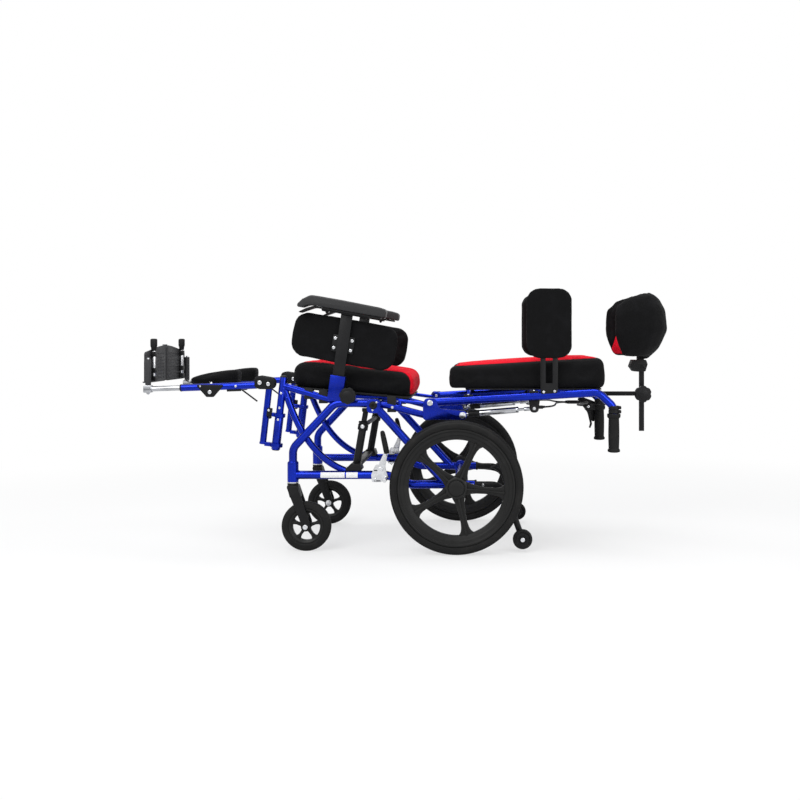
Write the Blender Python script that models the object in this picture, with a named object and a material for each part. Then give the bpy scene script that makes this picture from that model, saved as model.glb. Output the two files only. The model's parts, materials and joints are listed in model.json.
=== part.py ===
"""Positioning wheelchair: a rigid tube base on two drive wheels and two casters, with a reclining
back on gas springs, elevating legrests, height-adjustable armrests and padded supports.

Units are metres. The chair faces -X, its left side is -Y, and Z is up from the floor. It is
modelled with the back reclined flat and the legrests raised, which is its rest pose.
"""
import math

import bmesh
import bpy
from mathutils import Matrix, Vector

# Clearances and facets
GAP = 0.0003                  # between pieces that rest on or run in each other
WELD = 0.002                  # how deep welded tubes bite into each other
RUNNING = 0.0002              # radial clearance of a pin in the flats of its bore
TUBE_RESOLUTION = 2           # a bevelled curve has 2n + 4 sides, so this gives eight
CABLE_RESOLUTION = 1
ROD_SIDES = 8
BEND_STEPS = 2

# Rear wheels
REAR_WHEEL_RADIUS = 0.203
REAR_TYRE_DEPTH = 0.025       # tread to rim
REAR_TYRE_WIDTH = 0.044
REAR_RIM_DEPTH = 0.033
REAR_RIM_WIDTH = 0.034
REAR_HUB_RADIUS = 0.033
REAR_HUB_WIDTH = 0.050
REAR_SPOKES = 5
SPOKE_PHASE = 66.0            # degrees from the rear, towards the top
WHEEL_STEPS = 36
AXLE_X = 0.147
AXLE_RADIUS = 0.0065
WHEEL_OUTSET = 0.052          # wheel's middle plane outside the frame's outer tubes

# Casters
CASTER_RADIUS = 0.076
CASTER_WIDTH = 0.028
CASTER_RIM_RADIUS = 0.052
CASTER_HUB_RADIUS = 0.014
CASTER_BOLT_RADIUS = 0.005
CASTER_SPOKES = 5
CASTER_TRAIL = 0.042
CASTER_X = -0.359             # steering axis
CASTER_STEPS = 24
FORK_THICKNESS = 0.005
FORK_CLEARANCE = 0.010        # tyre to crown
CROWN_HEIGHT = 0.047
STEM_RADIUS = 0.006
STEM_LENGTH = 0.050
HOUSING_RADIUS = 0.017
HOUSING_HEIGHT = 0.065

# Base frame
FRAME_HALF_WIDTH = 0.205      # middle plane of the outer tubes
TUBE_RADIUS = 0.0125
LOWER_RAIL_RADIUS = 0.013
INNER_TUBE_RADIUS = 0.011     # seat rail
ARC_TUBE_RADIUS = 0.0104
FRONT_POST_RADIUS = 0.0114
SEAT_RAIL_HEIGHT = 0.4545     # the upper rail, and the recline pivot on it
RAIL_RISE = 0.024             # lower rail above the foot of the caster housing
KNEE_BEND_RISE = 0.041        # housing top to the main tube's first bend
SHOULDER_X = -0.229           # where the main tube's slope meets the upper rail
REAR_BEND_X = -0.114          # where the main tube turns down to the axle
RAIL_STEP_X = -0.070          # where the lower rail starts down to the axle's height
RAIL_STEP_LENGTH = 0.075
FRONT_POST_X = -0.3955        # front post at the height of the upper rail's front end
FRONT_POST_RAKE = 0.112       # forward lean of the post for each metre down
FRONT_POST_TOP = 0.0795       # above the upper rail
FRONT_POST_FOOT = 0.1435      # below the upper rail
SLEEVE_RADIUS = 0.0135
SLEEVE_TOP = 0.046            # below the upper rail
RECEIVER_LENGTH = 0.058       # anti-tipper socket behind the axle
BOSS_RADIUS = 0.022

# Recline
RECLINE_X = 0.063
HINGE_PLATE = 0.008
HINGE_PIN_RADIUS = 0.005
SPRING_ARM_X = 0.101          # from the recline pivot to the gas spring's front pin
SPRING_ARM_DROP = 0.0385
SPRING_LUG_X = 0.324          # from the recline pivot to its rear pin
SPRING_LUG_DROP = 0.0195
SPRING_RADIUS = 0.0105
SPRING_BODY_LENGTH = 0.161
SPRING_ROD_RADIUS = 0.004
SPRING_EYE_RADIUS = 0.009
SPRING_EYE_WIDTH = 0.010
SPRING_PIN_RADIUS = 0.004

# Back
BACK_RISE = 3.4               # degrees that the back tubes climb towards the head
BACK_LENGTH = 0.523           # pivot to the handle bend
HANDLE_X = 0.048              # bend to handle
HANDLE_DROP = 0.180           # bend to the handle's end
HANDLE_BEND = 0.038
GRIP_RADIUS = 0.0175
GRIP_LENGTH = 0.120
RIB_THICKNESS = 0.008
BACK_CUSHION_START = 0.102    # from the pivot to the rigid part of the cushion
BACK_CUSHION_END = 0.5525
BACK_ROLL_LENGTH = 0.050      # soft lower end
BACK_CUSHION_RISE = 0.043     # underside above the pivot
BACK_CUSHION_THIN = 0.078
BACK_CUSHION_THICK = 0.107
BACK_CUSHION_SIDE_GAP = 0.0027  # to the trunk brackets' shoes

# Trunk supports
TRUNK_X = 0.369               # from the pivot to their middle
TRUNK_PAD_LENGTH = 0.145
TRUNK_PAD_HEIGHT = 0.220
TRUNK_PAD_THICKNESS = 0.034
TRUNK_PAD_RISE = 0.1365       # lower edge above the pivot
TRUNK_BRACKET_WIDTH = 0.054
TRUNK_BRACKET_HEIGHT = 0.172
TRUNK_BRACKET_THICKNESS = 0.004
TRUNK_SLOT_WIDTH = 0.022
TRUNK_STUD_RADIUS = 0.008
TRUNK_COVER_THICKNESS = 0.006
TRUNK_SHOE_REACH = 0.006       # inwards of the back tube's axis

# Headrest
HEADREST_BAR_X = 0.562        # from the pivot to the bar's front end
HEADREST_CLAMP_X = 0.688
HEADREST_BAR_RISE = 0.0175
HEADREST_BAR_HEIGHT = 0.014
HEADREST_STEM_WIDTH = 0.016
HEADREST_STEM_THICKNESS = 0.010
HEADREST_STEM_DOWN = 0.1235   # stem below the bar
HEADREST_STEM_UP = 0.070
HEADREST_KNOB_RADIUS = 0.026
HEADREST_BLOCK_WIDTH = 0.056
HEADREST_HEIGHT = 0.226
HEADREST_HALF_WIDTH = 0.135
HEADREST_DEPTH = 0.209        # front of the wings to the back of the bowl
HEADREST_PAD = 0.040          # thickness
HEADREST_REACH = 0.126        # how far the wings' tips stand in front of the stem
HEADREST_SECTIONS = 13

# Seat
SEAT_TILT = 5.4               # degrees that the seat climbs towards the knees
SEAT_FRONT_GAP = 0.0155       # front post to the cushion
SEAT_REAR_GAP = 0.054         # cushion to the recline pivot
SEAT_THICKNESS = 0.083
SEAT_SIDE_GAP = 0.0135         # cushion to the seat rail's axis
SEAT_REAR_RISE = 0.0150       # underside of the cushion's rear end above the upper rail
BOARD_THICKNESS = 0.006
CLAMP_LENGTH = 0.026
CLAMP_WALL = 0.006
CLAMP_STEP = 0.001             # clamp below the board's face

# Seat struts
STRUT_X = -0.1695             # foot
STRUT_LEAN = 0.0315
STRUT_RADIUS = 0.012
STRUT_INNER_RADIUS = 0.0085
STRUT_COLLAR_RADIUS = 0.016
STRUT_INSET = 0.035           # strut's axis inside the frame's outer tubes

# Armrests and hip pads
ARM_X = -0.2244               # socket's middle
ARM_TILT = 8.0
SOCKET_WIDTH = 0.046
SOCKET_DEPTH = 0.022
SOCKET_HEIGHT = 0.078
SOCKET_FLOOR = 0.012
ARM_POST_WIDTH = 0.036
ARM_POST_THICKNESS = 0.008
ARM_POST_LENGTH = 0.266
ARM_PAD_LENGTH = 0.272
ARM_PAD_WIDTH = 0.058
ARM_PAD_THICKNESS = 0.033
ARM_PAD_SHIFT = -0.016         # pad's middle along the chair
ARM_PAD_TILT = 2.0             # degrees more than the post's
ARM_KNOB_RADIUS = 0.0255
ARM_KNOB_X = 0.018             # from the socket's rear edge
ARM_KNOB_DROP = 0.016
ARM_KNOB_LENGTH = 0.024
HIP_PAD_LENGTH = 0.332
HIP_PAD_HEIGHT = 0.147
HIP_PAD_THICKNESS = 0.024
HIP_PAD_RISE = 0.1465         # pad's middle above the socket's middle, along the post
HIP_PAD_SHIFT = 0.002
HIP_PAD_TILT = 2.2             # degrees more than the post's
HIP_PLATE_RISE = 0.137        # plate that the pad is screwed to

# Legrests
KNEE_X = -0.0675              # from the front post to the elevation pivot
KNEE_RISE = 0.0625            # above the upper rail
HANGER_OFFSET = 0.041         # hanger tube in front of the front post
HANGER_RADIUS = 0.010
KNEE_PLATE = 0.005
LEG_TUBE_DROP = 0.0085        # tube's axis below the elevation pivot
LEG_SLOPE = 2.0               # degrees that the raised leg tube falls towards the foot
LEG_TUBE_LENGTH = 0.237
LEG_TUBE_RADIUS = 0.011
LEG_BORE_DEPTH = 0.125
EXTENSION_RADIUS = 0.008
FOOT_X = -0.351               # from the elevation pivot to the footplate's hinge
CALF_PAD_LENGTH = 0.155
CALF_PAD_WIDTH = 0.080
CALF_PAD_THICKNESS = 0.038
CALF_PAD_WEDGE = 5.0           # thickening towards the knee, per metre
CALF_PAD_X = -0.160           # from the elevation pivot to the pad's middle
CALF_PAD_TILT = 7.0
FOOTPLATE_THICKNESS = 0.008
FOOTPLATE_HEIGHT = 0.096
FOOTPLATE_INNER_GAP = 0.008   # plate's inner edge to the chair's middle plane
FOOTPLATE_SLOPE = 0.022       # how much the inner edge is longer than the outer
FOOT_PIN_RADIUS = 0.004
FOOT_KNUCKLE_RADIUS = 0.008
FOOT_POST_RADIUS = 0.0065
FOOT_POST_HEIGHT = 0.137

# Brakes
BRAKE_PIVOT_OUT = 0.030       # pivot ahead of the tyre
BRAKE_PIVOT_RISE = 0.020      # above the lower rail
BRAKE_LEVER_LENGTH = 0.118
BRAKE_SHOE_RADIUS = 0.006
BRAKE_SHOE_GAP = 0.009        # to the tyre when released
BRAKE_PLATE = 0.004

# Anti-tippers
ANTI_TIP_X = 0.204            # from the axle
ANTI_TIP_LIFT = 0.0095        # clear of the floor
ANTI_TIP_RADIUS = 0.030
ANTI_TIP_WIDTH = 0.020
ANTI_TIP_LEG_RADIUS = 0.0095
ANTI_TIP_BEND_X = 0.140       # from the axle

# Places that follow from the sizes above
AXLE_Z = REAR_WHEEL_RADIUS
HOUSING_FOOT = 2 * CASTER_RADIUS + FORK_CLEARANCE + CROWN_HEIGHT + GAP
RAIL_Z = HOUSING_FOOT + RAIL_RISE
INNER_Y = FRAME_HALF_WIDTH - TUBE_RADIUS - INNER_TUBE_RADIUS + WELD / 2
HINGE_INNER_Y = INNER_Y + INNER_TUBE_RADIUS - WELD
BACK_Y = HINGE_INNER_Y - GAP - TUBE_RADIUS
WHEEL_Y = FRAME_HALF_WIDTH + WHEEL_OUTSET
PIVOT = (RECLINE_X, SEAT_RAIL_HEIGHT)
BACK_SLOPE = math.tan(math.radians(BACK_RISE))
SEAT_HALF_WIDTH = INNER_Y - SEAT_SIDE_GAP
BACK_CUSHION_HALF_WIDTH = BACK_Y - TRUNK_SHOE_REACH - BACK_CUSHION_SIDE_GAP

# Finishes: colour, roughness, metallic
BLUE_PAINT = ((0.02, 0.07, 0.55), 0.30, 0.4)
BLACK_METAL = ((0.02, 0.02, 0.022), 0.40, 0.3)
BLACK_PLASTIC = ((0.018, 0.018, 0.019), 0.50, 0.0)
BLACK_RUBBER = ((0.022, 0.022, 0.022), 0.80, 0.0)
BLACK_FABRIC = ((0.014, 0.014, 0.015), 0.92, 0.0)
RED_FABRIC = ((0.75, 0.02, 0.03), 0.90, 0.0)
GREY_PLASTIC = ((0.16, 0.16, 0.17), 0.55, 0.0)
STEEL = ((0.62, 0.63, 0.65), 0.28, 1.0)

# Side view axes: a shape drawn in X and Z and given its depth along Y
SIDE_VIEW = Matrix(((1, 0, 0, 0), (0, 0, 1, 0), (0, 1, 0, 0), (0, 0, 0, 1)))


def side_name(side):
    """'left' for -Y, the chair's own left, and 'right' for +Y."""
    return "left" if side < 0 else "right"


def object_of(name, bm):
    """An object that holds a bmesh, with its seams closed and its faces pointing out."""
    bmesh.ops.remove_doubles(bm, verts=bm.verts, dist=0.00002)
    bmesh.ops.recalc_face_normals(bm, faces=bm.faces)
    mesh = bpy.data.meshes.new(name)
    bm.to_mesh(mesh)
    bm.free()
    obj = bpy.data.objects.new(name, mesh)
    bpy.context.scene.collection.objects.link(obj)
    return obj


def rod(start, end, radius, tip_radius=None, sides=ROD_SIDES):
    """A cylinder or cone between two points."""
    start, end = Vector(start), Vector(end)
    along = end - start
    turn = along.to_track_quat("Z", "Y").to_matrix().to_4x4()
    bm = bmesh.new()
    bmesh.ops.create_cone(
        bm, cap_ends=True, segments=sides, radius1=radius,
        radius2=radius if tip_radius is None else tip_radius, depth=along.length,
        matrix=Matrix.Translation((start + end) / 2) @ turn)
    return object_of("rod", bm)


def bore(radius, sides=ROD_SIDES):
    """The corner radius of a faceted hole whose flats clear a pin of the given radius."""
    return (radius + RUNNING) / math.cos(math.pi / sides)


def placed(obj, matrix):
    """The object with its mesh moved by a matrix, its faces still pointing out."""
    obj.data.transform(matrix)
    if matrix.determinant() < 0:
        obj.data.flip_normals()
    return obj


def rounded_path(points, bend, steps=BEND_STEPS):
    """The points of a bent tube's centre line: straight runs joined by arcs of one radius."""
    points = [Vector(p) for p in points]
    path = [points[0]]
    for before, corner, after in zip(points, points[1:], points[2:]):
        back, ahead = (before - corner).normalized(), (after - corner).normalized()
        half = back.angle(ahead) / 2
        reach = min(bend / math.tan(half), 0.45 * (before - corner).length,
                    0.45 * (after - corner).length)
        radius = reach * math.tan(half)
        centre = corner + (back + ahead).normalized() * (radius / math.sin(half))
        first = (corner + back * reach - centre).normalized()
        last = (corner + ahead * reach - centre).normalized()
        for step in range(steps + 1):
            path.append(centre + radius * first.slerp(last, step / steps))
    path.append(points[-1])
    return path


def tube(points, radius, bend=0.040, steps=BEND_STEPS, resolution=TUBE_RESOLUTION):
    """A bent tube as a bevelled curve with closed ends, made a mesh."""
    path = rounded_path(points, bend, steps) if len(points) > 2 and bend else points
    curve = bpy.data.curves.new("tube", "CURVE")
    curve.dimensions = "3D"
    curve.bevel_depth = radius
    curve.bevel_resolution = resolution
    curve.use_fill_caps = True
    spline = curve.splines.new("POLY")
    spline.points.add(len(path) - 1)
    for point, place in zip(spline.points, path):
        point.co = (*place, 1.0)
    drawn = bpy.data.objects.new("tube", curve)
    bpy.context.scene.collection.objects.link(drawn)
    bpy.context.view_layer.update()
    bm = bmesh.new()
    made = bpy.data.meshes.new_from_object(drawn)
    bm.from_mesh(made)
    bpy.data.objects.remove(drawn)
    return object_of("tube", bm)


def slab(outline, low, high, matrix=SIDE_VIEW):
    """A flat outline given depth: by default drawn in X and Z, from Y = low to Y = high."""
    bm = bmesh.new()
    face = bm.faces.new([bm.verts.new((u, v, low)) for u, v in outline])
    grown = bmesh.ops.extrude_face_region(bm, geom=[face])
    raised = [g for g in grown["geom"] if isinstance(g, bmesh.types.BMVert)]
    bmesh.ops.translate(bm, verts=raised, vec=(0, 0, high - low))
    bm.transform(matrix)
    return object_of("slab", bm)


def block(low, high, matrix=None):
    """A box between two corners."""
    outline = [(low[0], low[1]), (high[0], low[1]), (high[0], high[1]), (low[0], high[1])]
    return slab(outline, low[2], high[2], matrix or Matrix.Identity(4))


def rounded_outline(points, radius, steps=3):
    """A closed outline with its corners rounded."""
    points = [Vector(p) for p in points]
    outline = []
    for index, corner in enumerate(points):
        back = (points[index - 1] - corner).normalized()
        ahead = (points[(index + 1) % len(points)] - corner).normalized()
        half = back.angle(ahead) / 2
        centre = corner + (back + ahead).normalized() * (radius / math.sin(half))
        first = corner + back * (radius / math.tan(half)) - centre
        last = corner + ahead * (radius / math.tan(half)) - centre
        sweep = first.angle_signed(last)
        for step in range(steps + 1):
            outline.append(centre + Matrix.Rotation(-sweep * step / steps, 2) @ first)
    return outline


def turned(profile, steps, matrix=SIDE_VIEW, closed=False):
    """A profile of (radius, height) turned about the local Z axis, its first row at local -Y."""
    bm = bmesh.new()
    verts = [bm.verts.new((0, -radius, height)) for radius, height in profile]
    edges = [bm.edges.new(pair) for pair in zip(verts, verts[1:])]
    if closed:
        edges.append(bm.edges.new((verts[-1], verts[0])))
    bmesh.ops.spin(bm, geom=verts + edges, cent=(0, 0, 0), axis=(0, 0, 1),
                   angle=2 * math.pi, steps=steps, use_merge=True)
    bm.transform(matrix)
    return object_of("turned", bm)


def combined(obj, others, operation):
    """The object's mesh after a Boolean with all the others, which are used up."""
    if not others:
        return
    group = bpy.data.collections.new("operands")
    bpy.context.scene.collection.children.link(group)
    for other in others:
        group.objects.link(other)
    change = obj.modifiers.new(operation, "BOOLEAN")
    change.operation = operation
    change.operand_type = "COLLECTION"
    change.collection = group
    change.solver = "EXACT"
    bpy.context.view_layer.update()
    graph = bpy.context.evaluated_depsgraph_get()
    made = bpy.data.meshes.new_from_object(obj.evaluated_get(graph))
    obj.modifiers.clear()
    obj.data = made
    for other in others:
        bpy.data.objects.remove(other)
    bpy.data.collections.remove(group)


def weld(solids, cuts=()):
    """One solid: the given solids united, with the cuts taken out."""
    first = solids[0]
    combined(first, solids[1:], "UNION")
    combined(first, list(cuts), "DIFFERENCE")
    return first


def finished(obj, name, finish, origin=(0, 0, 0), smooth=35):
    """Names a solid, gives it its own material, and sets its origin without moving it."""
    colour, roughness, metallic = finish
    material = bpy.data.materials.new(name)
    material.use_nodes = True
    shader = material.node_tree.nodes["Principled BSDF"]
    shader.inputs["Base Color"].default_value = (*colour, 1)
    shader.inputs["Roughness"].default_value = roughness
    shader.inputs["Metallic"].default_value = metallic
    obj.data.materials.clear()
    obj.data.materials.append(material)
    obj.data.shade_smooth()
    obj.data.set_sharp_from_angle(angle=math.radians(smooth))
    obj.data.transform(Matrix.Translation(-Vector(origin)))
    obj.location = origin
    obj.name = name
    obj.data.name = name
    return obj


def hang(axis_name, place, objects, parent=None):
    """An empty on a joint's axis, with the objects that turn or slide on it as its children."""
    axis = bpy.data.objects.new(axis_name, None)
    bpy.context.scene.collection.objects.link(axis)
    axis.location = place
    bpy.context.view_layer.update()
    children = list(objects)
    if parent:
        axis.parent = parent
        axis.matrix_parent_inverse = parent.matrix_world.inverted()
        bpy.context.view_layer.update()
    for child in children:
        child.parent = axis
        child.matrix_parent_inverse = axis.matrix_world.inverted()
    return axis


def rounded_ring(half_l, half_w, corner, drawn):
    """The corners' arcs and the drawn-in sides of a cushion's outline, as 20 points."""
    ring = []
    for number, (right, up) in enumerate(((1, 1), (-1, 1), (-1, -1), (1, -1))):
        centre = Vector((right * (half_l - corner), up * (half_w - corner)))
        for step in range(4):
            angle = math.radians(90 * number + 30 * step)
            ring.append(centre + corner * Vector((math.cos(angle), math.sin(angle))))
        if right == up:
            ring.append(Vector((0, up * (half_w - drawn))))
        else:
            ring.append(Vector((right * (half_l - drawn), 0)))
    return ring


def crowned(length, width, height, corner, edge, crown, matrix, drawn=0.0, shape=None):
    """A cushion: a rounded outline with drawn-in sides, soft edges and a crowned top.

    The outline is length along X by width along Y about the origin, the solid stands on Z = 0,
    and crown is the part of its height that the middle has over its edge. shape, if given, moves
    each vertex before the matrix places it.
    """
    side_height = height - crown
    room = min(length, width) / 2 - edge
    soft = edge * (1 - math.sqrt(0.5))
    levels = [(edge, 0), (0, edge), (0, side_height - edge),
              (soft, side_height - soft), (edge, side_height),
              (edge + 0.30 * room, side_height + 0.66 * crown), (edge + 0.66 * room, height)]
    bm = bmesh.new()
    rings = []
    for inset, z in levels:
        share = 1 - inset / (edge + room)
        radius = max(corner - inset, 0.35 * corner * share)
        outline = rounded_ring(length / 2 - inset, width / 2 - inset, radius, drawn * share)
        rings.append([bm.verts.new((p.x, p.y, z)) for p in outline])
    for low, high in zip(rings, rings[1:]):
        for index in range(len(low)):
            following = (index + 1) % len(low)
            bm.faces.new((low[index], low[following], high[following], high[index]))
    bm.faces.new(list(reversed(rings[0])))
    bm.faces.new(rings[-1])
    if shape:
        for vert in bm.verts:
            vert.co = shape(vert.co)
    bm.transform(matrix)
    return object_of("cushion", bm)


def soft_slab(outline, half_width, edge, matrix):
    """An outline in X and Z given depth to both sides, with the edges of both faces rounded."""
    bm = bmesh.new()
    face = bm.faces.new([bm.verts.new((u, -half_width, v)) for u, v in outline])
    grown = bmesh.ops.extrude_face_region(bm, geom=[face])
    raised = [g for g in grown["geom"] if isinstance(g, bmesh.types.BMVert)]
    bmesh.ops.translate(bm, verts=raised, vec=(0, 2 * half_width, 0))
    bmesh.ops.recalc_face_normals(bm, faces=bm.faces)
    rims = list({e for f in bm.faces if abs(f.normal.y) > 0.99 for e in f.edges})
    bmesh.ops.bevel(bm, geom=rims, offset=edge, segments=2, profile=0.5, affect="EDGES", material=-1)
    bm.transform(matrix)
    return object_of("soft_slab", bm)


def side_tilt(place, degrees):
    """Places a shape at a point and leans it back by some degrees in the side view."""
    return Matrix.Translation(place) @ Matrix.Rotation(math.radians(degrees), 4, "Y")


def spring_line():
    """The gas spring's front pin, rear pin and direction, in X and Z at rest."""
    front = Vector((PIVOT[0] + SPRING_ARM_X, PIVOT[1] - SPRING_ARM_DROP))
    rear = Vector((PIVOT[0] + SPRING_LUG_X, PIVOT[1] - SPRING_LUG_DROP))
    return front, rear, (rear - front).normalized()


SPRING_Y = BACK_Y - TUBE_RADIUS - 0.001 - SPRING_EYE_WIDTH / 2


def inner_rail_path(side):
    """The upper inner rail, from the front post over the seat struts to the hinge plate."""
    y = side * INNER_Y
    return [(FRONT_POST_X, y, SEAT_RAIL_HEIGHT + 0.0525),
            (SHOULDER_X + 0.0125, y, SEAT_RAIL_HEIGHT - 0.0005),
            (REAR_BEND_X + 0.040, y, SEAT_RAIL_HEIGHT - 0.0080),
            (RECLINE_X - 0.004, y, SEAT_RAIL_HEIGHT - 0.0420)]


def post_point(side, rise, forward=0.0):
    """A point on the raked front post's axis, or forward of it, at a height over the upper rail."""
    slope = Vector((FRONT_POST_RAKE, 0, 1)).normalized()
    ahead = Vector((-slope.z, 0, slope.x))
    x = FRONT_POST_X + FRONT_POST_RAKE * (rise - 0.0525)
    return Vector((x, side * INNER_Y, SEAT_RAIL_HEIGHT + rise)) + ahead * forward


def side_frame(side):
    """One welded side frame with its caster housing, front post, hinge plate and axle."""
    y, inner = side * FRAME_HALF_WIDTH, side * INNER_Y
    housing_top = HOUSING_FOOT + HOUSING_HEIGHT
    solids = [
        rod((CASTER_X, y, HOUSING_FOOT), (CASTER_X, y, housing_top), HOUSING_RADIUS, sides=14),
        # Main tube: up from the housing, along the seat and down to the axle
        tube([(CASTER_X, y, housing_top - 0.006), (CASTER_X, y, housing_top + KNEE_BEND_RISE),
              (SHOULDER_X, y, SEAT_RAIL_HEIGHT), (REAR_BEND_X, y, SEAT_RAIL_HEIGHT),
              (AXLE_X - 0.036, y, AXLE_Z + 0.004)], TUBE_RADIUS),
        # Lower rail: level from the housing, then down to the axle and back to the receiver
        lower_rail(side, LOWER_RAIL_RADIUS),
        # Front post and its sleeve
        tube([post_point(side, FRONT_POST_TOP), post_point(side, -FRONT_POST_FOOT)], FRONT_POST_RADIUS),
        rod(post_point(side, -SLEEVE_TOP), post_point(side, -FRONT_POST_FOOT - 0.002), SLEEVE_RADIUS),
        tube(inner_rail_path(side), INNER_TUBE_RADIUS, bend=0.060),
        # Arc tube from the front post down to the lower rail
        arc_tube(side, ARC_TUBE_RADIUS),
        # Thin tube under the cushion's rear end
        rod((REAR_BEND_X + 0.078, inner, SEAT_RAIL_HEIGHT + 0.0065),
            (RECLINE_X - 0.0165, inner, SEAT_RAIL_HEIGHT - 0.0045), 0.006),
        rod((REAR_BEND_X + 0.082, inner, SEAT_RAIL_HEIGHT + 0.004),
            (REAR_BEND_X + 0.082, inner, SEAT_RAIL_HEIGHT - 0.014), 0.007),
        hinge_plate(side),
        # Bolted bracket at the main tube's rear bend
        slab(rounded_outline([(REAR_BEND_X - 0.016, SEAT_RAIL_HEIGHT - 0.030),
                              (REAR_BEND_X + 0.026, SEAT_RAIL_HEIGHT - 0.030),
                              (REAR_BEND_X + 0.026, SEAT_RAIL_HEIGHT + 0.012),
                              (REAR_BEND_X - 0.016, SEAT_RAIL_HEIGHT + 0.012)], 0.008, 2),
             *sorted((side * (INNER_Y - 0.002), side * (FRAME_HALF_WIDTH + TUBE_RADIUS + 0.002)))),
        # Axle boss and axle
        rod((AXLE_X, side * (FRAME_HALF_WIDTH - 0.016), AXLE_Z),
            (AXLE_X, side * (FRAME_HALF_WIDTH + 0.022), AXLE_Z), BOSS_RADIUS, sides=16),
        rod((AXLE_X, side * (FRAME_HALF_WIDTH + 0.016), AXLE_Z),
            (AXLE_X, side * (WHEEL_Y + REAR_HUB_WIDTH / 2 - 0.008), AXLE_Z), AXLE_RADIUS),
    ]
    solids.extend(armrest_socket(side))
    receiver_end = AXLE_X + RECEIVER_LENGTH
    cuts = [
        rod((CASTER_X, y, HOUSING_FOOT - 0.002), (CASTER_X, y, HOUSING_FOOT + STEM_LENGTH + 0.001),
            bore(STEM_RADIUS)),
        rod((AXLE_X + 0.026, y, AXLE_Z + 0.001), (receiver_end + 0.002, y, AXLE_Z + 0.001),
            bore(ANTI_TIP_LEG_RADIUS)),
        arm_slot(side),
    ]
    frame = weld(solids, cuts)
    return finished(frame, f"{side_name(side)}_side_frame", BLUE_PAINT)


def lower_rail(side, radius):
    """The lower rail of a side frame, from the caster housing to the end of the receiver."""
    y = side * FRAME_HALF_WIDTH
    return tube([(CASTER_X + 0.006, y, RAIL_Z), (RAIL_STEP_X, y, RAIL_Z),
                 (RAIL_STEP_X + RAIL_STEP_LENGTH, y, AXLE_Z + 0.001),
                 (AXLE_X + RECEIVER_LENGTH, y, AXLE_Z + 0.001)], radius, bend=0.060)


def arc_tube(side, radius):
    """The swept tube between the front post and the lower rail, from a cubic curve."""
    lift = SEAT_RAIL_HEIGHT + 0.0325
    start = Vector((FRONT_POST_X + 0.0095, side * INNER_Y, lift))
    end = Vector((SHOULDER_X + 0.079, side * (FRAME_HALF_WIDTH - 0.008), RAIL_Z + 0.002))
    drop = (start.z - end.z) * 0.5
    leave = start + Vector((0.29 * drop, 0, -drop))
    arrive = end + Vector((-0.125, -side * 0.015, 0.008))
    points = []
    for step in range(8):
        t = step / 7
        points.append(start * (1 - t) ** 3 + leave * 3 * t * (1 - t) ** 2
                      + arrive * 3 * t * t * (1 - t) + end * t ** 3)
    points.insert(0, Vector((FRONT_POST_X - 0.001, side * INNER_Y, lift + 0.012)))
    return tube(points, radius, bend=0)


def hinge_plate(side):
    """The plate that carries the recline pin and, on its arm, the gas spring's front pin."""
    x, z = PIVOT
    front, _, _ = spring_line()
    low_y, high_y = HINGE_INNER_Y, HINGE_INNER_Y + HINGE_PLATE
    outline = [(x - 0.022, z - 0.054), (x + 0.012, z - 0.052), (front.x + 0.012, front.y - 0.013),
               (front.x + 0.012, front.y + 0.013), (x + 0.030, z - 0.018), (x + 0.015, z + 0.014),
               (x - 0.014, z + 0.014), (x - 0.022, z)]
    plate = slab(outline, *sorted((side * low_y, side * high_y)))
    pins = [
        rod((x, side * (high_y - 0.002), z), (x, side * (BACK_Y - TUBE_RADIUS - 0.003), z), HINGE_PIN_RADIUS),
        rod((x, side * (high_y - 0.002), z), (x, side * (high_y + 0.005), z), 0.009, sides=6),
        rod((front.x, side * (high_y - 0.002), front.y),
            (front.x, side * (SPRING_Y - SPRING_EYE_WIDTH / 2 - 0.002), front.y), SPRING_PIN_RADIUS),
        rod((front.x, side * (high_y - 0.002), front.y),
            (front.x, side * (high_y + 0.004), front.y), 0.008, sides=6),
    ]
    return weld([plate] + pins)


def arm_frame(side, along=0.0):
    """Local axes of an armrest: X across the post, Z up along it, at the socket's middle."""
    tilt = math.radians(ARM_TILT)
    middle = Vector((ARM_X, side * FRAME_HALF_WIDTH, SEAT_RAIL_HEIGHT + 0.0455))
    up = Vector((math.sin(tilt), 0, math.cos(tilt)))
    return side_tilt(middle + up * along, ARM_TILT)


def armrest_socket(side):
    """The blue socket on the main tube's shoulder, with the ear for its clamping knob."""
    half = SOCKET_HEIGHT / 2
    place = arm_frame(side)
    body = block((-SOCKET_WIDTH / 2, -SOCKET_DEPTH / 2, -half),
                 (SOCKET_WIDTH / 2, SOCKET_DEPTH / 2, half), place)
    stud_x, stud_z = SOCKET_WIDTH / 2 + ARM_KNOB_X, -ARM_KNOB_DROP
    ear = block((SOCKET_WIDTH / 2 - 0.003, -0.004, stud_z - 0.014),
                (stud_x + 0.012, 0.004, stud_z + 0.014), place)
    outward = side * (SOCKET_DEPTH / 2 + 0.010)
    stud = placed(rod((stud_x, 0, stud_z), (stud_x, outward, stud_z), 0.004), place)
    return [body, ear, stud]


def arm_slot(side):
    """The hole of the armrest socket, open at its top."""
    half_w = ARM_POST_WIDTH / 2 + GAP
    half_t = ARM_POST_THICKNESS / 2 + GAP
    return block((-half_w, -half_t, -SOCKET_HEIGHT / 2 + SOCKET_FLOOR),
                 (half_w, half_t, SOCKET_HEIGHT / 2 + 0.010), arm_frame(side))


def rear_cross_tube():
    """The tube between the two axle bosses."""
    reach = FRAME_HALF_WIDTH - 0.016 - GAP
    tube_between = rod((AXLE_X, -reach, AXLE_Z), (AXLE_X, reach, AXLE_Z), TUBE_RADIUS)
    return finished(tube_between, "rear_cross_tube", BLUE_PAINT)


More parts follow.
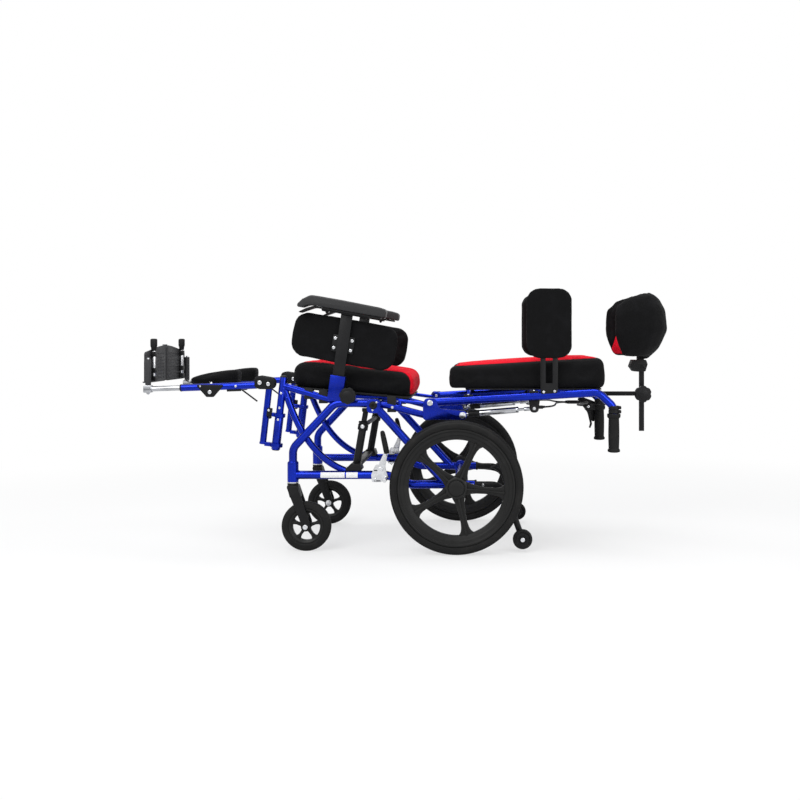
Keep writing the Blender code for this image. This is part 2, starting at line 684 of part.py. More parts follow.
def seat_struts():
    """Two telescopic struts from the lower rails to the seat rails, tied by two cross bars."""
    foot_z = RAIL_Z + TUBE_RADIUS + GAP + 0.0008
    rail = inner_rail_path(1)
    top_x = STRUT_X + STRUT_LEAN
    share = (top_x - rail[1][0]) / (rail[2][0] - rail[1][0])
    top_z = rail[1][2] + share * (rail[2][2] - rail[1][2]) - INNER_TUBE_RADIUS - GAP - 0.0004
    collar_z = foot_z + 0.70 * (top_z - foot_z)
    solids, cuts = [], []
    for side in (-1, 1):
        y = side * (FRAME_HALF_WIDTH - STRUT_INSET)
        foot, top = Vector((STRUT_X, y, foot_z)), Vector((top_x, y, top_z))
        cuts += [lower_rail(side, bore(LOWER_RAIL_RADIUS)), arc_tube(side, bore(ARC_TUBE_RADIUS)),
                 tube(inner_rail_path(side), bore(INNER_TUBE_RADIUS), bend=0.060)]
        collar = foot.lerp(top, 0.70)
        solids += [
            rod(foot + Vector((0, 0, 0.004)), collar, STRUT_RADIUS),
            rod(collar - (top - foot).normalized() * 0.012, collar + (top - foot).normalized() * 0.014,
                STRUT_COLLAR_RADIUS),
            rod(collar, top - Vector((0, 0, 0.004)), STRUT_INNER_RADIUS),
            # Wedge foot over the lower rail, and a saddle under the seat rail
            slab([(STRUT_X - 0.030, foot_z), (STRUT_X + 0.018, foot_z), (STRUT_X + 0.015, foot_z + 0.020),
                  (STRUT_X - 0.010, foot_z + 0.020)],
                 *sorted((side * (FRAME_HALF_WIDTH - STRUT_INSET - 0.014), side * (FRAME_HALF_WIDTH + 0.004)))),
            block((top_x - 0.012, min(y, side * INNER_Y) - 0.008, top_z - 0.010),
                  (top_x + 0.006, max(y, side * INNER_Y) + 0.006, top_z)),
        ]
    reach = FRAME_HALF_WIDTH - STRUT_INSET
    middle_x = STRUT_X + STRUT_LEAN * 0.70
    solids += [
        block((STRUT_X - 0.012, -reach, foot_z + 0.004), (STRUT_X + 0.012, reach, foot_z + 0.016)),
        rod((middle_x, -reach, collar_z), (middle_x, reach, collar_z), 0.007),
    ]
    return finished(weld(solids, cuts), "seat_struts", BLACK_METAL)


def seat_plane(x):
    """Height of the seat cushion's underside at X."""
    rear_x = RECLINE_X - SEAT_REAR_GAP
    return SEAT_RAIL_HEIGHT + SEAT_REAR_RISE + (rear_x - x) * math.tan(math.radians(SEAT_TILT))


def seat_board():
    """The board under the cushion, with clamps round both inner rails."""
    front_x = FRONT_POST_X + SEAT_FRONT_GAP + 0.004
    rear_x = RECLINE_X - SEAT_REAR_GAP - 0.012
    half = INNER_Y - INNER_TUBE_RADIUS - 0.002
    top = lambda x: seat_plane(x) - GAP
    board = slab([(front_x, top(front_x) - BOARD_THICKNESS), (rear_x, top(rear_x) - BOARD_THICKNESS),
                  (rear_x, top(rear_x)), (front_x, top(front_x))], -half, half)
    solids, cuts = [board], []
    rail = inner_rail_path(1)
    outer = FRAME_HALF_WIDTH - TUBE_RADIUS - 0.0015
    for middle in (SHOULDER_X - 0.085, SHOULDER_X - 0.040, REAR_BEND_X + 0.057):
        before, after = (rail[0], rail[1]) if middle < rail[1][0] else (rail[2], rail[3])
        share = (middle - before[0]) / (after[0] - before[0])
        rail_z = before[2] + share * (after[2] - before[2])
        left, right = middle - CLAMP_LENGTH / 2, middle + CLAMP_LENGTH / 2
        foot = rail_z - INNER_TUBE_RADIUS - CLAMP_WALL
        inner = INNER_Y - INNER_TUBE_RADIUS - CLAMP_WALL
        for side in (-1, 1):
            solids.append(slab([(left, foot), (right, foot), (right, top(right) - CLAMP_STEP),
                                (left, top(left) - CLAMP_STEP)],
                               *sorted((side * inner, side * outer))))
    for side in (-1, 1):
        cuts.append(tube(inner_rail_path(side), INNER_TUBE_RADIUS + GAP, bend=0.060))
        cuts.append(rod((REAR_BEND_X + 0.070, side * INNER_Y, SEAT_RAIL_HEIGHT + 0.0075),
                        (RECLINE_X - 0.010, side * INNER_Y, SEAT_RAIL_HEIGHT - 0.0045), 0.0075))
    return finished(weld(solids, cuts), "seat_board", BLACK_PLASTIC)


def seat_cushion():
    """The seat cushion: crowned, with a raised front edge and a rounded rear end."""
    front_x = FRONT_POST_X + SEAT_FRONT_GAP
    rear_x = RECLINE_X - SEAT_REAR_GAP
    length = (rear_x - front_x) / math.cos(math.radians(SEAT_TILT))
    middle = (front_x + rear_x) / 2
    place = side_tilt((middle, 0, seat_plane(middle)), SEAT_TILT)
    pad = crowned(length, 2 * SEAT_HALF_WIDTH, SEAT_THICKNESS, 0.035, 0.024, 0.010, place, drawn=0.003)
    return finished(pad, "seat_cushion", RED_FABRIC)


def caster(side):
    """A caster: a fork with its stem and axle bolt, and the wheel that runs on the bolt."""
    y = side * FRAME_HALF_WIDTH
    hub = Vector((CASTER_X + CASTER_TRAIL, y, CASTER_RADIUS))
    crown_z = HOUSING_FOOT - GAP
    inside = CASTER_WIDTH / 2 + 0.0015
    outside = inside + FORK_THICKNESS
    crown_low = 2 * CASTER_RADIUS + FORK_CLEARANCE
    leg = [(CASTER_X - 0.016, crown_z - 0.010), (CASTER_X + 0.017, crown_z - 0.010),
           (hub.x + 0.012, hub.z + 0.006), (hub.x + 0.009, hub.z - 0.010),
           (hub.x - 0.009, hub.z - 0.010), (hub.x - 0.013, hub.z + 0.006)]
    solids = [
        rod((CASTER_X, y, crown_z - 0.012), (CASTER_X, y, crown_z), HOUSING_RADIUS, sides=16),
        rod((CASTER_X, y, crown_z - 0.004), (CASTER_X, y, HOUSING_FOOT + STEM_LENGTH), STEM_RADIUS),
        slab([(CASTER_X - 0.016, crown_z - 0.006), (CASTER_X + 0.017, crown_z - 0.006),
              (CASTER_X + 0.027, crown_low + 0.004), (CASTER_X - 0.006, crown_low + 0.004)],
             y - outside, y + outside),
        rod((hub.x, y - outside - 0.003, hub.z), (hub.x, y + outside + 0.003, hub.z), CASTER_BOLT_RADIUS),
    ]
    for face in (-1, 1):
        solids.append(slab(leg, *sorted((y + face * inside, y + face * outside))))
        solids.append(rod((hub.x, y + face * (outside - 0.001), hub.z),
                          (hub.x, y + face * (outside + 0.004), hub.z), 0.008, sides=6))
    fork = finished(weld(solids), f"{side_name(side)}_caster_fork", BLACK_METAL, (CASTER_X, y, crown_z))
    half = CASTER_WIDTH / 2
    bore_r = bore(CASTER_BOLT_RADIUS)
    place = Matrix.Translation(hub) @ SIDE_VIEW
    tyre = turned([(CASTER_RADIUS, -0.005), (CASTER_RADIUS, 0.005), (CASTER_RADIUS - 0.006, half - 0.002),
                   (CASTER_RIM_RADIUS, half - 0.001), (CASTER_RIM_RADIUS, 0.001 - half),
                   (CASTER_RADIUS - 0.006, 0.002 - half)], CASTER_STEPS, place, closed=True)
    core = turned([(CASTER_HUB_RADIUS, -half), (CASTER_HUB_RADIUS, half), (bore_r, half), (bore_r, -half)],
                  10, place, closed=True)
    spokes = [spoke(hub.x, y, hub.z, CASTER_HUB_RADIUS - 0.002, CASTER_RIM_RADIUS + 0.004,
                    0.007, 0.005, 0.010, 90 + 360 * k / CASTER_SPOKES) for k in range(CASTER_SPOKES)]
    wheel = finished(weld([tyre, core] + spokes), f"{side_name(side)}_caster_wheel", BLACK_RUBBER, hub)
    swivel = hang(f"{side_name(side)}_caster_axis", (CASTER_X, y, crown_z), [fork])
    hang(f"{side_name(side)}_caster_wheel_axis", hub, [wheel], swivel)


def spoke(x, y, z, inner, outer, root, tip, depth, degrees):
    """A tapering wheel spoke: half widths at its root and tip, in a wheel that faces Y."""
    outline = [(inner, -root), (outer, -tip), (outer, tip), (inner, root)]
    turn = Matrix.Rotation(-math.radians(degrees), 4, "Y")
    return slab(outline, -depth / 2, depth / 2, Matrix.Translation((x, y, z)) @ turn @ SIDE_VIEW)


def rear_wheel(side):
    """A moulded five-spoke wheel with its hub bored for the axle, and its tyre."""
    y = side * WHEEL_Y
    centre = (AXLE_X, y, AXLE_Z)
    rim_outer = REAR_WHEEL_RADIUS - REAR_TYRE_DEPTH
    rim_inner = rim_outer - REAR_RIM_DEPTH
    half, hub_half = REAR_RIM_WIDTH / 2, REAR_HUB_WIDTH / 2
    outwards = Matrix(((1, 0, 0, 0), (0, 0, side, 0), (0, 1, 0, 0), (0, 0, 0, 1)))
    place = Matrix.Translation(centre) @ outwards
    rim = turned([(rim_outer, -half), (rim_outer, half), (rim_outer - 0.007, half + 0.002),
                  (rim_inner, half - 0.009), (rim_inner, 0.009 - half),
                  (rim_outer - 0.007, -half - 0.002)], WHEEL_STEPS, place, closed=True)
    bore_r = bore(AXLE_RADIUS)
    hub = turned([(bore_r, -hub_half), (REAR_HUB_RADIUS, -hub_half), (REAR_HUB_RADIUS, hub_half - 0.010),
                  (REAR_HUB_RADIUS - 0.005, hub_half - 0.003), (0.012, hub_half), (0, hub_half),
                  (0, hub_half - 0.007), (bore_r, hub_half - 0.007), (bore_r, -hub_half)], 14, place)
    spokes = []
    for number in range(REAR_SPOKES):
        degrees = SPOKE_PHASE + 360 * number / REAR_SPOKES
        spokes.append(spoke(AXLE_X, y, AXLE_Z, REAR_HUB_RADIUS - 0.006, rim_inner + 0.004,
                            0.021, 0.010, 0.018, degrees))
    wheel = finished(weld([rim, hub] + spokes), f"{side_name(side)}_rear_wheel", BLACK_PLASTIC, centre)
    seat, tread = rim_outer + GAP, REAR_WHEEL_RADIUS
    half = REAR_TYRE_WIDTH / 2
    tyre = turned([(tread, -0.012), (tread, 0.012), (tread - 0.010, half),
                   (seat, half - 0.004), (seat, 0.004 - half), (tread - 0.010, -half)],
                  WHEEL_STEPS, place, closed=True)
    tyre = finished(tyre, f"{side_name(side)}_rear_tyre", BLACK_RUBBER, centre)
    hang(f"{side_name(side)}_rear_wheel_axis", centre, [wheel, tyre])


def brake(side):
    """A push-to-lock brake: its bracket on the lower rail, and the lever that carries the shoe."""
    y = side * FRAME_HALF_WIDTH
    shoe_reach = REAR_WHEEL_RADIUS + BRAKE_SHOE_GAP + BRAKE_SHOE_RADIUS
    shoe_z = RAIL_Z - 0.008
    shoe_x = AXLE_X - math.sqrt(shoe_reach ** 2 - (shoe_z - AXLE_Z) ** 2)
    pivot_x = AXLE_X - REAR_WHEEL_RADIUS - BRAKE_PIVOT_OUT
    pivot_z = RAIL_Z + BRAKE_PIVOT_RISE
    plate_low = FRAME_HALF_WIDTH + TUBE_RADIUS + 0.0010
    plate_high = plate_low + BRAKE_PLATE
    rail_x = pivot_x - 0.012
    bracket = weld([
        slab(rounded_outline([(rail_x - 0.016, RAIL_Z - 0.020), (rail_x + 0.016, RAIL_Z - 0.020),
                              (pivot_x + 0.013, pivot_z - 0.004), (pivot_x + 0.010, pivot_z + 0.014),
                              (pivot_x - 0.016, pivot_z + 0.014), (rail_x - 0.018, RAIL_Z + 0.004)], 0.004, 2),
             *sorted((side * plate_low, side * plate_high))),
        block((rail_x - 0.010, min(side * (FRAME_HALF_WIDTH - 0.017), side * plate_high), RAIL_Z + TUBE_RADIUS + 0.001),
              (rail_x + 0.012, max(side * (FRAME_HALF_WIDTH - 0.017), side * plate_high), RAIL_Z + TUBE_RADIUS + 0.006)),
        block((rail_x - 0.010, min(side * (FRAME_HALF_WIDTH - 0.017), side * plate_high), RAIL_Z - TUBE_RADIUS - 0.006),
              (rail_x + 0.012, max(side * (FRAME_HALF_WIDTH - 0.017), side * plate_high), RAIL_Z - TUBE_RADIUS - 0.001)),
        rod((pivot_x, side * plate_low, pivot_z), (pivot_x, side * (plate_high + 0.011), pivot_z), 0.0045),
    ])
    finished(bracket, f"{side_name(side)}_brake_bracket", STEEL)
    low, high = plate_high + GAP, plate_high + GAP + BRAKE_PLATE
    hole = rod((pivot_x, side * (low - 0.001), pivot_z), (pivot_x, side * (high + 0.001), pivot_z),
               bore(0.0045))
    grip_foot = Vector((pivot_x + 0.010, side * (low + BRAKE_PLATE / 2), pivot_z + 0.052))
    grip_top = Vector((pivot_x - 0.012, side * (low + BRAKE_PLATE / 2), pivot_z + BRAKE_LEVER_LENGTH))
    lever = weld([
        slab([(pivot_x - 0.009, pivot_z - 0.006), (shoe_x - 0.004, shoe_z - 0.006),
              (shoe_x + 0.006, shoe_z + 0.004), (pivot_x + 0.011, pivot_z + 0.002),
              (grip_foot.x + 0.005, grip_foot.z), (grip_foot.x - 0.005, grip_foot.z),
              (pivot_x - 0.007, pivot_z + 0.010)], *sorted((side * low, side * high))),
        rod(grip_foot - (grip_top - grip_foot).normalized() * 0.012, grip_top, 0.0085, 0.0065),
        rod((shoe_x, side * low, shoe_z), (shoe_x, side * (WHEEL_Y + 0.012), shoe_z), BRAKE_SHOE_RADIUS),
    ], [hole])
    pivot = (pivot_x, side * low, pivot_z)
    finished(lever, f"{side_name(side)}_brake_lever", STEEL, pivot)
    hang(f"{side_name(side)}_brake_axis", pivot, [lever])


def anti_tipper(side):
    """An anti-tip leg plugged into the frame's receiver, and its small wheel."""
    y = side * FRAME_HALF_WIDTH
    wheel_z = ANTI_TIP_LIFT + ANTI_TIP_RADIUS
    wheel_x = AXLE_X + ANTI_TIP_X
    start_x = AXLE_X + 0.028
    axle_end = side * (FRAME_HALF_WIDTH + ANTI_TIP_LEG_RADIUS + 0.001 + ANTI_TIP_WIDTH + 0.004)
    height = AXLE_Z + 0.001
    leg = weld([
        tube([(start_x, y, height), (AXLE_X + ANTI_TIP_BEND_X, y, height), (wheel_x, y, wheel_z - 0.010)],
             ANTI_TIP_LEG_RADIUS, bend=0.050),
        rod((wheel_x - 0.003, y, wheel_z), (wheel_x - 0.003, axle_end, wheel_z), 0.004),
        rod((AXLE_X + RECEIVER_LENGTH + 0.022, y, height),
            (AXLE_X + RECEIVER_LENGTH + 0.022, side * (FRAME_HALF_WIDTH + ANTI_TIP_LEG_RADIUS + 0.002), height), 0.004),
    ])
    finished(leg, f"{side_name(side)}_anti_tip_leg", BLACK_METAL)
    low = FRAME_HALF_WIDTH + ANTI_TIP_LEG_RADIUS + 0.001
    middle = Vector((wheel_x - 0.003, side * (low + ANTI_TIP_WIDTH / 2), wheel_z))
    half = ANTI_TIP_WIDTH / 2
    bore_r = bore(0.004)
    wheel = turned([(bore_r, -half), (0.012, -half), (0.018, 0.003 - half), (0.024, -half),
                    (ANTI_TIP_RADIUS, 0.004 - half), (ANTI_TIP_RADIUS, half - 0.004), (0.024, half),
                    (0.018, half - 0.003), (0.012, half), (bore_r, half)],
                   14, Matrix.Translation(middle) @ SIDE_VIEW, closed=True)
    finished(wheel, f"{side_name(side)}_anti_tip_wheel", BLACK_RUBBER, middle)
    hang(f"{side_name(side)}_anti_tip_axis", middle, [wheel])


def armrest(side):
    """An armrest post in its socket, the pads that ride on it, and the socket's clamping knob."""
    place = arm_frame(side)
    out = side
    foot = -SOCKET_HEIGHT / 2 + SOCKET_FLOOR + GAP
    top = foot + ARM_POST_LENGTH
    half_w, half_t = ARM_POST_WIDTH / 2, ARM_POST_THICKNESS / 2
    backing = sorted((-out * half_t + out * 0.001, -out * (half_t + 0.003)))
    hip_turn = Matrix.Translation((0, 0, HIP_PLATE_RISE)) @ Matrix.Rotation(math.radians(HIP_PAD_TILT), 4, "Y")
    rail_place = place @ Matrix.Translation((0, 0, top)) @ Matrix.Rotation(math.radians(ARM_PAD_TILT), 4, "Y")
    solids = [
        block((-half_w, -half_t, foot), (half_w, half_t, top - 0.003), place),
        # Plate behind the post that the hip pad is screwed to
        block((-0.034, backing[0], -0.026), (0.034, backing[1], 0.026), place @ hip_turn),
        # Rail under the armrest pad
        block((-0.080, -0.015, -0.010), (0.075, 0.015, -GAP), rail_place),
    ]
    for across in (-1, 1):
        for up in (-1, 1):
            screw_x, screw_z = across * 0.0265, up * 0.015
            solids.append(placed(rod((screw_x, 0, screw_z), (screw_x, -out * (half_t + 0.001), screw_z),
                                     0.005, sides=8), place @ hip_turn))
    post = finished(weld(solids), f"{side_name(side)}_armrest_post", BLACK_METAL, place.translation)
    pad_place = rail_place @ Matrix.Translation((ARM_PAD_SHIFT, 0, 0))

    half_l, thick = ARM_PAD_LENGTH / 2, ARM_PAD_THICKNESS
    profile = rounded_outline([(half_l, 0), (half_l, thick * 0.93), (0, thick), (0.030 - half_l, thick * 0.97),
                               (0.004 - half_l, 0.003), (-half_l, -0.012), (0.012 - half_l, -0.013),
                               (0.040 - half_l, 0)], 0.0055, 2)
    pad = soft_slab(profile, ARM_PAD_WIDTH / 2, 0.005, pad_place)
    finished(pad, f"{side_name(side)}_armrest_pad", BLACK_PLASTIC, place.translation)
    inward = Matrix(((1, 0, 0, 0), (0, 0, -out, 0), (0, 1, 0, 0), (0, 0, 0, 1)))
    hip_place = place @ Matrix.Translation((HIP_PAD_SHIFT, -out * (half_t + 0.003 + GAP), HIP_PAD_RISE)) @ Matrix.Rotation(
        math.radians(HIP_PAD_TILT), 4, "Y") @ inward
    hip = crowned(HIP_PAD_LENGTH, HIP_PAD_HEIGHT, HIP_PAD_THICKNESS, 0.042, 0.008, 0.004, hip_place, drawn=0.001)
    finished(hip, f"{side_name(side)}_hip_pad", BLACK_FABRIC, place.translation)
    stud_x, stud_z = SOCKET_WIDTH / 2 + ARM_KNOB_X, -ARM_KNOB_DROP
    knob_start = TUBE_RADIUS + 0.001
    knob_place = place @ Matrix.Translation((stud_x, out * knob_start, stud_z)) @ Matrix(
        ((1, 0, 0, 0), (0, 0, out, 0), (0, 1, 0, 0), (0, 0, 0, 1)))
    knob = ribbed_knob(ARM_KNOB_RADIUS, ARM_KNOB_LENGTH, 0.004, SOCKET_DEPTH / 2 + 0.012 - knob_start, knob_place)
    finished(knob, f"{side_name(side)}_armrest_knob", BLACK_PLASTIC, knob_place.translation)
    hang(f"{side_name(side)}_armrest_slide", place.translation, [post, pad, hip])
    hang(f"{side_name(side)}_armrest_knob_axis", knob_place.translation, [knob])


def ribbed_knob(radius, length, stud, depth, place, ribs=6):
    """A hand knob with a scalloped rim, bored from its underside."""
    outline = []
    for step in range(ribs * 4):
        angle = 2 * math.pi * step / (ribs * 4)
        reach = radius if step % 4 in (0, 1) else radius * 0.92
        outline.append((reach * math.cos(angle), reach * math.sin(angle)))
    body = slab(outline, 0.004, length, place)
    collar = placed(rod((0, 0, 0), (0, 0, 0.006), radius * 0.45), place)
    return weld([body, collar], [placed(rod((0, 0, -0.001), (0, 0, depth), bore(stud)), place)])


def legrest(side):
    """A swing-away, elevating legrest with its extension, calf pad and folding footplate."""
    label = side_name(side)
    y = side * INNER_Y
    knee = Vector((FRONT_POST_X + KNEE_X, y, SEAT_RAIL_HEIGHT + KNEE_RISE))
    hanger_top = Vector((FRONT_POST_X - HANGER_OFFSET, y, SEAT_RAIL_HEIGHT + 0.0585))
    slope = Vector((FRONT_POST_RAKE, 0, 1)).normalized()
    hanger_foot = hanger_top - slope * 0.187
    plate_in = LEG_TUBE_RADIUS + GAP + 0.0005
    plate_out = plate_in + KNEE_PLATE
    outline = rounded_outline([(hanger_top.x + 0.020, hanger_top.z - 0.017), (hanger_top.x + 0.020, hanger_top.z + 0.018),
                               (knee.x + 0.004, knee.z + 0.024), (knee.x - 0.014, knee.z + 0.014),
                               (knee.x - 0.014, knee.z - 0.012), (knee.x + 0.002, knee.z - 0.021)], 0.006, 2)
    pivot_rod = rod((knee.x, y - plate_out - 0.003, knee.z), (knee.x, y + plate_out + 0.003, knee.z), 0.005)
    clasps, bores = [], []
    for rise, post_radius in ((-SLEEVE_TOP + 0.0068, FRONT_POST_RADIUS), (-FRONT_POST_FOOT + 0.012, SLEEVE_RADIUS)):
        centre = post_point(side, rise)
        ahead = Vector((-slope.z, 0, slope.x))
        reach = (hanger_top - centre).dot(ahead)
        low, high = centre - slope * 0.006, centre + slope * 0.006
        clasps.append(rod(low, high, post_radius + 0.0065))
        axes = Matrix((ahead, Vector((0, 1, 0)), slope)).transposed().to_4x4()
        clasps.append(block((0, -0.008, -0.006), (reach, 0.008, 0.006), Matrix.Translation(centre) @ axes))
        bores.append(rod(low - slope * 0.002, high + slope * 0.002, bore(post_radius)))
    solids = [tube([hanger_top, hanger_foot], HANGER_RADIUS),
              rod((hanger_top.x, y - plate_out, hanger_top.z), (hanger_top.x, y + plate_out, hanger_top.z), 0.009),
              slab(outline, y + plate_in, y + plate_out), slab(outline, y - plate_out, y - plate_in),
              pivot_rod] + clasps
    hanger = finished(weld(solids, bores), f"{label}_legrest_hanger", BLUE_PAINT, post_point(side, 0))
    turn = math.radians(LEG_SLOPE)
    down_leg = Vector((-math.cos(turn), 0, -math.sin(turn)))
    start = knee + Vector((-0.010, 0, -LEG_TUBE_DROP))
    end = start + down_leg * LEG_TUBE_LENGTH
    bracket_x = knee.x + CALF_PAD_X + 0.005
    axis_z = lambda x: start.z + (x - start.x) * math.tan(turn)
    calf_place = Vector((knee.x + CALF_PAD_X, side * (INNER_Y - 0.073), axis_z(bracket_x) + 0.0235))
    arm_top = axis_z(bracket_x) + 0.010
    eye_hole = rod((knee.x, y - 0.02, knee.z), (knee.x, y + 0.02, knee.z), bore(0.005))
    leg_solids = [
        tube([start, end], LEG_TUBE_RADIUS),
        rod((knee.x, y - LEG_TUBE_RADIUS, knee.z), (knee.x, y + LEG_TUBE_RADIUS, knee.z), 0.0125),
        # Clamp plate below the tube, and the arm that carries the calf pad
        slab([(bracket_x - 0.040, axis_z(bracket_x) + 0.006), (bracket_x - 0.022, axis_z(bracket_x) - 0.020),
              (bracket_x - 0.014, axis_z(bracket_x) - 0.027), (bracket_x + 0.014, axis_z(bracket_x) - 0.027),
              (bracket_x + 0.022, axis_z(bracket_x) - 0.020), (bracket_x + 0.040, axis_z(bracket_x) + 0.006)],
             *sorted((side * (INNER_Y + 0.006), side * (INNER_Y + 0.013)))),
        block((bracket_x - 0.012, min(y, side * (INNER_Y - 0.095)), arm_top - 0.006),
              (bracket_x + 0.012, max(y, side * (INNER_Y - 0.095)), arm_top)),
        # Release rod under the knee
        rod((knee.x - 0.072, side * (INNER_Y - 0.006), knee.z - 0.018),
            (knee.x - 0.072, side * (INNER_Y - 0.026), knee.z - 0.018), 0.004),
        rod((knee.x - 0.076, side * (INNER_Y - 0.0245), knee.z - 0.014),
            (knee.x - 0.019, side * (INNER_Y - 0.0245), knee.z - 0.058), 0.0025),
    ]
    bore_start = end - down_leg * LEG_BORE_DEPTH
    leg_cuts = [eye_hole, rod(bore_start, end + down_leg * 0.002, bore(EXTENSION_RADIUS))]
    leg = finished(weld(leg_solids, leg_cuts), f"{label}_legrest_tube", BLUE_PAINT, knee)

    foot_x = knee.x + FOOT_X
    foot_z = axis_z(foot_x)
    pin_foot = foot_z + 0.012
    pin_top = pin_foot + 0.085
    inner_end = bore_start + down_leg * 0.012
    extension = weld([
        rod(inner_end, (foot_x, y, foot_z), EXTENSION_RADIUS),
        block((foot_x - 0.012, y - 0.011, foot_z - 0.011), (foot_x + 0.012, y + 0.011, pin_foot)),
        rod((foot_x, y, pin_foot - 0.002), (foot_x, y, pin_top), FOOT_PIN_RADIUS),
        rod((foot_x, y, foot_z - 0.009), (foot_x, y, foot_z - 0.016), 0.005, sides=6),
    ])
    finished(extension, f"{label}_legrest_extension", STEEL, inner_end)

    plate_x = foot_x - FOOT_KNUCKLE_RADIUS + 0.002
    plate_low = pin_foot + 0.006
    outer_edge, inner_edge = side * INNER_Y, side * FOOTPLATE_INNER_GAP
    across = Matrix(((0, 0, 1, 0), (1, 0, 0, 0), (0, 1, 0, 0), (0, 0, 0, 1)))
    face = [(outer_edge, plate_low), (inner_edge, plate_low), (inner_edge, plate_low + FOOTPLATE_HEIGHT + FOOTPLATE_SLOPE),
            (side * 0.060, plate_low + FOOTPLATE_HEIGHT + FOOTPLATE_SLOPE * 0.8), (outer_edge, plate_low + FOOTPLATE_HEIGHT)]
    post_y = side * (INNER_Y - 0.052)
    post_x = plate_x + FOOT_POST_RADIUS - 0.002
    plate = weld([
        slab(face, plate_x - FOOTPLATE_THICKNESS, plate_x, across),
        rod((foot_x, y, pin_foot + GAP), (foot_x, y, pin_top - 0.004), FOOT_KNUCKLE_RADIUS),
        rod((post_x, post_y, plate_low + 0.002), (post_x, post_y, plate_low + FOOT_POST_HEIGHT), FOOT_POST_RADIUS),
        rod((post_x, post_y, plate_low + FOOT_POST_HEIGHT - 0.026), (post_x, post_y, plate_low + FOOT_POST_HEIGHT + 0.002), 0.0105),
    ], [rod((foot_x, y, pin_foot - 0.001), (foot_x, y, pin_top), bore(FOOT_PIN_RADIUS))])
    finished(plate, f"{label}_footplate", GREY_PLASTIC, (foot_x, y, foot_z))

    calf = crowned(CALF_PAD_LENGTH, CALF_PAD_WIDTH, CALF_PAD_THICKNESS, 0.022, 0.010, 0.006,
                   side_tilt((calf_place.x, calf_place.y, arm_top + GAP), 0), drawn=0.001,
                   shape=lambda co: Vector((co.x, co.y, co.z * (1 + CALF_PAD_WEDGE * co.x))))
    finished(calf, f"{label}_calf_pad", BLACK_FABRIC, calf_place)

    swing = hang(f"{label}_legrest_swing_axis", post_point(side, 0), [hanger])
    elevate = hang(f"{label}_legrest_axis", knee, [leg, calf], swing)
    reach = hang(f"{label}_extension_slide", inner_end, [extension], elevate)
    hang(f"{label}_footplate_axis", (foot_x, y, foot_z), [plate], reach)


def back_tube_point(along):
    """X and Z of a back tube's axis at a distance in X from the pivot."""
    return PIVOT[0] + along, PIVOT[1] + along * BACK_SLOPE


def back_frame():
    """The two back tubes with their handle bends, joined by ribs that the cushion rests on."""
    bend_x, bend_z = back_tube_point(BACK_LENGTH)
    solids, cuts = [], []
    for side in (-1, 1):
        y = side * BACK_Y
        eye_x, eye_z = back_tube_point(0.006)
        solids.append(tube([(eye_x, y, eye_z), (bend_x, y, bend_z), (bend_x + HANDLE_X, y, bend_z - 0.045),
                            (bend_x + HANDLE_X, y, bend_z - HANDLE_DROP)], TUBE_RADIUS, bend=HANDLE_BEND))
        solids.append(rod((PIVOT[0], y - TUBE_RADIUS, PIVOT[1]), (PIVOT[0], y + TUBE_RADIUS, PIVOT[1]),
                          TUBE_RADIUS + 0.0015))
        cuts.append(rod((PIVOT[0], y - 0.03, PIVOT[1]), (PIVOT[0], y + 0.03, PIVOT[1]), bore(HINGE_PIN_RADIUS)))
        # Lug that faces the gas spring's rear eye
        _, rear, _ = spring_line()
        tube_z = back_tube_point(SPRING_LUG_X)[1]
        lug_low = SPRING_Y + SPRING_EYE_WIDTH / 2 + GAP
        solids.append(slab([(rear.x - 0.020, tube_z), (rear.x - 0.010, rear.y - 0.009), (rear.x + 0.010, rear.y - 0.009),
                            (rear.x + 0.020, tube_z)], *sorted((side * lug_low, side * (lug_low + 0.006)))))
    cushion_z = PIVOT[1] + BACK_CUSHION_RISE - GAP
    for along in (BACK_CUSHION_START + 0.016, BACK_CUSHION_START + 0.220, BACK_LENGTH - 0.020):
        x, z = back_tube_point(along)
        solids.append(block((x - RIB_THICKNESS / 2, -BACK_Y, z - 0.008), (x + RIB_THICKNESS / 2, BACK_Y, cushion_z)))
    # Sleeve that holds the headrest bar, on the rib nearest the head
    x, _ = back_tube_point(BACK_LENGTH - 0.020)
    bar_z = PIVOT[1] + HEADREST_BAR_RISE
    half = HEADREST_BAR_HEIGHT / 2
    solids.append(block((x - 0.010, -half - 0.005, bar_z - half - 0.005), (x + 0.034, half + 0.005, bar_z + half + 0.005)))
    cuts.append(block((x - 0.060, -half - GAP, bar_z - half - GAP), (x + 0.040, half + GAP, bar_z + half + GAP)))
    return finished(weld(solids, cuts), "back_frame", BLUE_PAINT, (PIVOT[0], 0, PIVOT[1]))


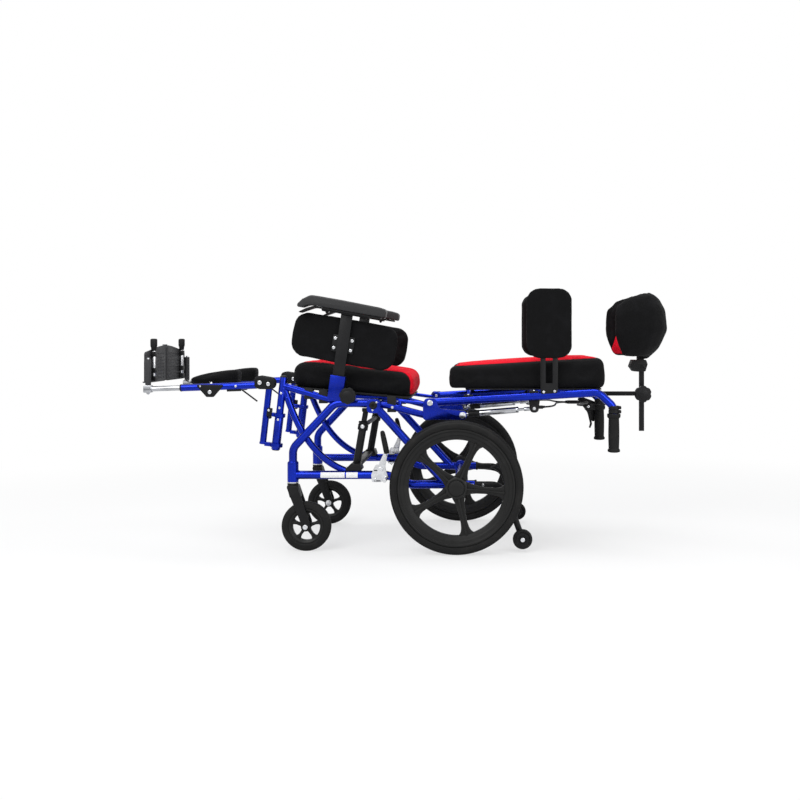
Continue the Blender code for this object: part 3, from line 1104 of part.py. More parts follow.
def back_cushion():
    """The back cushion in two pieces: the firm body, and the soft roll at its lower end."""
    start, end = BACK_CUSHION_START, BACK_CUSHION_END
    taper = (BACK_CUSHION_THICK / BACK_CUSHION_THIN - 1) / (end - start)
    bottom = PIVOT[1] + BACK_CUSHION_RISE

    def thicker(co):
        """Thickens the cushion towards the head end."""
        return Vector((co.x, co.y, co.z * (1 + taper * (co.x + (end - start) / 2))))

    place = Matrix.Translation((PIVOT[0] + (start + end) / 2, 0, bottom))
    body = crowned(end - start, 2 * BACK_CUSHION_HALF_WIDTH, BACK_CUSHION_THIN, 0.030, 0.018, 0.008, place,
                   drawn=0.003, shape=thicker)
    finished(body, "back_cushion", BLACK_FABRIC, (PIVOT[0], 0, PIVOT[1]))
    roll_end = start - GAP
    roll_place = Matrix.Translation((PIVOT[0] + roll_end - BACK_ROLL_LENGTH / 2, 0, bottom))
    roll = crowned(BACK_ROLL_LENGTH, 2 * BACK_CUSHION_HALF_WIDTH, BACK_CUSHION_THIN - 0.002, 0.020, 0.016, 0.004,
                   roll_place)
    finished(roll, "back_cushion_roll", BLACK_FABRIC, (PIVOT[0], 0, PIVOT[1]))
    return [body, roll]


def trunk_support(side):
    """A slotted bracket that clamps on the back tube, and the trunk pad bolted to it."""
    label = side_name(side)
    x, tube_z = back_tube_point(TRUNK_X)
    half = TRUNK_BRACKET_WIDTH / 2
    low = BACK_Y + 0.007
    high = low + TRUNK_BRACKET_THICKNESS
    foot = tube_z + TUBE_RADIUS - 0.004
    top = foot + TRUNK_BRACKET_HEIGHT
    upright = slab(rounded_outline([(x - half, foot), (x + half, foot), (x + half, top), (x - half, top)], 0.008, 2),
                   *sorted((side * low, side * high)))
    shoe = block((x - half + 0.002, min(side * (BACK_Y - TRUNK_SHOE_REACH), side * high), tube_z),
                 (x + half - 0.002, max(side * (BACK_Y - TRUNK_SHOE_REACH), side * high), tube_z + TUBE_RADIUS + 0.006))
    slot_half = TRUNK_SLOT_WIDTH / 2
    slot = slab([(x - slot_half, foot + 0.030), (x + slot_half, foot + 0.030), (x + slot_half, top - 0.012),
                 (x - slot_half, top - 0.012)], *sorted((side * (low - 0.002), side * (high + 0.002))))
    near, far = back_tube_point(TRUNK_X - 0.06), back_tube_point(TRUNK_X + 0.06)
    seat = rod((near[0], side * BACK_Y, near[1]), (far[0], side * BACK_Y, far[1]), bore(TUBE_RADIUS, 16), sides=16)
    bracket = finished(weld([upright, shoe], [slot, seat]), f"{label}_trunk_bracket", BLACK_METAL, (x, side * low, foot))
    pad_low = PIVOT[1] + TRUNK_PAD_RISE
    middle = pad_low + TRUNK_PAD_HEIGHT / 2
    stud_z = pad_low + 0.014
    inward = Matrix(((1, 0, 0, 0), (0, 0, -side, 0), (0, 1, 0, 0), (0, 0, 0, 1)))
    pad = crowned(TRUNK_PAD_LENGTH, TRUNK_PAD_HEIGHT, TRUNK_PAD_THICKNESS, 0.034, 0.010, 0.005,
                  Matrix.Translation((x, side * (low - GAP), middle)) @ inward, drawn=0.001)
    stud = rod((x, side * (low - 0.012), stud_z), (x, side * (high + 0.004), stud_z), TRUNK_STUD_RADIUS)
    # Flap of the cover outside the bracket, held by the same stud
    flap = crowned(TRUNK_PAD_LENGTH, TRUNK_PAD_HEIGHT, TRUNK_COVER_THICKNESS, 0.034, 0.002, 0.001,
                   Matrix.Translation((x, side * (high + GAP + TRUNK_COVER_THICKNESS), middle)) @ inward)
    pad = finished(weld([pad, stud, flap]), f"{label}_trunk_pad", BLACK_FABRIC, (x, side * low, stud_z))
    return bracket, pad


def gas_spring(side):
    """A lockable gas spring: its body on the frame's pin, and its rod with the rear eye."""
    label = side_name(side)
    y = side * SPRING_Y
    front, rear, along = spring_line()
    point = lambda distance: Vector((front.x + along.x * distance, y, front.y + along.y * distance))
    half = SPRING_EYE_WIDTH / 2
    length = (rear - front).length
    body = weld([
        rod((front.x, y - half, front.y), (front.x, y + half, front.y), SPRING_EYE_RADIUS),
        rod(point(0.006), point(0.022), 0.006),
        rod(point(0.014), point(0.052), SPRING_RADIUS),
        rod(point(0.048), point(0.014 + SPRING_BODY_LENGTH), SPRING_RADIUS - 0.001),
    ], [rod((front.x, y - half - 0.001, front.y), (front.x, y + half + 0.001, front.y), bore(SPRING_PIN_RADIUS)),
        rod(point(0.022), point(0.016 + SPRING_BODY_LENGTH), bore(SPRING_ROD_RADIUS))])
    body = finished(body, f"{label}_gas_spring_body", STEEL, (front.x, y, front.y))
    stem = weld([
        rod(point(0.024), point(length - 0.004), SPRING_ROD_RADIUS),
        rod((rear.x, y - half, rear.y), (rear.x, y + half, rear.y), SPRING_EYE_RADIUS),
    ])
    stem = finished(stem, f"{label}_gas_spring_rod", STEEL, point(0.024))
    turn = hang(f"{label}_gas_spring_axis", (front.x, y, front.y), [body])
    hang(f"{label}_gas_spring_slide", point(0.024), [stem], turn)


def handle_grip(side):
    """A push handle's rubber grip; the right one has the perch of the recline lever."""
    y = side * BACK_Y
    bend_x, bend_z = back_tube_point(BACK_LENGTH)
    x = bend_x + HANDLE_X
    tube_end = bend_z - HANDLE_DROP
    foot = tube_end - 0.006
    top = foot + GRIP_LENGTH
    solids = [rod((x, y, foot), (x, y, top), GRIP_RADIUS, sides=12),
              rod((x, y, foot), (x, y, foot + 0.005), GRIP_RADIUS + 0.0025, sides=12),
              rod((x, y, top - 0.014), (x, y, top), GRIP_RADIUS + 0.0035, sides=12)]
    cuts = [rod((x, y, tube_end - GAP), (x, y, top + 0.05), bore(TUBE_RADIUS, 10), sides=10)]
    if side > 0:
        solids.append(block((x - 0.050, y - 0.012, top - 0.016), (x - 0.016, y + 0.012, top + 0.006)))
        cuts.append(block((x - 0.060, y - 0.005, top - 0.030), (x - 0.026, y + 0.005, top + 0.020)))
        solids.append(rod((x - 0.040, y - 0.010, top - 0.003), (x - 0.040, y + 0.010, top - 0.003), 0.003))
    grip = weld(solids[:3], cuts) if side < 0 else weld([weld(solids[:4], cuts), solids[4]])
    return finished(grip, f"{side_name(side)}_handle_grip", BLACK_RUBBER, (x, y, top))


def recline_lever():
    """The hand lever beside the right grip that releases both gas springs."""
    y = BACK_Y
    bend_x, bend_z = back_tube_point(BACK_LENGTH)
    x = bend_x + HANDLE_X - 0.040
    top = bend_z - HANDLE_DROP - 0.006 + GRIP_LENGTH - 0.003
    half = 0.005 - GAP - 0.0002
    outline = [(x - 0.007, top - 0.007), (x - 0.007, top + 0.006), (x + 0.006, top + 0.008), (x + 0.008, top - 0.004),
               (x + 0.009, top - 0.030), (x + 0.014, top - 0.062), (x + 0.008, top - 0.076), (x + 0.004, top - 0.074),
               (x + 0.008, top - 0.060), (x + 0.001, top - 0.030)]
    hole = rod((x, y - 0.02, top), (x, y + 0.02, top), bore(0.003))
    lever = weld([slab(outline, y - half, y + half)], [hole])
    return finished(lever, "recline_lever", BLACK_METAL, (x, y, top))


def recline_cable():
    """The Y-shaped cable from the lever to the release heads of both gas springs."""
    _, rear, _ = spring_line()
    bend_x, bend_z = back_tube_point(BACK_LENGTH)
    lever = (bend_x + HANDLE_X - 0.050 - GAP, BACK_Y, bend_z - HANDLE_DROP - 0.006 + GRIP_LENGTH)
    split = (rear.x + 0.140, 0.040, rear.y + 0.006)
    solids = [block((split[0] - 0.020, split[1] - 0.014, split[2] - 0.005), (split[0] + 0.020, split[1] + 0.014, split[2] + 0.005))]
    solids.append(tube([(split[0] + 0.015, split[1], split[2]), (split[0] + 0.045, split[1] + 0.03, split[2] - 0.002),
                        (lever[0] - 0.025, lever[1], lever[2]), lever], 0.0030, bend=0.02, resolution=CABLE_RESOLUTION))
    for side in (-1, 1):
        head = Vector((rear.x + 0.0225, side * (SPRING_Y - 0.002), rear.y + 0.004))
        solids.append(tube([head, head + Vector((0.030, 0, 0.004)),
                            (split[0] - 0.050, split[1] + side * 0.012, split[2] + 0.001),
                            (split[0] - 0.015, split[1] + side * 0.006, split[2])], 0.0028, bend=0.02,
                           resolution=CABLE_RESOLUTION))
        solids.append(block((head.x - 0.008, min(head.y, side * (SPRING_Y + 0.0065)) - 0.003, head.z - 0.004),
                            (head.x + 0.004, max(head.y, side * (SPRING_Y + 0.0065)), head.z + 0.004)))
    return finished(weld(solids), "recline_cable", BLACK_RUBBER, (PIVOT[0], 0, PIVOT[1]))


def headrest():
    """The headrest's sliding bar and stem with their knob, the tilting block and the bowl."""
    bar_z = PIVOT[1] + HEADREST_BAR_RISE
    clamp_x = PIVOT[0] + HEADREST_CLAMP_X
    start_x = PIVOT[0] + HEADREST_BAR_X - 0.095
    half = HEADREST_BAR_HEIGHT / 2
    stem_w, stem_t = HEADREST_STEM_WIDTH / 2, HEADREST_STEM_THICKNESS / 2
    box = block((clamp_x - 0.015, -0.013, bar_z - 0.017), (clamp_x + 0.015, 0.013, bar_z + 0.017))
    bar = weld([block((start_x, -half, bar_z - half), (clamp_x - 0.010, half, bar_z + half)), box,
                rod((clamp_x, 0.010, bar_z), (clamp_x, -0.023, bar_z), 0.004)],
               [block((clamp_x - stem_w - GAP, -stem_t - GAP, bar_z - 0.03), (clamp_x + stem_w + GAP, stem_t + GAP, bar_z + 0.03))])
    bar = finished(bar, "headrest_bar", BLACK_METAL, (clamp_x, 0, bar_z))
    knob_place = Matrix.Translation((clamp_x, -0.013 - 0.001, bar_z)) @ Matrix(
        ((1, 0, 0, 0), (0, 0, -1, 0), (0, 1, 0, 0), (0, 0, 0, 1)))
    knob = ribbed_knob(HEADREST_KNOB_RADIUS, 0.022, 0.004, 0.012, knob_place)
    knob = finished(knob, "headrest_knob", BLACK_PLASTIC, knob_place.translation)
    stem_top = bar_z + HEADREST_STEM_UP
    block_z = stem_top + 0.022
    stem = weld([block((clamp_x - stem_w, -stem_t, bar_z - HEADREST_STEM_DOWN), (clamp_x + stem_w, stem_t, stem_top)),
                 rod((clamp_x, -stem_t, block_z - 0.004), (clamp_x, stem_t, block_z - 0.004), 0.012),
                 block((clamp_x - stem_w, -stem_t, stem_top - 0.010), (clamp_x + stem_w, stem_t, block_z - 0.004)),
                 rod((clamp_x, -0.019, block_z - 0.004), (clamp_x, 0.019, block_z - 0.004), 0.0045)])
    stem = finished(stem, "headrest_stem", BLACK_METAL, (clamp_x, 0, bar_z))
    pin = (clamp_x, 0, block_z - 0.004)
    wide = HEADREST_BLOCK_WIDTH / 2
    plate_z = block_z + 0.012
    cheeks = [block((clamp_x - 0.014, min(s * (stem_t + GAP), s * (stem_t + 0.008)), block_z - 0.016),
                    (clamp_x + 0.014, max(s * (stem_t + GAP), s * (stem_t + 0.008)), plate_z + 0.002)) for s in (-1, 1)]
    holder = weld([block((clamp_x - wide, -0.024, plate_z), (clamp_x + wide, 0.024, plate_z + 0.008))] + cheeks,
                  [rod((clamp_x, -0.03, pin[2]), (clamp_x, 0.03, pin[2]), bore(0.0045))])
    holder = finished(holder, "headrest_block", BLACK_PLASTIC, pin)
    bowl = finished(headrest_bowl(clamp_x, plate_z + 0.008 + GAP), "headrest_pad", BLACK_FABRIC, pin)
    slide = hang("headrest_slide", (clamp_x, 0, bar_z), [bar])
    hang("headrest_knob_axis", knob_place.translation, [knob], slide)
    lift = hang("headrest_stem_slide", (clamp_x, 0, bar_z), [stem], slide)
    hang("headrest_tilt_axis", pin, [holder, bowl], lift)
    return slide


def headrest_bowl(x, foot):
    """The winged headrest pad: a curved band swept round a U that opens towards the seat."""
    bm = bmesh.new()
    levels = ((-0.94, 0.42), (-0.66, 0.86), (-0.10, 1.0), (0.50, 0.94), (0.86, 0.58))
    wall_x = x + HEADREST_DEPTH - HEADREST_REACH
    loops = []
    for number in range(HEADREST_SECTIONS):
        t = -1 + 2 * number / (HEADREST_SECTIONS - 1)
        wing = abs(t) ** 2
        angle = t * math.radians(104)
        outward = Vector((math.cos(angle), math.sin(angle), 0))
        low = foot + 0.004 + 0.006 * wing
        high = foot + HEADREST_HEIGHT * (0.90 + 0.10 * math.sin(math.pi * min(1.0, abs(t) * 1.25)))
        if abs(t) > 0.99:
            low, high = low + 0.020, high - 0.030
        middle, reach = (low + high) / 2, (high - low) / 2
        thick = HEADREST_PAD / 2 * (0.45 if abs(t) > 0.99 else 1.0)

        def spot(level, offset):
            """A point of the section: its height, and its way out from the band's middle."""
            bulge = -0.050 * max(0.0, -level) ** 1.6 - 0.026 * max(0.0, level) ** 2
            span = HEADREST_DEPTH - HEADREST_PAD + bulge * 0.6
            place = Vector((wall_x - HEADREST_PAD / 2 - span * (1 - math.cos(angle)) / 1.242,
                            (HEADREST_HALF_WIDTH - HEADREST_PAD / 2 + bulge * 0.45) * math.sin(angle), 0))
            place += outward * offset + Vector((bulge * (1 - 0.6 * wing), 0, 0))
            return bm.verts.new((place.x, place.y, middle + reach * level))

        ring = [spot(level, share * thick) for level, share in levels]
        ring.append(spot(1, 0))
        ring += [spot(level, -share * thick) for level, share in reversed(levels)]
        ring.append(spot(-1, 0))
        loops.append(ring)
    for ring, after in zip(loops, loops[1:]):
        for index in range(len(ring)):
            following = (index + 1) % len(ring)
            bm.faces.new((ring[index], ring[following], after[following], after[index]))
    bm.faces.new(loops[0])
    bm.faces.new(list(reversed(loops[-1])))
    band = object_of("band", bm)
    boss = block((x - 0.012, -0.018, foot), (x + 0.022, 0.018, foot + 0.022))
    return weld([band, boss])


def main():
    for obj in list(bpy.data.objects):
        bpy.data.objects.remove(obj)
    for side in (-1, 1):
        side_frame(side)
        caster(side)
        rear_wheel(side)
        brake(side)
        anti_tipper(side)
        armrest(side)
        legrest(side)
    rear_cross_tube()
    seat_struts()
    seat_board()
    seat_cushion()
    back = [back_frame(), recline_lever(), recline_cable()] + back_cushion()
    for side in (-1, 1):
        back.extend(trunk_support(side))
        back.append(handle_grip(side))
    recline = hang("recline_axis", (PIVOT[0], 0, PIVOT[1]), back)
    for side in (-1, 1):
        gas_spring(side)
    slide = headrest()
    slide.parent = recline
    slide.matrix_parent_inverse = recline.matrix_world.inverted()


main()
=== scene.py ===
"""Looks of the positioning wheelchair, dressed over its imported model.

The chair faces -X, its left side is -Y and Z is up, in metres. It is shown at rest, with the back
laid flat and the legrests raised.
"""
import json
import logging
import math
from dataclasses import dataclass
from enum import Enum
from typing import Dict, Iterable, List, Optional, Sequence, Tuple, Union

import bmesh
import bpy
from mathutils import Matrix, Vector, noise

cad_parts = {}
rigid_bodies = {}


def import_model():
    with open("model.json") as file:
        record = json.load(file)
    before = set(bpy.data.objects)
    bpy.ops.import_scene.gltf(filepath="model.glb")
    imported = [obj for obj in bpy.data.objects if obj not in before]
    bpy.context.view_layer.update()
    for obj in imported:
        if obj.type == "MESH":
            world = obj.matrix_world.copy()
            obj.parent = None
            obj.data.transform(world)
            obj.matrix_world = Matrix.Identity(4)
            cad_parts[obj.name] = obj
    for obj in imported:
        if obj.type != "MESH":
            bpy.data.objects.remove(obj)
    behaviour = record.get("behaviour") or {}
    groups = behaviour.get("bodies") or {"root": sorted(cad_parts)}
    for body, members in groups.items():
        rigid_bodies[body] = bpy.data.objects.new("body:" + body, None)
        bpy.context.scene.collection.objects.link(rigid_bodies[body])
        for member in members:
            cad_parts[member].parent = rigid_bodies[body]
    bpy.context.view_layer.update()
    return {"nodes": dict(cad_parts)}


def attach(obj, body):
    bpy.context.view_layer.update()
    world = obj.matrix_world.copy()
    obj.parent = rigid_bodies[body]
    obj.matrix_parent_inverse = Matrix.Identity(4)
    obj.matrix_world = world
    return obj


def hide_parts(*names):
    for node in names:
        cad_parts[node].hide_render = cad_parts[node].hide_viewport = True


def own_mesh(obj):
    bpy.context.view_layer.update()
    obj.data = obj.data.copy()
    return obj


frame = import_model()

LOG = logging.getLogger("wheelchair")
Place = Union[Vector, Tuple[float, float, float]]

IDENTITY = Matrix.Identity(4)
# A shape drawn in X and Z and given its depth along Y
SIDE_VIEW = Matrix(((1, 0, 0, 0), (0, 0, 1, 0), (0, 1, 0, 0), (0, 0, 0, 1)))

# Places that the sub-assemblies share
PIVOT_X, PIVOT_Z = 0.063, 0.4545
HALF_WIDTH = 0.205            # the side frames' middle planes
INNER_Y = 0.1825              # seat rails
HINGE_Y = 0.1915              # inner faces of the hinge plates
BACK_Y = 0.1787               # back tubes
SPRING_Y = 0.1602             # gas springs
RAIL_Z = 0.2333               # lower rails
AXLE_X, AXLE_Z = 0.147, 0.203
WHEEL_Y = 0.257
CASTER_X = -0.359
HOUSING_FOOT = 0.2093
HOUSING_HEIGHT = 0.065
SHOULDER_X = -0.229
REAR_BEND_X = -0.114
POST_X = -0.3955
POST_RAKE = 0.112
BACK_RISE = 3.4
BACK_LENGTH = 0.523
HANDLE_X = 0.048
HANDLE_DROP = 0.180
GAP = 0.0003                  # what parts that touch are kept apart by
POST_SLOPE = Vector((POST_RAKE, 0, 1)).normalized()
POST_AHEAD = Vector((-POST_SLOPE.z, 0, POST_SLOPE.x))
SPRING_FRONT_X, SPRING_FRONT_Z = PIVOT_X + 0.101, PIVOT_Z - 0.0385
SPRING_REAR_X, SPRING_REAR_Z = PIVOT_X + 0.324, PIVOT_Z - 0.0195
RIBS = (0.118, 0.322)         # the back frame's ribs, from the recline pivot
HEAD_RIB = BACK_LENGTH - 0.020
CLOTH_FRAMES = 20
BEAD = 0.0016                 # radius of a weld
SHARP_FROM = 30.0             # degrees at an edge from which it is drawn sharp


class Side(Enum):
    """One side of the chair, as the person in it sees it."""

    LEFT = -1
    RIGHT = 1

    def y(self, distance: float) -> float:
        """Y at a distance outwards from the chair's middle plane."""
        return self.value * distance

    def name(self, piece: str) -> str:
        """The name of a piece on this side."""
        return f"{self.name_word}_{piece}"

    @property
    def name_word(self) -> str:
        """'left' or 'right'."""
        return "left" if self is Side.LEFT else "right"

    @property
    def out(self) -> Tuple[int, int, int]:
        """The direction away from the chair's middle."""
        return 0, self.value, 0

    @property
    def outward(self) -> Matrix:
        """Axes for a shape drawn in X and Z and given its depth away from the chair."""
        return Matrix(((1, 0, 0, 0), (0, 0, self.value, 0), (0, 1, 0, 0), (0, 0, 0, 1)))

    @property
    def inward(self) -> Matrix:
        """Axes for a shape drawn in X and Z and given its depth towards the chair's middle."""
        return Matrix(((1, 0, 0, 0), (0, 0, -self.value, 0), (0, 1, 0, 0), (0, 0, 0, 1)))


def turn_to(axis: Place) -> Matrix:
    """The turn that takes local Z to an axis."""
    return Vector(axis).to_track_quat("Z", "Y").to_matrix().to_4x4()


def tilted(place: Place, degrees: float) -> Matrix:
    """Axes at a place, leaned back by some degrees in the side view."""
    return Matrix.Translation(place) @ Matrix.Rotation(math.radians(degrees), 4, "Y")


def back_tube(along: float) -> Tuple[float, float]:
    """X and Z of a back tube's axis at a distance in X from the recline pivot."""
    return PIVOT_X + along, PIVOT_Z + along * math.tan(math.radians(BACK_RISE))


def post_point(side: Side, rise: float) -> Vector:
    """The point of a raked front post's axis at a height over the upper rail."""
    return Vector((POST_X + POST_RAKE * (rise - 0.0525), side.y(INNER_Y), PIVOT_Z + rise))


def inner_rail(side: Side) -> List[Vector]:
    """The corners of a seat rail's centre line."""
    y = side.y(INNER_Y)
    return [Vector(p)
        for p in ((POST_X, y, 0.507), (-0.2165, y, 0.454), (-0.074, y, 0.4465), (0.059, y, 0.4125))]


def arm_frame(side: Side) -> Matrix:
    """Axes of an armrest: X across the post, Z up along it, at the socket's middle."""
    return tilted((-0.2244, side.y(HALF_WIDTH), 0.5), 8.0)


class Wire:
    """A value in a material that takes part in sums as a number does."""

    def __init__(self, graph: "Graph", socket: bpy.types.NodeSocket) -> None:
        """Wraps a socket of a material's graph."""
        self.graph = graph
        self.socket = socket

    def maths(self, operation: str, first: "Value", second: "Value" = 0.0) -> "Wire":
        """One step of arithmetic."""
        return self.graph.wire("ShaderNodeMath", {"operation": operation}, {0: first, 1: second})

    def __add__(self, other: "Value") -> "Wire":
        """Sum."""
        return self.maths("ADD", self, other)

    def __radd__(self, other: "Value") -> "Wire":
        """Sum."""
        return self.maths("ADD", other, self)

    def __sub__(self, other: "Value") -> "Wire":
        """Difference."""
        return self.maths("SUBTRACT", self, other)

    def __rsub__(self, other: "Value") -> "Wire":
        """Difference."""
        return self.maths("SUBTRACT", other, self)

    def __mul__(self, other: "Value") -> "Wire":
        """Product."""
        return self.maths("MULTIPLY", self, other)

    def __rmul__(self, other: "Value") -> "Wire":
        """Product."""
        return self.maths("MULTIPLY", other, self)

    def __pow__(self, other: "Value") -> "Wire":
        """Power."""
        return self.maths("POWER", self, other)

    def __abs__(self) -> "Wire":
        """Size without sign."""
        return self.maths("ABSOLUTE", self)

    def sine(self) -> "Wire":
        """Sine."""
        return self.maths("SINE", self)

    def ramp(self, low: float, high: float, start: float = 0.0, end: float = 1.0) -> "Wire":
        """Eases from start to end as the value goes from low to high."""
        return self.graph.wire("ShaderNodeMapRange", {"interpolation_type": "SMOOTHSTEP"},
            {"Value": self, "From Min": low, "From Max": high, "To Min": start, "To Max": end})


Value = Union[Wire, float]
Colour = Tuple[float, float, float]


class Graph:
    """The nodes of one material, ending in a Principled shader."""

    def __init__(self, name: str) -> None:
        """Makes a material whose graph holds its shader and output."""
        self.material = bpy.data.materials.new(name)
        self.material.use_nodes = True
        self.tree = self.material.node_tree
        self.tree.nodes.clear()
        self.output = self.node("ShaderNodeOutputMaterial")
        self.shader = self.node("ShaderNodeBsdfPrincipled")
        self.tree.links.new(self.shader.outputs[0], self.output.inputs[0])
        self.place = self.wire("ShaderNodeTexCoord", output="Object")

    def feed(self, socket: bpy.types.NodeSocket, value: Union[Value, Sequence[float]]) -> None:
        """Links a wire to a socket, or sets the socket's own value."""
        if isinstance(value, Wire):
            self.tree.links.new(value.socket, socket)
        else:
            socket.default_value = value

    def node(self, kind: str, settings: Optional[Dict[str, object]] = None,
            inputs: Optional[Dict[Union[int, str], object]] = None) -> bpy.types.Node:
        """Adds any node.

        Args:
            kind: The node's type.
            settings: Its properties, set before its inputs.
            inputs: Values or wires for its inputs.

        Returns:
            The node.
        """
        made = self.tree.nodes.new(kind)
        for name, value in (settings or {}).items():
            setattr(made, name, value)
        for key, value in (inputs or {}).items():
            self.feed(made.inputs[key], value)
        return made

    def wire(self, kind: str, settings: Optional[Dict[str, object]] = None,
            inputs: Optional[Dict[Union[int, str], object]] = None,
            output: Union[int, str] = 0) -> Wire:
        """Adds any node and wraps one of its outputs."""
        return Wire(self, self.node(kind, settings, inputs).outputs[output])

    def shade(self, **inputs: object) -> None:
        """Sets inputs of the shader, given by their names with underscores for spaces."""
        for name, value in inputs.items():
            self.feed(self.shader.inputs[name.replace("_", " ")], value)

    def noise(self, scale: float, detail: float = 3.0,
            stretch: Optional[Sequence[float]] = None) -> Wire:
        """Cloudy noise from 0 to 1 on the piece's own coordinates."""
        place = self.place
        if stretch:
            place = self.wire("ShaderNodeMapping", {"vector_type": "POINT"},
                {"Vector": place, "Scale": stretch})
        return self.wire("ShaderNodeTexNoise", None, {"Vector": place, "Scale": scale, "Detail": detail})

    def cells(self, scale: float) -> Wire:
        """Distance to the nearest of scattered points."""
        return self.wire("ShaderNodeTexVoronoi", None, {"Vector": self.place, "Scale": scale})

    def mix(self, share: Value, low: Union[Wire, Colour], high: Union[Wire, Colour]) -> Wire:
        """A colour between two others."""
        low = low if isinstance(low, Wire) else (*low, 1.0)
        high = high if isinstance(high, Wire) else (*high, 1.0)
        return self.wire("ShaderNodeMix", {"data_type": "RGBA"}, {0: share, 6: low, 7: high}, output=2)

    def parts(self, vector: Wire) -> Tuple[Wire, Wire, Wire]:
        """X, Y and Z of a vector."""
        split = self.node("ShaderNodeSeparateXYZ", None, {0: vector})
        return Wire(self, split.outputs[0]), Wire(self, split.outputs[1]), Wire(self, split.outputs[2])

    def axes(self) -> Tuple[Wire, Wire, Wire]:
        """X, Y and Z of the piece's own coordinates."""
        return self.parts(self.place)

    def facing(self) -> Tuple[Wire, Wire, Wire]:
        """How far the surface faces along X, Y and Z, without sign."""
        normal = self.wire("ShaderNodeTexCoord", output="Normal")
        x, y, z = self.parts(normal)
        return abs(x), abs(y), abs(z)

    def bump(self, height: Wire, depth: float, strength: float = 1.0) -> None:
        """Gives the surface relief: height in units of depth, in metres."""
        self.shade(Normal=self.wire("ShaderNodeBump", None,
            {"Height": height, "Distance": depth, "Strength": strength}))

    def edges(self) -> Wire:
        """0 on flat and hollow places, rising to 1 along rounded edges."""
        return self.wire("ShaderNodeNewGeometry", output="Pointiness").ramp(0.52, 0.60)


def mesh_of(bm: bmesh.types.BMesh, name: str) -> bpy.types.Mesh:
    """Turns a mesh under construction into a named mesh, and uses it up."""
    mesh = bpy.data.meshes.new(name)
    bm.to_mesh(mesh)
    bm.free()
    return mesh


def linked(name: str, data: bpy.types.ID) -> bpy.types.Object:
    """An object with this name and data, put into the scene."""
    obj = bpy.data.objects.new(name, data)
    bpy.context.scene.collection.objects.link(obj)
    return obj


READY: Dict[str, bpy.types.Material] = {}


@dataclass(frozen=True)
class Finish:
    """A finish, and the material slot of the record that it stands for."""

    name: str
    slot: str

    def material(self) -> bpy.types.Material:
        """The finish's material, made at its first use."""
        if self.name not in READY:
            READY[self.name] = self.made()
        return READY[self.name]

    def made(self) -> bpy.types.Material:
        """Makes the material."""
        raise NotImplementedError


@dataclass(frozen=True)
class Lacquer(Finish):
    """Clear-coated metallic lacquer."""

    colour: Colour = (0.004, 0.028, 0.48)
    deep: Colour = (0.002, 0.010, 0.22)
    metallic: float = 0.88
    coat: float = 0.14

    def made(self) -> bpy.types.Material:
        """Lacquer with fine flakes under its coat and a slight unevenness."""
        graph = Graph(self.name)
        flakes = graph.noise(2600.0, 1.0)
        clouds = graph.noise(9.0, 3.0)
        graph.shade(Base_Color=graph.mix((flakes * 0.7 + clouds * 0.3).ramp(0.35, 0.68), self.deep,
            self.colour), Metallic=flakes.ramp(0.3, 0.7, self.metallic - 0.1, self.metallic + 0.1),
            Roughness=graph.noise(60.0, 4.0).ramp(0.3, 0.8, 0.22, 0.34),
            Coat_Weight=clouds.ramp(0.2, 0.9, self.coat, self.coat - 0.1), Coat_Roughness=0.08)
        graph.bump(graph.noise(420.0, 2.0), 0.00006, 0.6)
        return graph.material


@dataclass(frozen=True)
class Powder(Finish):
    """Satin powder coat on steel parts."""

    colour: Colour = (0.0065, 0.0065, 0.007)
    worn: Colour = (0.012, 0.012, 0.013)

    def made(self) -> bpy.types.Material:
        """Powder coat with its fine orange peel, paler along its edges."""
        graph = Graph(self.name)
        dust = graph.noise(38.0, 5.0)
        graph.shade(Base_Color=graph.mix(graph.edges() * 0.6 + dust.ramp(0.55, 0.85, 0.0, 0.35),
            self.colour, self.worn), Roughness=dust.ramp(0.3, 0.8, 0.34, 0.50),
            Specular_IOR_Level=0.16)
        graph.bump(graph.cells(1500.0) + graph.noise(700.0, 2.0), 0.00008, 0.5)
        return graph.material


@dataclass(frozen=True)
class Steel(Finish):
    """Bright or brushed metal."""

    colour: Colour = (0.70, 0.71, 0.73)
    rough: Tuple[float, float] = (0.20, 0.34)
    grain: Tuple[float, float, float] = (1.0, 12.0, 12.0)

    def made(self) -> bpy.types.Material:
        """Metal with fine drawn lines and faint smudges."""
        graph = Graph(self.name)
        lines = graph.noise(260.0, 3.0, self.grain)
        smudge = graph.noise(30.0, 4.0)
        dark = tuple(0.80 * c for c in self.colour)
        graph.shade(Base_Color=graph.mix(smudge.ramp(0.4, 0.7), self.colour, dark), Metallic=1.0,
            Roughness=(lines * 0.5 + smudge * 0.5).ramp(0.3, 0.7, *self.rough))
        graph.bump(lines, 0.00003, 0.5)
        return graph.material


@dataclass(frozen=True)
class Moulded(Finish):
    """Moulded plastic with a fine spark grain."""

    colour: Colour = (0.0065, 0.0065, 0.007)
    pale: Colour = (0.012, 0.012, 0.013)
    rough: Tuple[float, float] = (0.42, 0.56)
    grain: float = 1300.0
    depth: float = 0.00010
    gloss: float = 0.18

    def made(self) -> bpy.types.Material:
        """Plastic with grain, handling shine and slightly scuffed edges."""
        graph = Graph(self.name)
        shine = graph.noise(24.0, 4.0)
        graph.shade(Base_Color=graph.mix(graph.edges() * 0.5 + shine.ramp(0.5, 0.9, 0.0, 0.4),
            self.colour, self.pale), Roughness=shine.ramp(0.3, 0.75, *self.rough),
            Specular_IOR_Level=self.gloss)
        graph.bump(graph.noise(self.grain, 2.0) + graph.cells(self.grain * 0.8) * 0.5, self.depth, 0.5)
        return graph.material


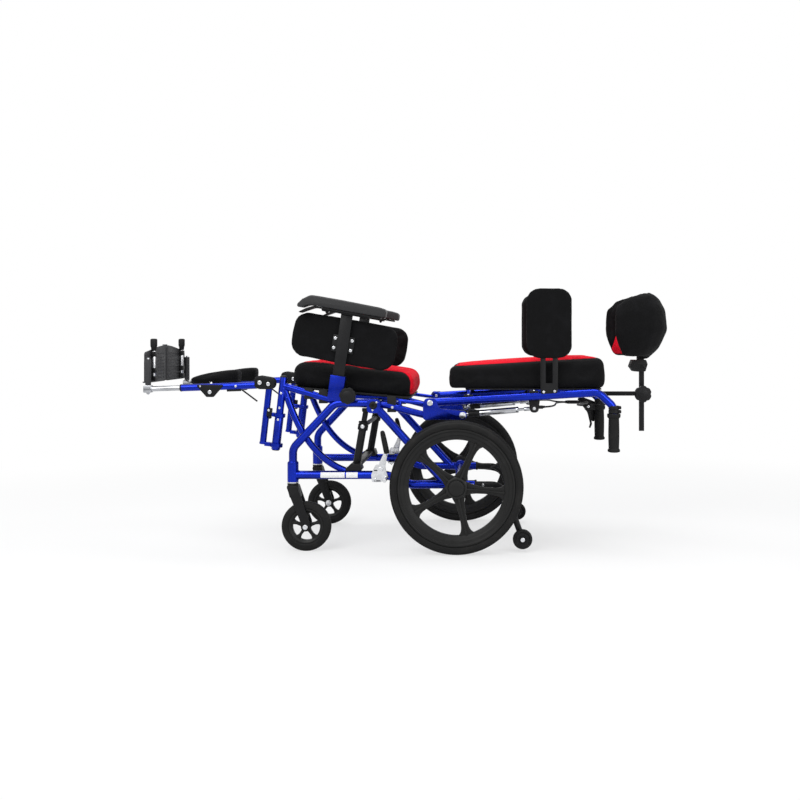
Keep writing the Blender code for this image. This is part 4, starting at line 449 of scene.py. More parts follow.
@dataclass(frozen=True)
class Rubber(Finish):
    """Rubber of a tyre or a grip, with a bloom of dust."""

    colour: Colour = (0.008, 0.008, 0.008)
    dusty: Colour = (0.024, 0.023, 0.022)
    wheel: Optional[Tuple[float, float]] = None
    ring: float = 0.0

    def made(self) -> bpy.types.Material:
        """Rubber with moulded sidewall rings where it is a tyre."""
        graph = Graph(self.name)
        dust = graph.noise(30.0, 5.0)
        height = graph.noise(900.0, 2.0) * 0.35
        if self.wheel:
            x, _, z = graph.axes()
            radius = ((x - self.wheel[0]) ** 2.0 + (z - self.wheel[1]) ** 2.0) ** 0.5
            height = height + (radius * (2.0 * math.pi / self.ring)).sine().ramp(0.2, 0.9)
        graph.shade(Base_Color=graph.mix(dust.ramp(0.45, 0.85, 0.0, 0.7), self.colour, self.dusty),
            Roughness=dust.ramp(0.3, 0.8, 0.58, 0.78), Specular_IOR_Level=0.15)
        graph.bump(height, 0.00018, 0.6)
        return graph.material


@dataclass(frozen=True)
class Knit(Finish):
    """Stretch knit over foam, with a second colour where the attribute 'seam' is above 0."""

    colour: Colour = (0.0042, 0.0042, 0.0045)
    lint_and_loop_highlight: Colour = (0.010, 0.010, 0.011)
    panel: Optional[Colour] = None
    weave: float = 0.0014
    shine: float = 0.03

    def made(self) -> bpy.types.Material:
        """Knit with its loops in relief, lint, sheen and the sewn groove along its seams; painted highlight
        on the loops' crowns, and painted shade in their hollows and in the groove.
        """
        graph = Graph(self.name)
        pitch = 2.0 * math.pi / self.weave
        x, y, z = (axis * pitch for axis in graph.axes())
        face_x, face_y, face_z = graph.facing()
        pairs = ((y, z), (x, z), (x, y))
        rows = [(first + (second * 0.5).sine() * 0.6).sine() * second.sine() for first, second in pairs]
        loops = rows[0] * face_x + rows[1] * face_y + rows[2] * face_z
        cloud = graph.noise(26.0, 5.0)
        seam = graph.wire("ShaderNodeAttribute", {"attribute_name": "seam"}, output="Fac")
        apart = abs(seam)
        groove = apart.ramp(0.0, 0.0016, 1.0, 0.0)
        stitch = (apart - 0.0034).ramp(0.0, 0.0006) * (apart - 0.0040).ramp(0.0, 0.0006, 1.0, 0.0)
        dashes = ((x + y + z) * (self.weave / 0.0042)).sine().ramp(-0.2, 0.2)
        # Real lint clouds, plus painted highlight: the loops' crowns are drawn towards the paler colour
        base = graph.mix(cloud.ramp(0.4, 0.8, 0.0, 0.6) + loops.ramp(0.2, 1.0, 0.0, 0.3), self.colour,
            self.lint_and_loop_highlight)
        if self.panel:
            # Painted shade: the red is darkened in the hollows between the loops
            dark = tuple(0.62 * c for c in self.panel)
            red = graph.mix(loops.ramp(-0.8, 0.6), dark, self.panel)
            base = graph.mix(seam.ramp(-0.0004, 0.0004), base, red)
        # Painted shade: the pressed-in seam groove is darkened towards black
        base = graph.mix(groove * 0.6, base, (0.002, 0.002, 0.002))
        graph.shade(Base_Color=base, Roughness=cloud.ramp(0.3, 0.8, 0.78, 0.92),
            Specular_IOR_Level=0.07, Sheen_Weight=self.shine, Sheen_Roughness=0.45)
        graph.bump(loops * 0.25 - groove * 2.2 + stitch * dashes * 0.8 + cloud * 0.3, 0.00045, 0.6)
        return graph.material


BLUE = Lacquer("blue_lacquer", "blue_paint")
BLACK = Powder("black_powder_coat", "black_paint")
STEEL = Steel("bright_steel", "bright_steel")
CHROME = Steel("polished_rod", "bright_steel", (0.46, 0.47, 0.49), (0.08, 0.18))
PLASTIC = Moulded("black_plastic", "black_plastic")
WHEEL_PLASTIC = Moulded("wheel_plastic", "wheel_plastic", (0.009, 0.009, 0.0088), (0.026, 0.026, 0.025),
    (0.36, 0.50))
FOOT_PLASTIC = Moulded("footplate_plastic", "footplate_plastic", (0.030, 0.030, 0.032),
    (0.060, 0.060, 0.064), (0.42, 0.6))
ARM_FOAM = Moulded("arm_pad_skin", "arm_pad", (0.014, 0.014, 0.015), (0.026, 0.026, 0.028),
    (0.44, 0.58), 620.0, 0.00016, 0.35)
AIR_TYRE = Rubber("air_tyre", "air_tyre", wheel=(AXLE_X, AXLE_Z), ring=0.0062)
SOLID_TYRE = Rubber("solid_tyre", "solid_tyre", wheel=(-0.317, 0.076), ring=0.0054)
SMALL_TYRE = Rubber("small_tyre", "solid_tyre", wheel=(0.348, 0.0395), ring=0.0050)
GRIP = Rubber("grip_rubber", "grip_rubber")
SLEEVE = Moulded("cable_sleeve", "cable_sleeve", (0.012, 0.012, 0.013), (0.03, 0.03, 0.03), (0.3, 0.42),
    1800.0, 0.00004)
LABEL = Moulded("blank_label", "black_plastic", (0.80, 0.80, 0.80), (0.74, 0.74, 0.74), (0.35, 0.5),
    300.0, 0.00002, 0.4)
BLACK_KNIT = Knit("black_knit", "black_fabric")
SEAT_KNIT = Knit("seat_cover", "seat_cover", panel=(0.78, 0.006, 0.022))
BACK_KNIT = Knit("back_cover", "back_cover", panel=(0.78, 0.006, 0.022))
HEAD_KNIT = Knit("headrest_cover", "headrest_cover", panel=(0.78, 0.010, 0.030))


class Outline:
    """Closed and open lines that shapes are drawn from."""

    @staticmethod
    def rounded(points: Sequence[Sequence[float]], radius: Union[float, Sequence[float]],
            steps: int = 4) -> List[Vector]:
        """A closed outline with its corners rounded.

        Args:
            points: The corners in order.
            radius: One radius for all corners, or one for each.
            steps: Straight pieces to each corner.

        Returns:
            The points of the rounded outline.
        """
        corners = [Vector(p) for p in points]
        radii = list(radius) if isinstance(radius, (list, tuple)) else [radius] * len(corners)
        line = []
        for index, corner in enumerate(corners):
            back, ahead = corners[index - 1] - corner, corners[(index + 1) % len(corners)] - corner
            half = back.angle(ahead) / 2
            if half > 1.5 or radii[index] <= 0:
                line.append(corner)
                continue
            reach = min(radii[index] / math.tan(half), 0.46 * back.length, 0.46 * ahead.length)
            back, ahead = back.normalized(), ahead.normalized()
            centre = corner + (back + ahead).normalized() * (reach / math.cos(half))
            first, last = corner + back * reach - centre, corner + ahead * reach - centre
            sweep = first.angle_signed(last)
            line += [centre + Matrix.Rotation(-sweep * step / steps, 2) @ first
                for step in range(steps + 1)]
        return line

    @staticmethod
    def bent(points: Sequence[Place], bend: float, steps: int = 7) -> List[Vector]:
        """The centre line of a bent tube: straight runs joined by arcs of one radius."""
        points = [Vector(p) for p in points]
        path = [points[0]]
        for before, corner, after in zip(points, points[1:], points[2:]):
            back, ahead = (before - corner).normalized(), (after - corner).normalized()
            half = back.angle(ahead) / 2
            reach = min(bend / math.tan(half), 0.45 * (before - corner).length,
                0.45 * (after - corner).length)
            radius = reach * math.tan(half)
            centre = corner + (back + ahead).normalized() * (radius / math.sin(half))
            first = (corner + back * reach - centre).normalized()
            last = (corner + ahead * reach - centre).normalized()
            path += [centre + radius * first.slerp(last, step / steps) for step in range(steps + 1)]
        path.append(points[-1])
        return path

    @staticmethod
    def both_sides(half: Sequence[Tuple[float, float]]) -> List[Tuple[float, float]]:
        """An outline that is the same on both sides of its first axis, from one half of it."""
        return [*half, *((along, -out) for along, out in reversed(half))]

    @staticmethod
    def swept(points: Sequence[Place], steps: int) -> List[Vector]:
        """A cubic curve through its end points, with two handles between them."""
        a, b, c, d = (Vector(p) for p in points)
        line = []
        for step in range(steps + 1):
            t = step / steps
            line.append(a * (1 - t) ** 3 + b * 3 * t * (1 - t) ** 2 + c * 3 * t * t * (1 - t) + d * t ** 3)
        return line


class Shape:
    """A mesh under construction on the chair's axes, made of closed forms."""

    def __init__(self) -> None:
        """Starts with nothing in it."""
        self.bm = bmesh.new()

    def add(self, *others: "Shape", place: Matrix = IDENTITY) -> "Shape":
        """Takes in other shapes, moved by a matrix, and uses them up."""
        for other in others:
            other.bm.transform(place)
            mesh = mesh_of(other.bm, "joined")
            self.bm.from_mesh(mesh)
            bpy.data.meshes.remove(mesh)
        return self

    def soften(self, width: float, segments: int = 2, angle: float = 40.0) -> "Shape":
        """Rounds every edge sharper than an angle."""
        if width > 0:
            edges = [e for e in self.bm.edges if len(e.link_faces) == 2
                and e.calc_face_angle(0) > math.radians(angle)]
            bmesh.ops.bevel(self.bm, geom=edges, offset=width, segments=segments, profile=0.5,
                affect="EDGES", material=-1, clamp_overlap=True)
        return self

    @staticmethod
    def pipe(points: Sequence[Place], radius: float, bend: float = 0.0, sides: int = 20,
            steps: int = 7) -> "Shape":
        """A round bar or tube along a centre line, closed at its ends.

        Args:
            points: The corners of the centre line.
            radius: The bar's radius.
            bend: The radius of its bends, or 0 to follow the points as they are.
            sides: Facets round the bar.
            steps: Stations in each bend.

        Returns:
            The shape.
        """
        path = [Vector(p) for p in points]
        if bend and len(points) > 2:
            path = Outline.bent(points, bend, steps)
        runs = [(after - before).normalized() for before, after in zip(path, path[1:])]
        aims = [runs[0]] + [(a + b).normalized() for a, b in zip(runs, runs[1:])] + [runs[-1]]
        shape = Shape()
        ring = bmesh.ops.create_circle(shape.bm, cap_ends=True, segments=sides, radius=radius,
            matrix=Matrix.Translation(path[0]) @ turn_to(aims[0]))["verts"]
        edges = list({e for v in ring for e in v.link_edges})
        for here, there, aim, following in zip(path, path[1:], aims, aims[1:]):
            grown = bmesh.ops.extrude_edge_only(shape.bm, edges=edges)["geom"]
            ring = [g for g in grown if isinstance(g, bmesh.types.BMVert)]
            kept = set(ring)
            edges = [g for g in grown if isinstance(g, bmesh.types.BMEdge) and set(g.verts) <= kept]
            bmesh.ops.translate(shape.bm, verts=ring, vec=there - here)
            bmesh.ops.rotate(shape.bm, verts=ring, cent=there,
                matrix=aim.rotation_difference(following).to_matrix())
        bmesh.ops.contextual_create(shape.bm, geom=edges)
        return shape

    @staticmethod
    def rod(start: Place, end: Place, radius: float, tip: Optional[float] = None, sides: int = 24,
            edge: float = 0.0004) -> "Shape":
        """A cylinder or cone between two points, with its end edges broken."""
        start, end = Vector(start), Vector(end)
        shape = Shape()
        bmesh.ops.create_cone(shape.bm, cap_ends=True, segments=sides, radius1=radius,
            radius2=radius if tip is None else tip, depth=(end - start).length,
            matrix=Matrix.Translation((start + end) / 2) @ turn_to(end - start))
        return shape.soften(edge, 2, 62.0)

    @staticmethod
    def across(x: float, z: float, start: float, end: float, radius: float, sides: int = 24,
            edge: float = 0.0004) -> "Shape":
        """A rod that runs straight across the chair, from one y to another."""
        return Shape.rod((x, start, z), (x, end, z), radius, sides=sides, edge=edge)

    @staticmethod
    def lathe(profile: Sequence[Sequence[float]], place: Matrix = IDENTITY, steps: int = 32,
            closed: bool = False) -> "Shape":
        """A profile of (radius, height) turned about local Z.

        Args:
            profile: The profile's points, from the axis to the axis unless it is closed.
            place: The matrix that takes local Z to the axis.
            steps: Facets round the axis.
            closed: Whether the profile's last point joins its first.

        Returns:
            The shape.
        """
        shape = Shape()
        verts = [shape.bm.verts.new((p[0], 0, p[1])) for p in profile]
        edges = [shape.bm.edges.new(pair) for pair in zip(verts, verts[1:])]
        if closed:
            edges.append(shape.bm.edges.new((verts[-1], verts[0])))
        bmesh.ops.spin(shape.bm, geom=verts + edges, cent=(0, 0, 0), axis=(0, 0, 1), angle=2 * math.pi,
            steps=steps, use_merge=True)
        bmesh.ops.remove_doubles(shape.bm, verts=shape.bm.verts, dist=0.000005)
        shape.bm.transform(place)
        return shape

    @staticmethod
    def plate(outline: Sequence[Sequence[float]], low: float, high: float, place: Matrix = SIDE_VIEW,
            edge: float = 0.0006, segments: int = 2) -> "Shape":
        """A flat outline given depth from low to high, with its rims rounded."""
        shape = Shape()
        face = shape.bm.faces.new([shape.bm.verts.new((p[0], p[1], low)) for p in outline])
        grown = bmesh.ops.extrude_face_region(shape.bm, geom=[face])["geom"]
        bmesh.ops.translate(shape.bm, verts=[g for g in grown if isinstance(g, bmesh.types.BMVert)],
            vec=(0, 0, high - low))
        shape.soften(edge, segments, 50.0)
        shape.bm.transform(place)
        return shape

    @staticmethod
    def box(low: Sequence[float], high: Sequence[float], place: Matrix = IDENTITY, edge: float = 0.0006,
            segments: int = 2) -> "Shape":
        """A block between two corners, with its edges rounded."""
        low, high = Vector(low), Vector(high)
        size = high - low
        shape = Shape()
        bmesh.ops.create_cube(shape.bm, size=1.0, matrix=Matrix.Translation((low + high) / 2)
            @ Matrix.Diagonal((abs(size.x), abs(size.y), abs(size.z), 1)))
        shape.soften(edge, segments)
        shape.bm.transform(place)
        return shape

    @staticmethod
    def bead(centre: Place, axis: Place, radius: float) -> "Shape":
        """The ring of weld where a tube meets another piece."""
        profile = [(radius + BEAD * math.cos(a), BEAD * math.sin(a))
            for a in (math.radians(45 * step) for step in range(8))]
        return Shape.lathe(profile, Matrix.Translation(centre) @ turn_to(axis), 28, closed=True)

    @staticmethod
    def screw(foot: Place, axis: Place, radius: float, height: float) -> "Shape":
        """A cap screw's head with its socket."""
        r, h = radius, height
        profile = [(0, 0.45 * h), (0.42 * r, 0.45 * h), (0.46 * r, 0.97 * h), (0.52 * r, h),
            (0.78 * r, h), (0.94 * r, 0.86 * h), (r, 0.62 * h), (r, 0), (0, 0)]
        return Shape.lathe(profile, Matrix.Translation(foot) @ turn_to(axis), 24)

    @staticmethod
    def nut(foot: Place, axis: Place, radius: float, height: float) -> "Shape":
        """A hexagon nut on its washer, with the end of its bolt."""
        axis = Vector(axis).normalized()
        foot = Vector(foot)
        shape = Shape.rod(foot, foot + axis * 0.0012, radius * 1.32)
        body = Shape.rod(foot + axis * 0.001, foot + axis * height, radius, sides=6, edge=0.0007)
        return shape.add(body, Shape.rod(foot, foot + axis * (height + 0.0018), radius * 0.52, sides=14))

    def ring(self, count: int, centre: Place, axis: Place) -> "Shape":
        """Repeats the shape evenly round an axis."""
        geom = self.bm.verts[:] + self.bm.edges[:] + self.bm.faces[:]
        bmesh.ops.spin(self.bm, geom=geom, cent=Vector(centre), axis=Vector(axis), steps=count - 1,
            angle=2 * math.pi * (count - 1) / count, use_duplicate=True)
        return self

    def finish(self, name: str, body: str, look: Finish,
            replaces: Iterable[str] = ()) -> bpy.types.Object:
        """Makes the shape a piece of the chair.

        Args:
            name: The piece's name.
            body: The CAD body that it rides on.
            look: Its finish.
            replaces: CAD nodes that it stands for.

        Returns:
            The piece.
        """
        bmesh.ops.recalc_face_normals(self.bm, faces=self.bm.faces)
        mesh = mesh_of(self.bm, name)
        obj = linked(name, mesh)
        mesh.shade_smooth()
        mesh.set_sharp_from_angle(angle=math.radians(SHARP_FROM))
        mesh.materials.append(look.material())
        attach(obj, body)
        if replaces:
            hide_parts(*replaces)
        return obj

    @staticmethod
    def of_node(node: str, edge: float = 0.0006) -> "Shape":
        """A copy of a CAD node's solid with its edges rounded."""
        shape = Shape()
        shape.bm.from_mesh(frame["nodes"][node].data)
        bmesh.ops.remove_doubles(shape.bm, verts=shape.bm.verts, dist=0.00002)
        bmesh.ops.dissolve_limit(shape.bm, angle_limit=math.radians(2.0), verts=shape.bm.verts,
            edges=shape.bm.edges)
        return shape.soften(edge, angle=48.0)


class SubAssembly:
    """A group of the chair's pieces that is built and reported together."""

    def build(self) -> None:
        """Makes the pieces."""
        raise NotImplementedError

    def report(self) -> None:
        """Builds the group and logs how many pieces it added."""
        before = len(bpy.data.objects)
        self.build()
        LOG.info("%s: %d pieces", type(self).__name__, len(bpy.data.objects) - before)


@dataclass
class SideFrame(SubAssembly):
    """One welded side frame of blue tube, with its fasteners and caps."""

    side: Side
    tube: float = 0.0125
    rail: float = 0.013
    inner: float = 0.011
    arc: float = 0.0104
    post: float = 0.0114
    sleeve: float = 0.0135
    housing: float = 0.017
    boss: float = 0.022
    post_top: float = 0.0795
    post_foot: float = 0.1435

    def build(self) -> None:
        """Makes the painted frame, its bright parts, its black parts and its labels."""
        self.painted().finish(self.side.name("side_frame_tubes"), "base", BLUE,
            [self.side.name("side_frame")])
        self.bright().finish(self.side.name("side_frame_bolts"), "base", STEEL)
        self.black().finish(self.side.name("side_frame_caps"), "base", PLASTIC)
        if self.side is Side.LEFT:
            self.labels().finish("lower_rail_labels", "base", LABEL)

    def arc_path(self) -> List[Vector]:
        """The swept tube's centre line, from the front post to the lower rail."""
        lift = PIVOT_Z + 0.0325
        start = Vector((POST_X + 0.0095, self.side.y(INNER_Y), lift))
        end = Vector((SHOULDER_X + 0.079, self.side.y(HALF_WIDTH - 0.008), RAIL_Z + 0.002))
        drop = (start.z - end.z) * 0.5
        leave = start + Vector((0.29 * drop, 0, -drop))
        arrive = end + Vector((-0.125, -self.side.y(0.015), 0.008))
        return [Vector((POST_X - 0.001, start.y, lift + 0.012)),
            *Outline.swept((start, leave, arrive, end), 26)]

    def painted(self) -> Shape:
        """The tubes, housing, plates, socket and boss."""
        side, y, inner = self.side, self.side.y(HALF_WIDTH), self.side.y(INNER_Y)
        top = HOUSING_FOOT + HOUSING_HEIGHT
        low, high = post_point(side, -0.046), post_point(side, -self.post_foot - 0.002)
        shape = Shape()
        shape.add(Shape.lathe([(0, HOUSING_FOOT + 0.003), (self.housing - 0.0012, HOUSING_FOOT + 0.003),
            (self.housing, HOUSING_FOOT + 0.0045), (self.housing, top - 0.0025),
            (self.housing - 0.0022, top), (0, top)], Matrix.Translation((CASTER_X, y, 0)), 36),
            Shape.pipe([(CASTER_X, y, top - 0.006), (CASTER_X, y, top + 0.041),
                (SHOULDER_X, y, PIVOT_Z), (REAR_BEND_X, y, PIVOT_Z),
                (AXLE_X - 0.036, y, AXLE_Z + 0.004)], self.tube, 0.040, 24),
            Shape.pipe([(CASTER_X + 0.006, y, RAIL_Z), (-0.070, y, RAIL_Z), (0.005, y, AXLE_Z + 0.001),
                (AXLE_X + 0.058, y, AXLE_Z + 0.001)], self.rail, 0.060, 24),
            Shape.rod(post_point(side, self.post_top), post_point(side, -self.post_foot), self.post),
            Shape.rod(low, high, self.sleeve, edge=0.0012),
            Shape.pipe(inner_rail(side), self.inner, 0.060, 22),
            Shape.pipe(self.arc_path(), self.arc, sides=22),
            Shape.rod((REAR_BEND_X + 0.078, inner, PIVOT_Z + 0.0065),
                (PIVOT_X - 0.0165, inner, PIVOT_Z - 0.0045), 0.006),
            Shape.rod((REAR_BEND_X + 0.082, inner, PIVOT_Z + 0.004),
                (REAR_BEND_X + 0.082, inner, PIVOT_Z - 0.014), 0.007), self.hinge(),
            self.bend_bracket(), self.socket(),
            Shape.across(AXLE_X, AXLE_Z, side.y(HALF_WIDTH - 0.016), side.y(HALF_WIDTH + 0.022),
                self.boss, sides=40, edge=0.0018))
        along = Vector((POST_RAKE, 0, 1))
        arc = self.arc_path()
        beads = (((CASTER_X, y, top), (0, 0, 1), self.tube),
            ((CASTER_X + self.housing + 0.0005, y, RAIL_Z), (1, 0, 0), self.rail),
            ((REAR_BEND_X + 0.082, inner, PIVOT_Z - 0.009), (0, 0, 1), 0.007), (low, along, self.post),
            ((AXLE_X - 0.047, y, AXLE_Z + 0.014), (0.26, 0, -0.25), self.tube),
            ((AXLE_X - 0.0215, y, AXLE_Z + 0.001), (1, 0, 0), self.rail),
            (inner_rail(side)[0] + Vector((0.0125, 0, -0.0035)), (0.96, 0, -0.28), self.inner),
            (arc[2] + Vector((0.002, 0, -0.001)), arc[3] - arc[2], self.arc))
        for centre, axis, radius in beads:
            shape.add(Shape.bead(centre, axis, radius))
        return shape

    def hinge(self) -> Shape:
        """The plate that carries the recline pin and the gas spring's front pin."""
        x, z = PIVOT_X, PIVOT_Z
        front = Vector((SPRING_FRONT_X, SPRING_FRONT_Z))
        outline = Outline.rounded([(x - 0.022, z - 0.054), (x + 0.012, z - 0.052),
            (front.x + 0.012, front.y - 0.013), (front.x + 0.012, front.y + 0.013),
            (x + 0.030, z - 0.018), (x + 0.015, z + 0.014), (x - 0.014, z + 0.014), (x - 0.022, z)],
            0.010, 5)
        return Shape.plate(outline, HINGE_Y, HINGE_Y + 0.008, self.side.outward, 0.001)

    def bend_bracket(self) -> Shape:
        """The bolted bracket at the main tube's rear bend."""
        x, z = REAR_BEND_X, PIVOT_Z
        outline = Outline.rounded([(x - 0.016, z - 0.030), (x + 0.026, z - 0.030),
            (x + 0.026, z + 0.012), (x - 0.016, z + 0.012)], 0.012, 6)
        return Shape.plate(outline, INNER_Y - 0.002, HALF_WIDTH + self.tube + 0.002, self.side.outward,
            0.0016)

    def socket(self) -> Shape:
        """The armrest's socket with the ear for its knob: a tube of rectangular section."""
        outer = Shape.box((-0.023, -0.011, -0.039), (0.023, 0.011, 0.039), edge=0)
        outer.bm.faces.ensure_lookup_table()
        mouth = [face for face in outer.bm.faces if face.normal.z > 0.9]
        bmesh.ops.inset_region(outer.bm, faces=mouth, thickness=0.0044)
        grown = bmesh.ops.extrude_discrete_faces(outer.bm, faces=mouth)["faces"]
        bmesh.ops.translate(outer.bm, verts=list({v for face in grown for v in face.verts}),
            vec=(0, 0, -0.030))
        outer.soften(0.0012, 2)
        ear = Shape.plate(Outline.rounded([(0.020, -0.032), (0.053, -0.030), (0.053, -0.003),
            (0.020, 0.002)], 0.008, 5), -0.004, 0.004, edge=0.0008)
        return Shape().add(outer.add(ear), place=arm_frame(self.side))

    def bright(self) -> Shape:
        """Axle, hinge bolts, bearing rings, buttons and screws."""
        side, y = self.side, self.side.y(HALF_WIDTH)
        front = (SPRING_FRONT_X, side.y(HINGE_Y + 0.008), SPRING_FRONT_Z)
        face = side.y(HALF_WIDTH + self.tube + 0.002)
        shape = Shape()
        shape.add(Shape.across(AXLE_X, AXLE_Z, side.y(HALF_WIDTH + 0.016), side.y(WHEEL_Y + 0.017),
            0.0064),
            Shape.across(AXLE_X, AXLE_Z, side.y(HALF_WIDTH + 0.0215), side.y(HALF_WIDTH + 0.0255),
                0.012),
            Shape.screw((PIVOT_X, side.y(HINGE_Y + 0.0078), PIVOT_Z), side.out, 0.0092, 0.0052),
            Shape.across(PIVOT_X, PIVOT_Z, side.y(HINGE_Y + 0.001), side.y(BACK_Y - 0.0155), 0.0049),
            Shape.nut(front, side.out, 0.0078, 0.0040),
            Shape.across(front[0], front[2], side.y(HINGE_Y + 0.001), side.y(SPRING_Y - 0.0070),
                0.0039),
            Shape.lathe([(0.0062, HOUSING_FOOT), (0.0172, HOUSING_FOOT),
                (0.0176, HOUSING_FOOT + 0.0008), (0.0176, HOUSING_FOOT + 0.0026),
                (0.0168, HOUSING_FOOT + 0.0034), (0.0062, HOUSING_FOOT + 0.0034)],
                Matrix.Translation((CASTER_X, y, 0)), 36, closed=True),
            Shape.screw((AXLE_X - 0.019, side.y(HALF_WIDTH + 0.0125), AXLE_Z + 0.001), side.out, 0.0048,
                0.0030),
            Shape.screw((AXLE_X + 0.048, side.y(HALF_WIDTH + 0.0125), AXLE_Z + 0.001), side.out, 0.0042,
                0.0028),
            Shape.across(REAR_BEND_X + 0.060, PIVOT_Z - 0.0142, side.y(INNER_Y + self.inner - 0.001),
                side.y(INNER_Y + self.inner + 0.0022), 0.0040))
        for rise, reach in ((-0.016, 0.0108), (-0.052, 0.0130), (0.030, 0.0108)):
            middle = post_point(side, rise)
            shape.add(Shape.screw(middle + Vector((0, side.y(reach), 0)), side.out, 0.0036, 0.0022))
        place = arm_frame(side)
        shape.add(Shape.across(0.041, -0.016, 0, side.y(0.021), 0.0038), place=place)
        for x, z in ((0.002, -0.021), (0.014, 0.003)):
            shape.add(Shape.screw((REAR_BEND_X + x, face - side.y(0.0004), PIVOT_Z + z), side.out,
                0.0030, 0.0018))
        return shape

    def black(self) -> Shape:
        """End plugs of the post, the bracket's big bolt and the ring at the lower rail's end."""
        side, y = self.side, self.side.y(HALF_WIDTH)
        slope = POST_SLOPE
        top, foot = post_point(side, self.post_top), post_point(side, -self.post_foot - 0.002)
        face = side.y(HALF_WIDTH + self.tube + 0.0016)
        end = AXLE_X + 0.058
        shape = Shape()
        shape.add(Shape.rod(top - slope * 0.001, top + slope * 0.0035, self.post + 0.0006,
            self.post - 0.002, edge=0.0006),
            Shape.rod(foot + slope * 0.001, foot - slope * 0.0025, self.sleeve - 0.001,
                self.sleeve - 0.003),
            Shape.screw((REAR_BEND_X + 0.004, face, PIVOT_Z - 0.006), side.out, 0.0098, 0.0075),
            Shape.across(REAR_BEND_X + 0.004, PIVOT_Z - 0.006, face, face + side.y(0.0016), 0.0125),
            Shape.lathe([(0.0099, end - 0.004), (self.rail + 0.0012, end - 0.004),
                (self.rail + 0.0014, end - 0.003), (self.rail + 0.0012, end + 0.0022),
                (0.0105, end + 0.0026), (0.0099, end + 0.002)],
                Matrix.Translation((0, y, AXLE_Z + 0.001)) @ turn_to((1, 0, 0)), 28, closed=True))
        return shape

    def labels(self) -> Shape:
        """Two blank labels that wrap the outside of the near lower rail."""
        shape = Shape()
        for start, end in ((-0.272, -0.198), (-0.1935, -0.158)):
            radius = self.rail + 0.00012
            place = Matrix.Translation((0, self.side.y(HALF_WIDTH), RAIL_Z)) @ turn_to((1, 0, 0))
            band = Shape()
            outward = place.inverted().to_3x3() @ Vector(self.side.out)
            begin = Matrix.Rotation(math.radians(-44), 3, "Z") @ (outward.normalized() * radius)
            verts = [band.bm.verts.new((begin.x, begin.y, height)) for height in (start, end)]
            line = band.bm.edges.new(verts)
            bmesh.ops.spin(band.bm, geom=verts + [line], cent=(0, 0, 0), axis=(0, 0, 1),
                angle=math.radians(80), steps=14)
            bmesh.ops.recalc_face_normals(band.bm, faces=band.bm.faces)
            bmesh.ops.solidify(band.bm, geom=band.bm.faces[:], thickness=0.00016)
            band.bm.transform(place)
            shape.add(band)
        return shape


@dataclass
class CrossMembers(SubAssembly):
    """What holds the side frames apart: the cross tube, the struts and the seat board."""

    strut_x: float = -0.1695
    lean: float = 0.0315
    strut_y: float = 0.170

    def build(self) -> None:
        """Makes the cross members."""
        reach = HALF_WIDTH - 0.016 - GAP
        tube = Shape.across(AXLE_X, AXLE_Z, -reach, reach, 0.0125, sides=32, edge=0.0008)
        for side in Side:
            tube.add(Shape.bead((AXLE_X, side.y(reach - 0.002), AXLE_Z), (0, 1, 0), 0.0122))
        tube.finish("rear_cross_tube_round", "base", BLUE, ["rear_cross_tube"])
        self.struts()
        Shape.of_node("seat_board", 0.0007).finish("seat_board_moulded", "base", PLASTIC, ["seat_board"])

    def struts(self) -> None:
        """Two telescopic struts on their feet, tied by cross bars."""
        foot_z = RAIL_Z + 0.0125 + GAP + 0.0008
        top_x = self.strut_x + self.lean
        top_z = 0.4490 - 0.0110 - GAP - 0.0004
        black, bright = Shape(), Shape()
        for side in Side:
            y = side.y(self.strut_y)
            foot, top = Vector((self.strut_x, y, foot_z)), Vector((top_x, y, top_z))
            axis = (top - foot).normalized()
            collar = foot.lerp(top, 0.70)
            black.add(Shape.rod(foot + Vector((0, 0, 0.004)), collar, 0.012),
                Shape.lathe([(0.0085, -0.012), (0.0152, -0.012), (0.016, -0.010), (0.016, 0.004),
                    (0.0148, 0.0055), (0.0148, 0.0085), (0.016, 0.010), (0.016, 0.0125),
                    (0.0150, 0.014), (0.0085, 0.014)], Matrix.Translation(collar) @ turn_to(axis),
                    28, closed=True), Shape.rod(collar, top - Vector((0, 0, 0.004)), 0.0085),
                Shape.plate(Outline.rounded([(self.strut_x - 0.034, foot_z - 0.001),
                    (self.strut_x + 0.024, foot_z - 0.001), (self.strut_x + 0.017, foot_z + 0.020),
                    (self.strut_x - 0.012, foot_z + 0.020)], 0.004), self.strut_y - 0.014,
                    HALF_WIDTH + 0.004, side.outward, 0.0015),
                Shape.box((top_x - 0.012, side.y(self.strut_y) - 0.009, top_z - 0.012),
                    (top_x + 0.008, side.y(INNER_Y) + 0.008, top_z), edge=0.0018))
            bright.add(Shape.screw((self.strut_x - 0.024, side.y(HALF_WIDTH - 0.006), foot_z + 0.0075),
                (0, 0, 1), 0.0042, 0.0030),
                Shape.nut(collar + Vector((0, side.y(0.0150), 0)), side.out, 0.0046, 0.0034),
                Shape.screw((top_x - 0.002, side.y(self.strut_y - 0.009), top_z - 0.006),
                    (0, -side.value, 0), 0.0034, 0.0022))
        middle_x, collar_z = self.strut_x + self.lean * 0.70, foot_z + 0.70 * (top_z - foot_z)
        black.add(Shape.box((self.strut_x - 0.012, -self.strut_y, foot_z + 0.004),
            (self.strut_x + 0.012, self.strut_y, foot_z + 0.016), edge=0.0016),
            Shape.across(middle_x, collar_z, -self.strut_y, self.strut_y, 0.007))
        black.finish("seat_struts_turned", "base", BLACK, ["seat_struts"])
        bright.finish("seat_strut_bolts", "base", STEEL)


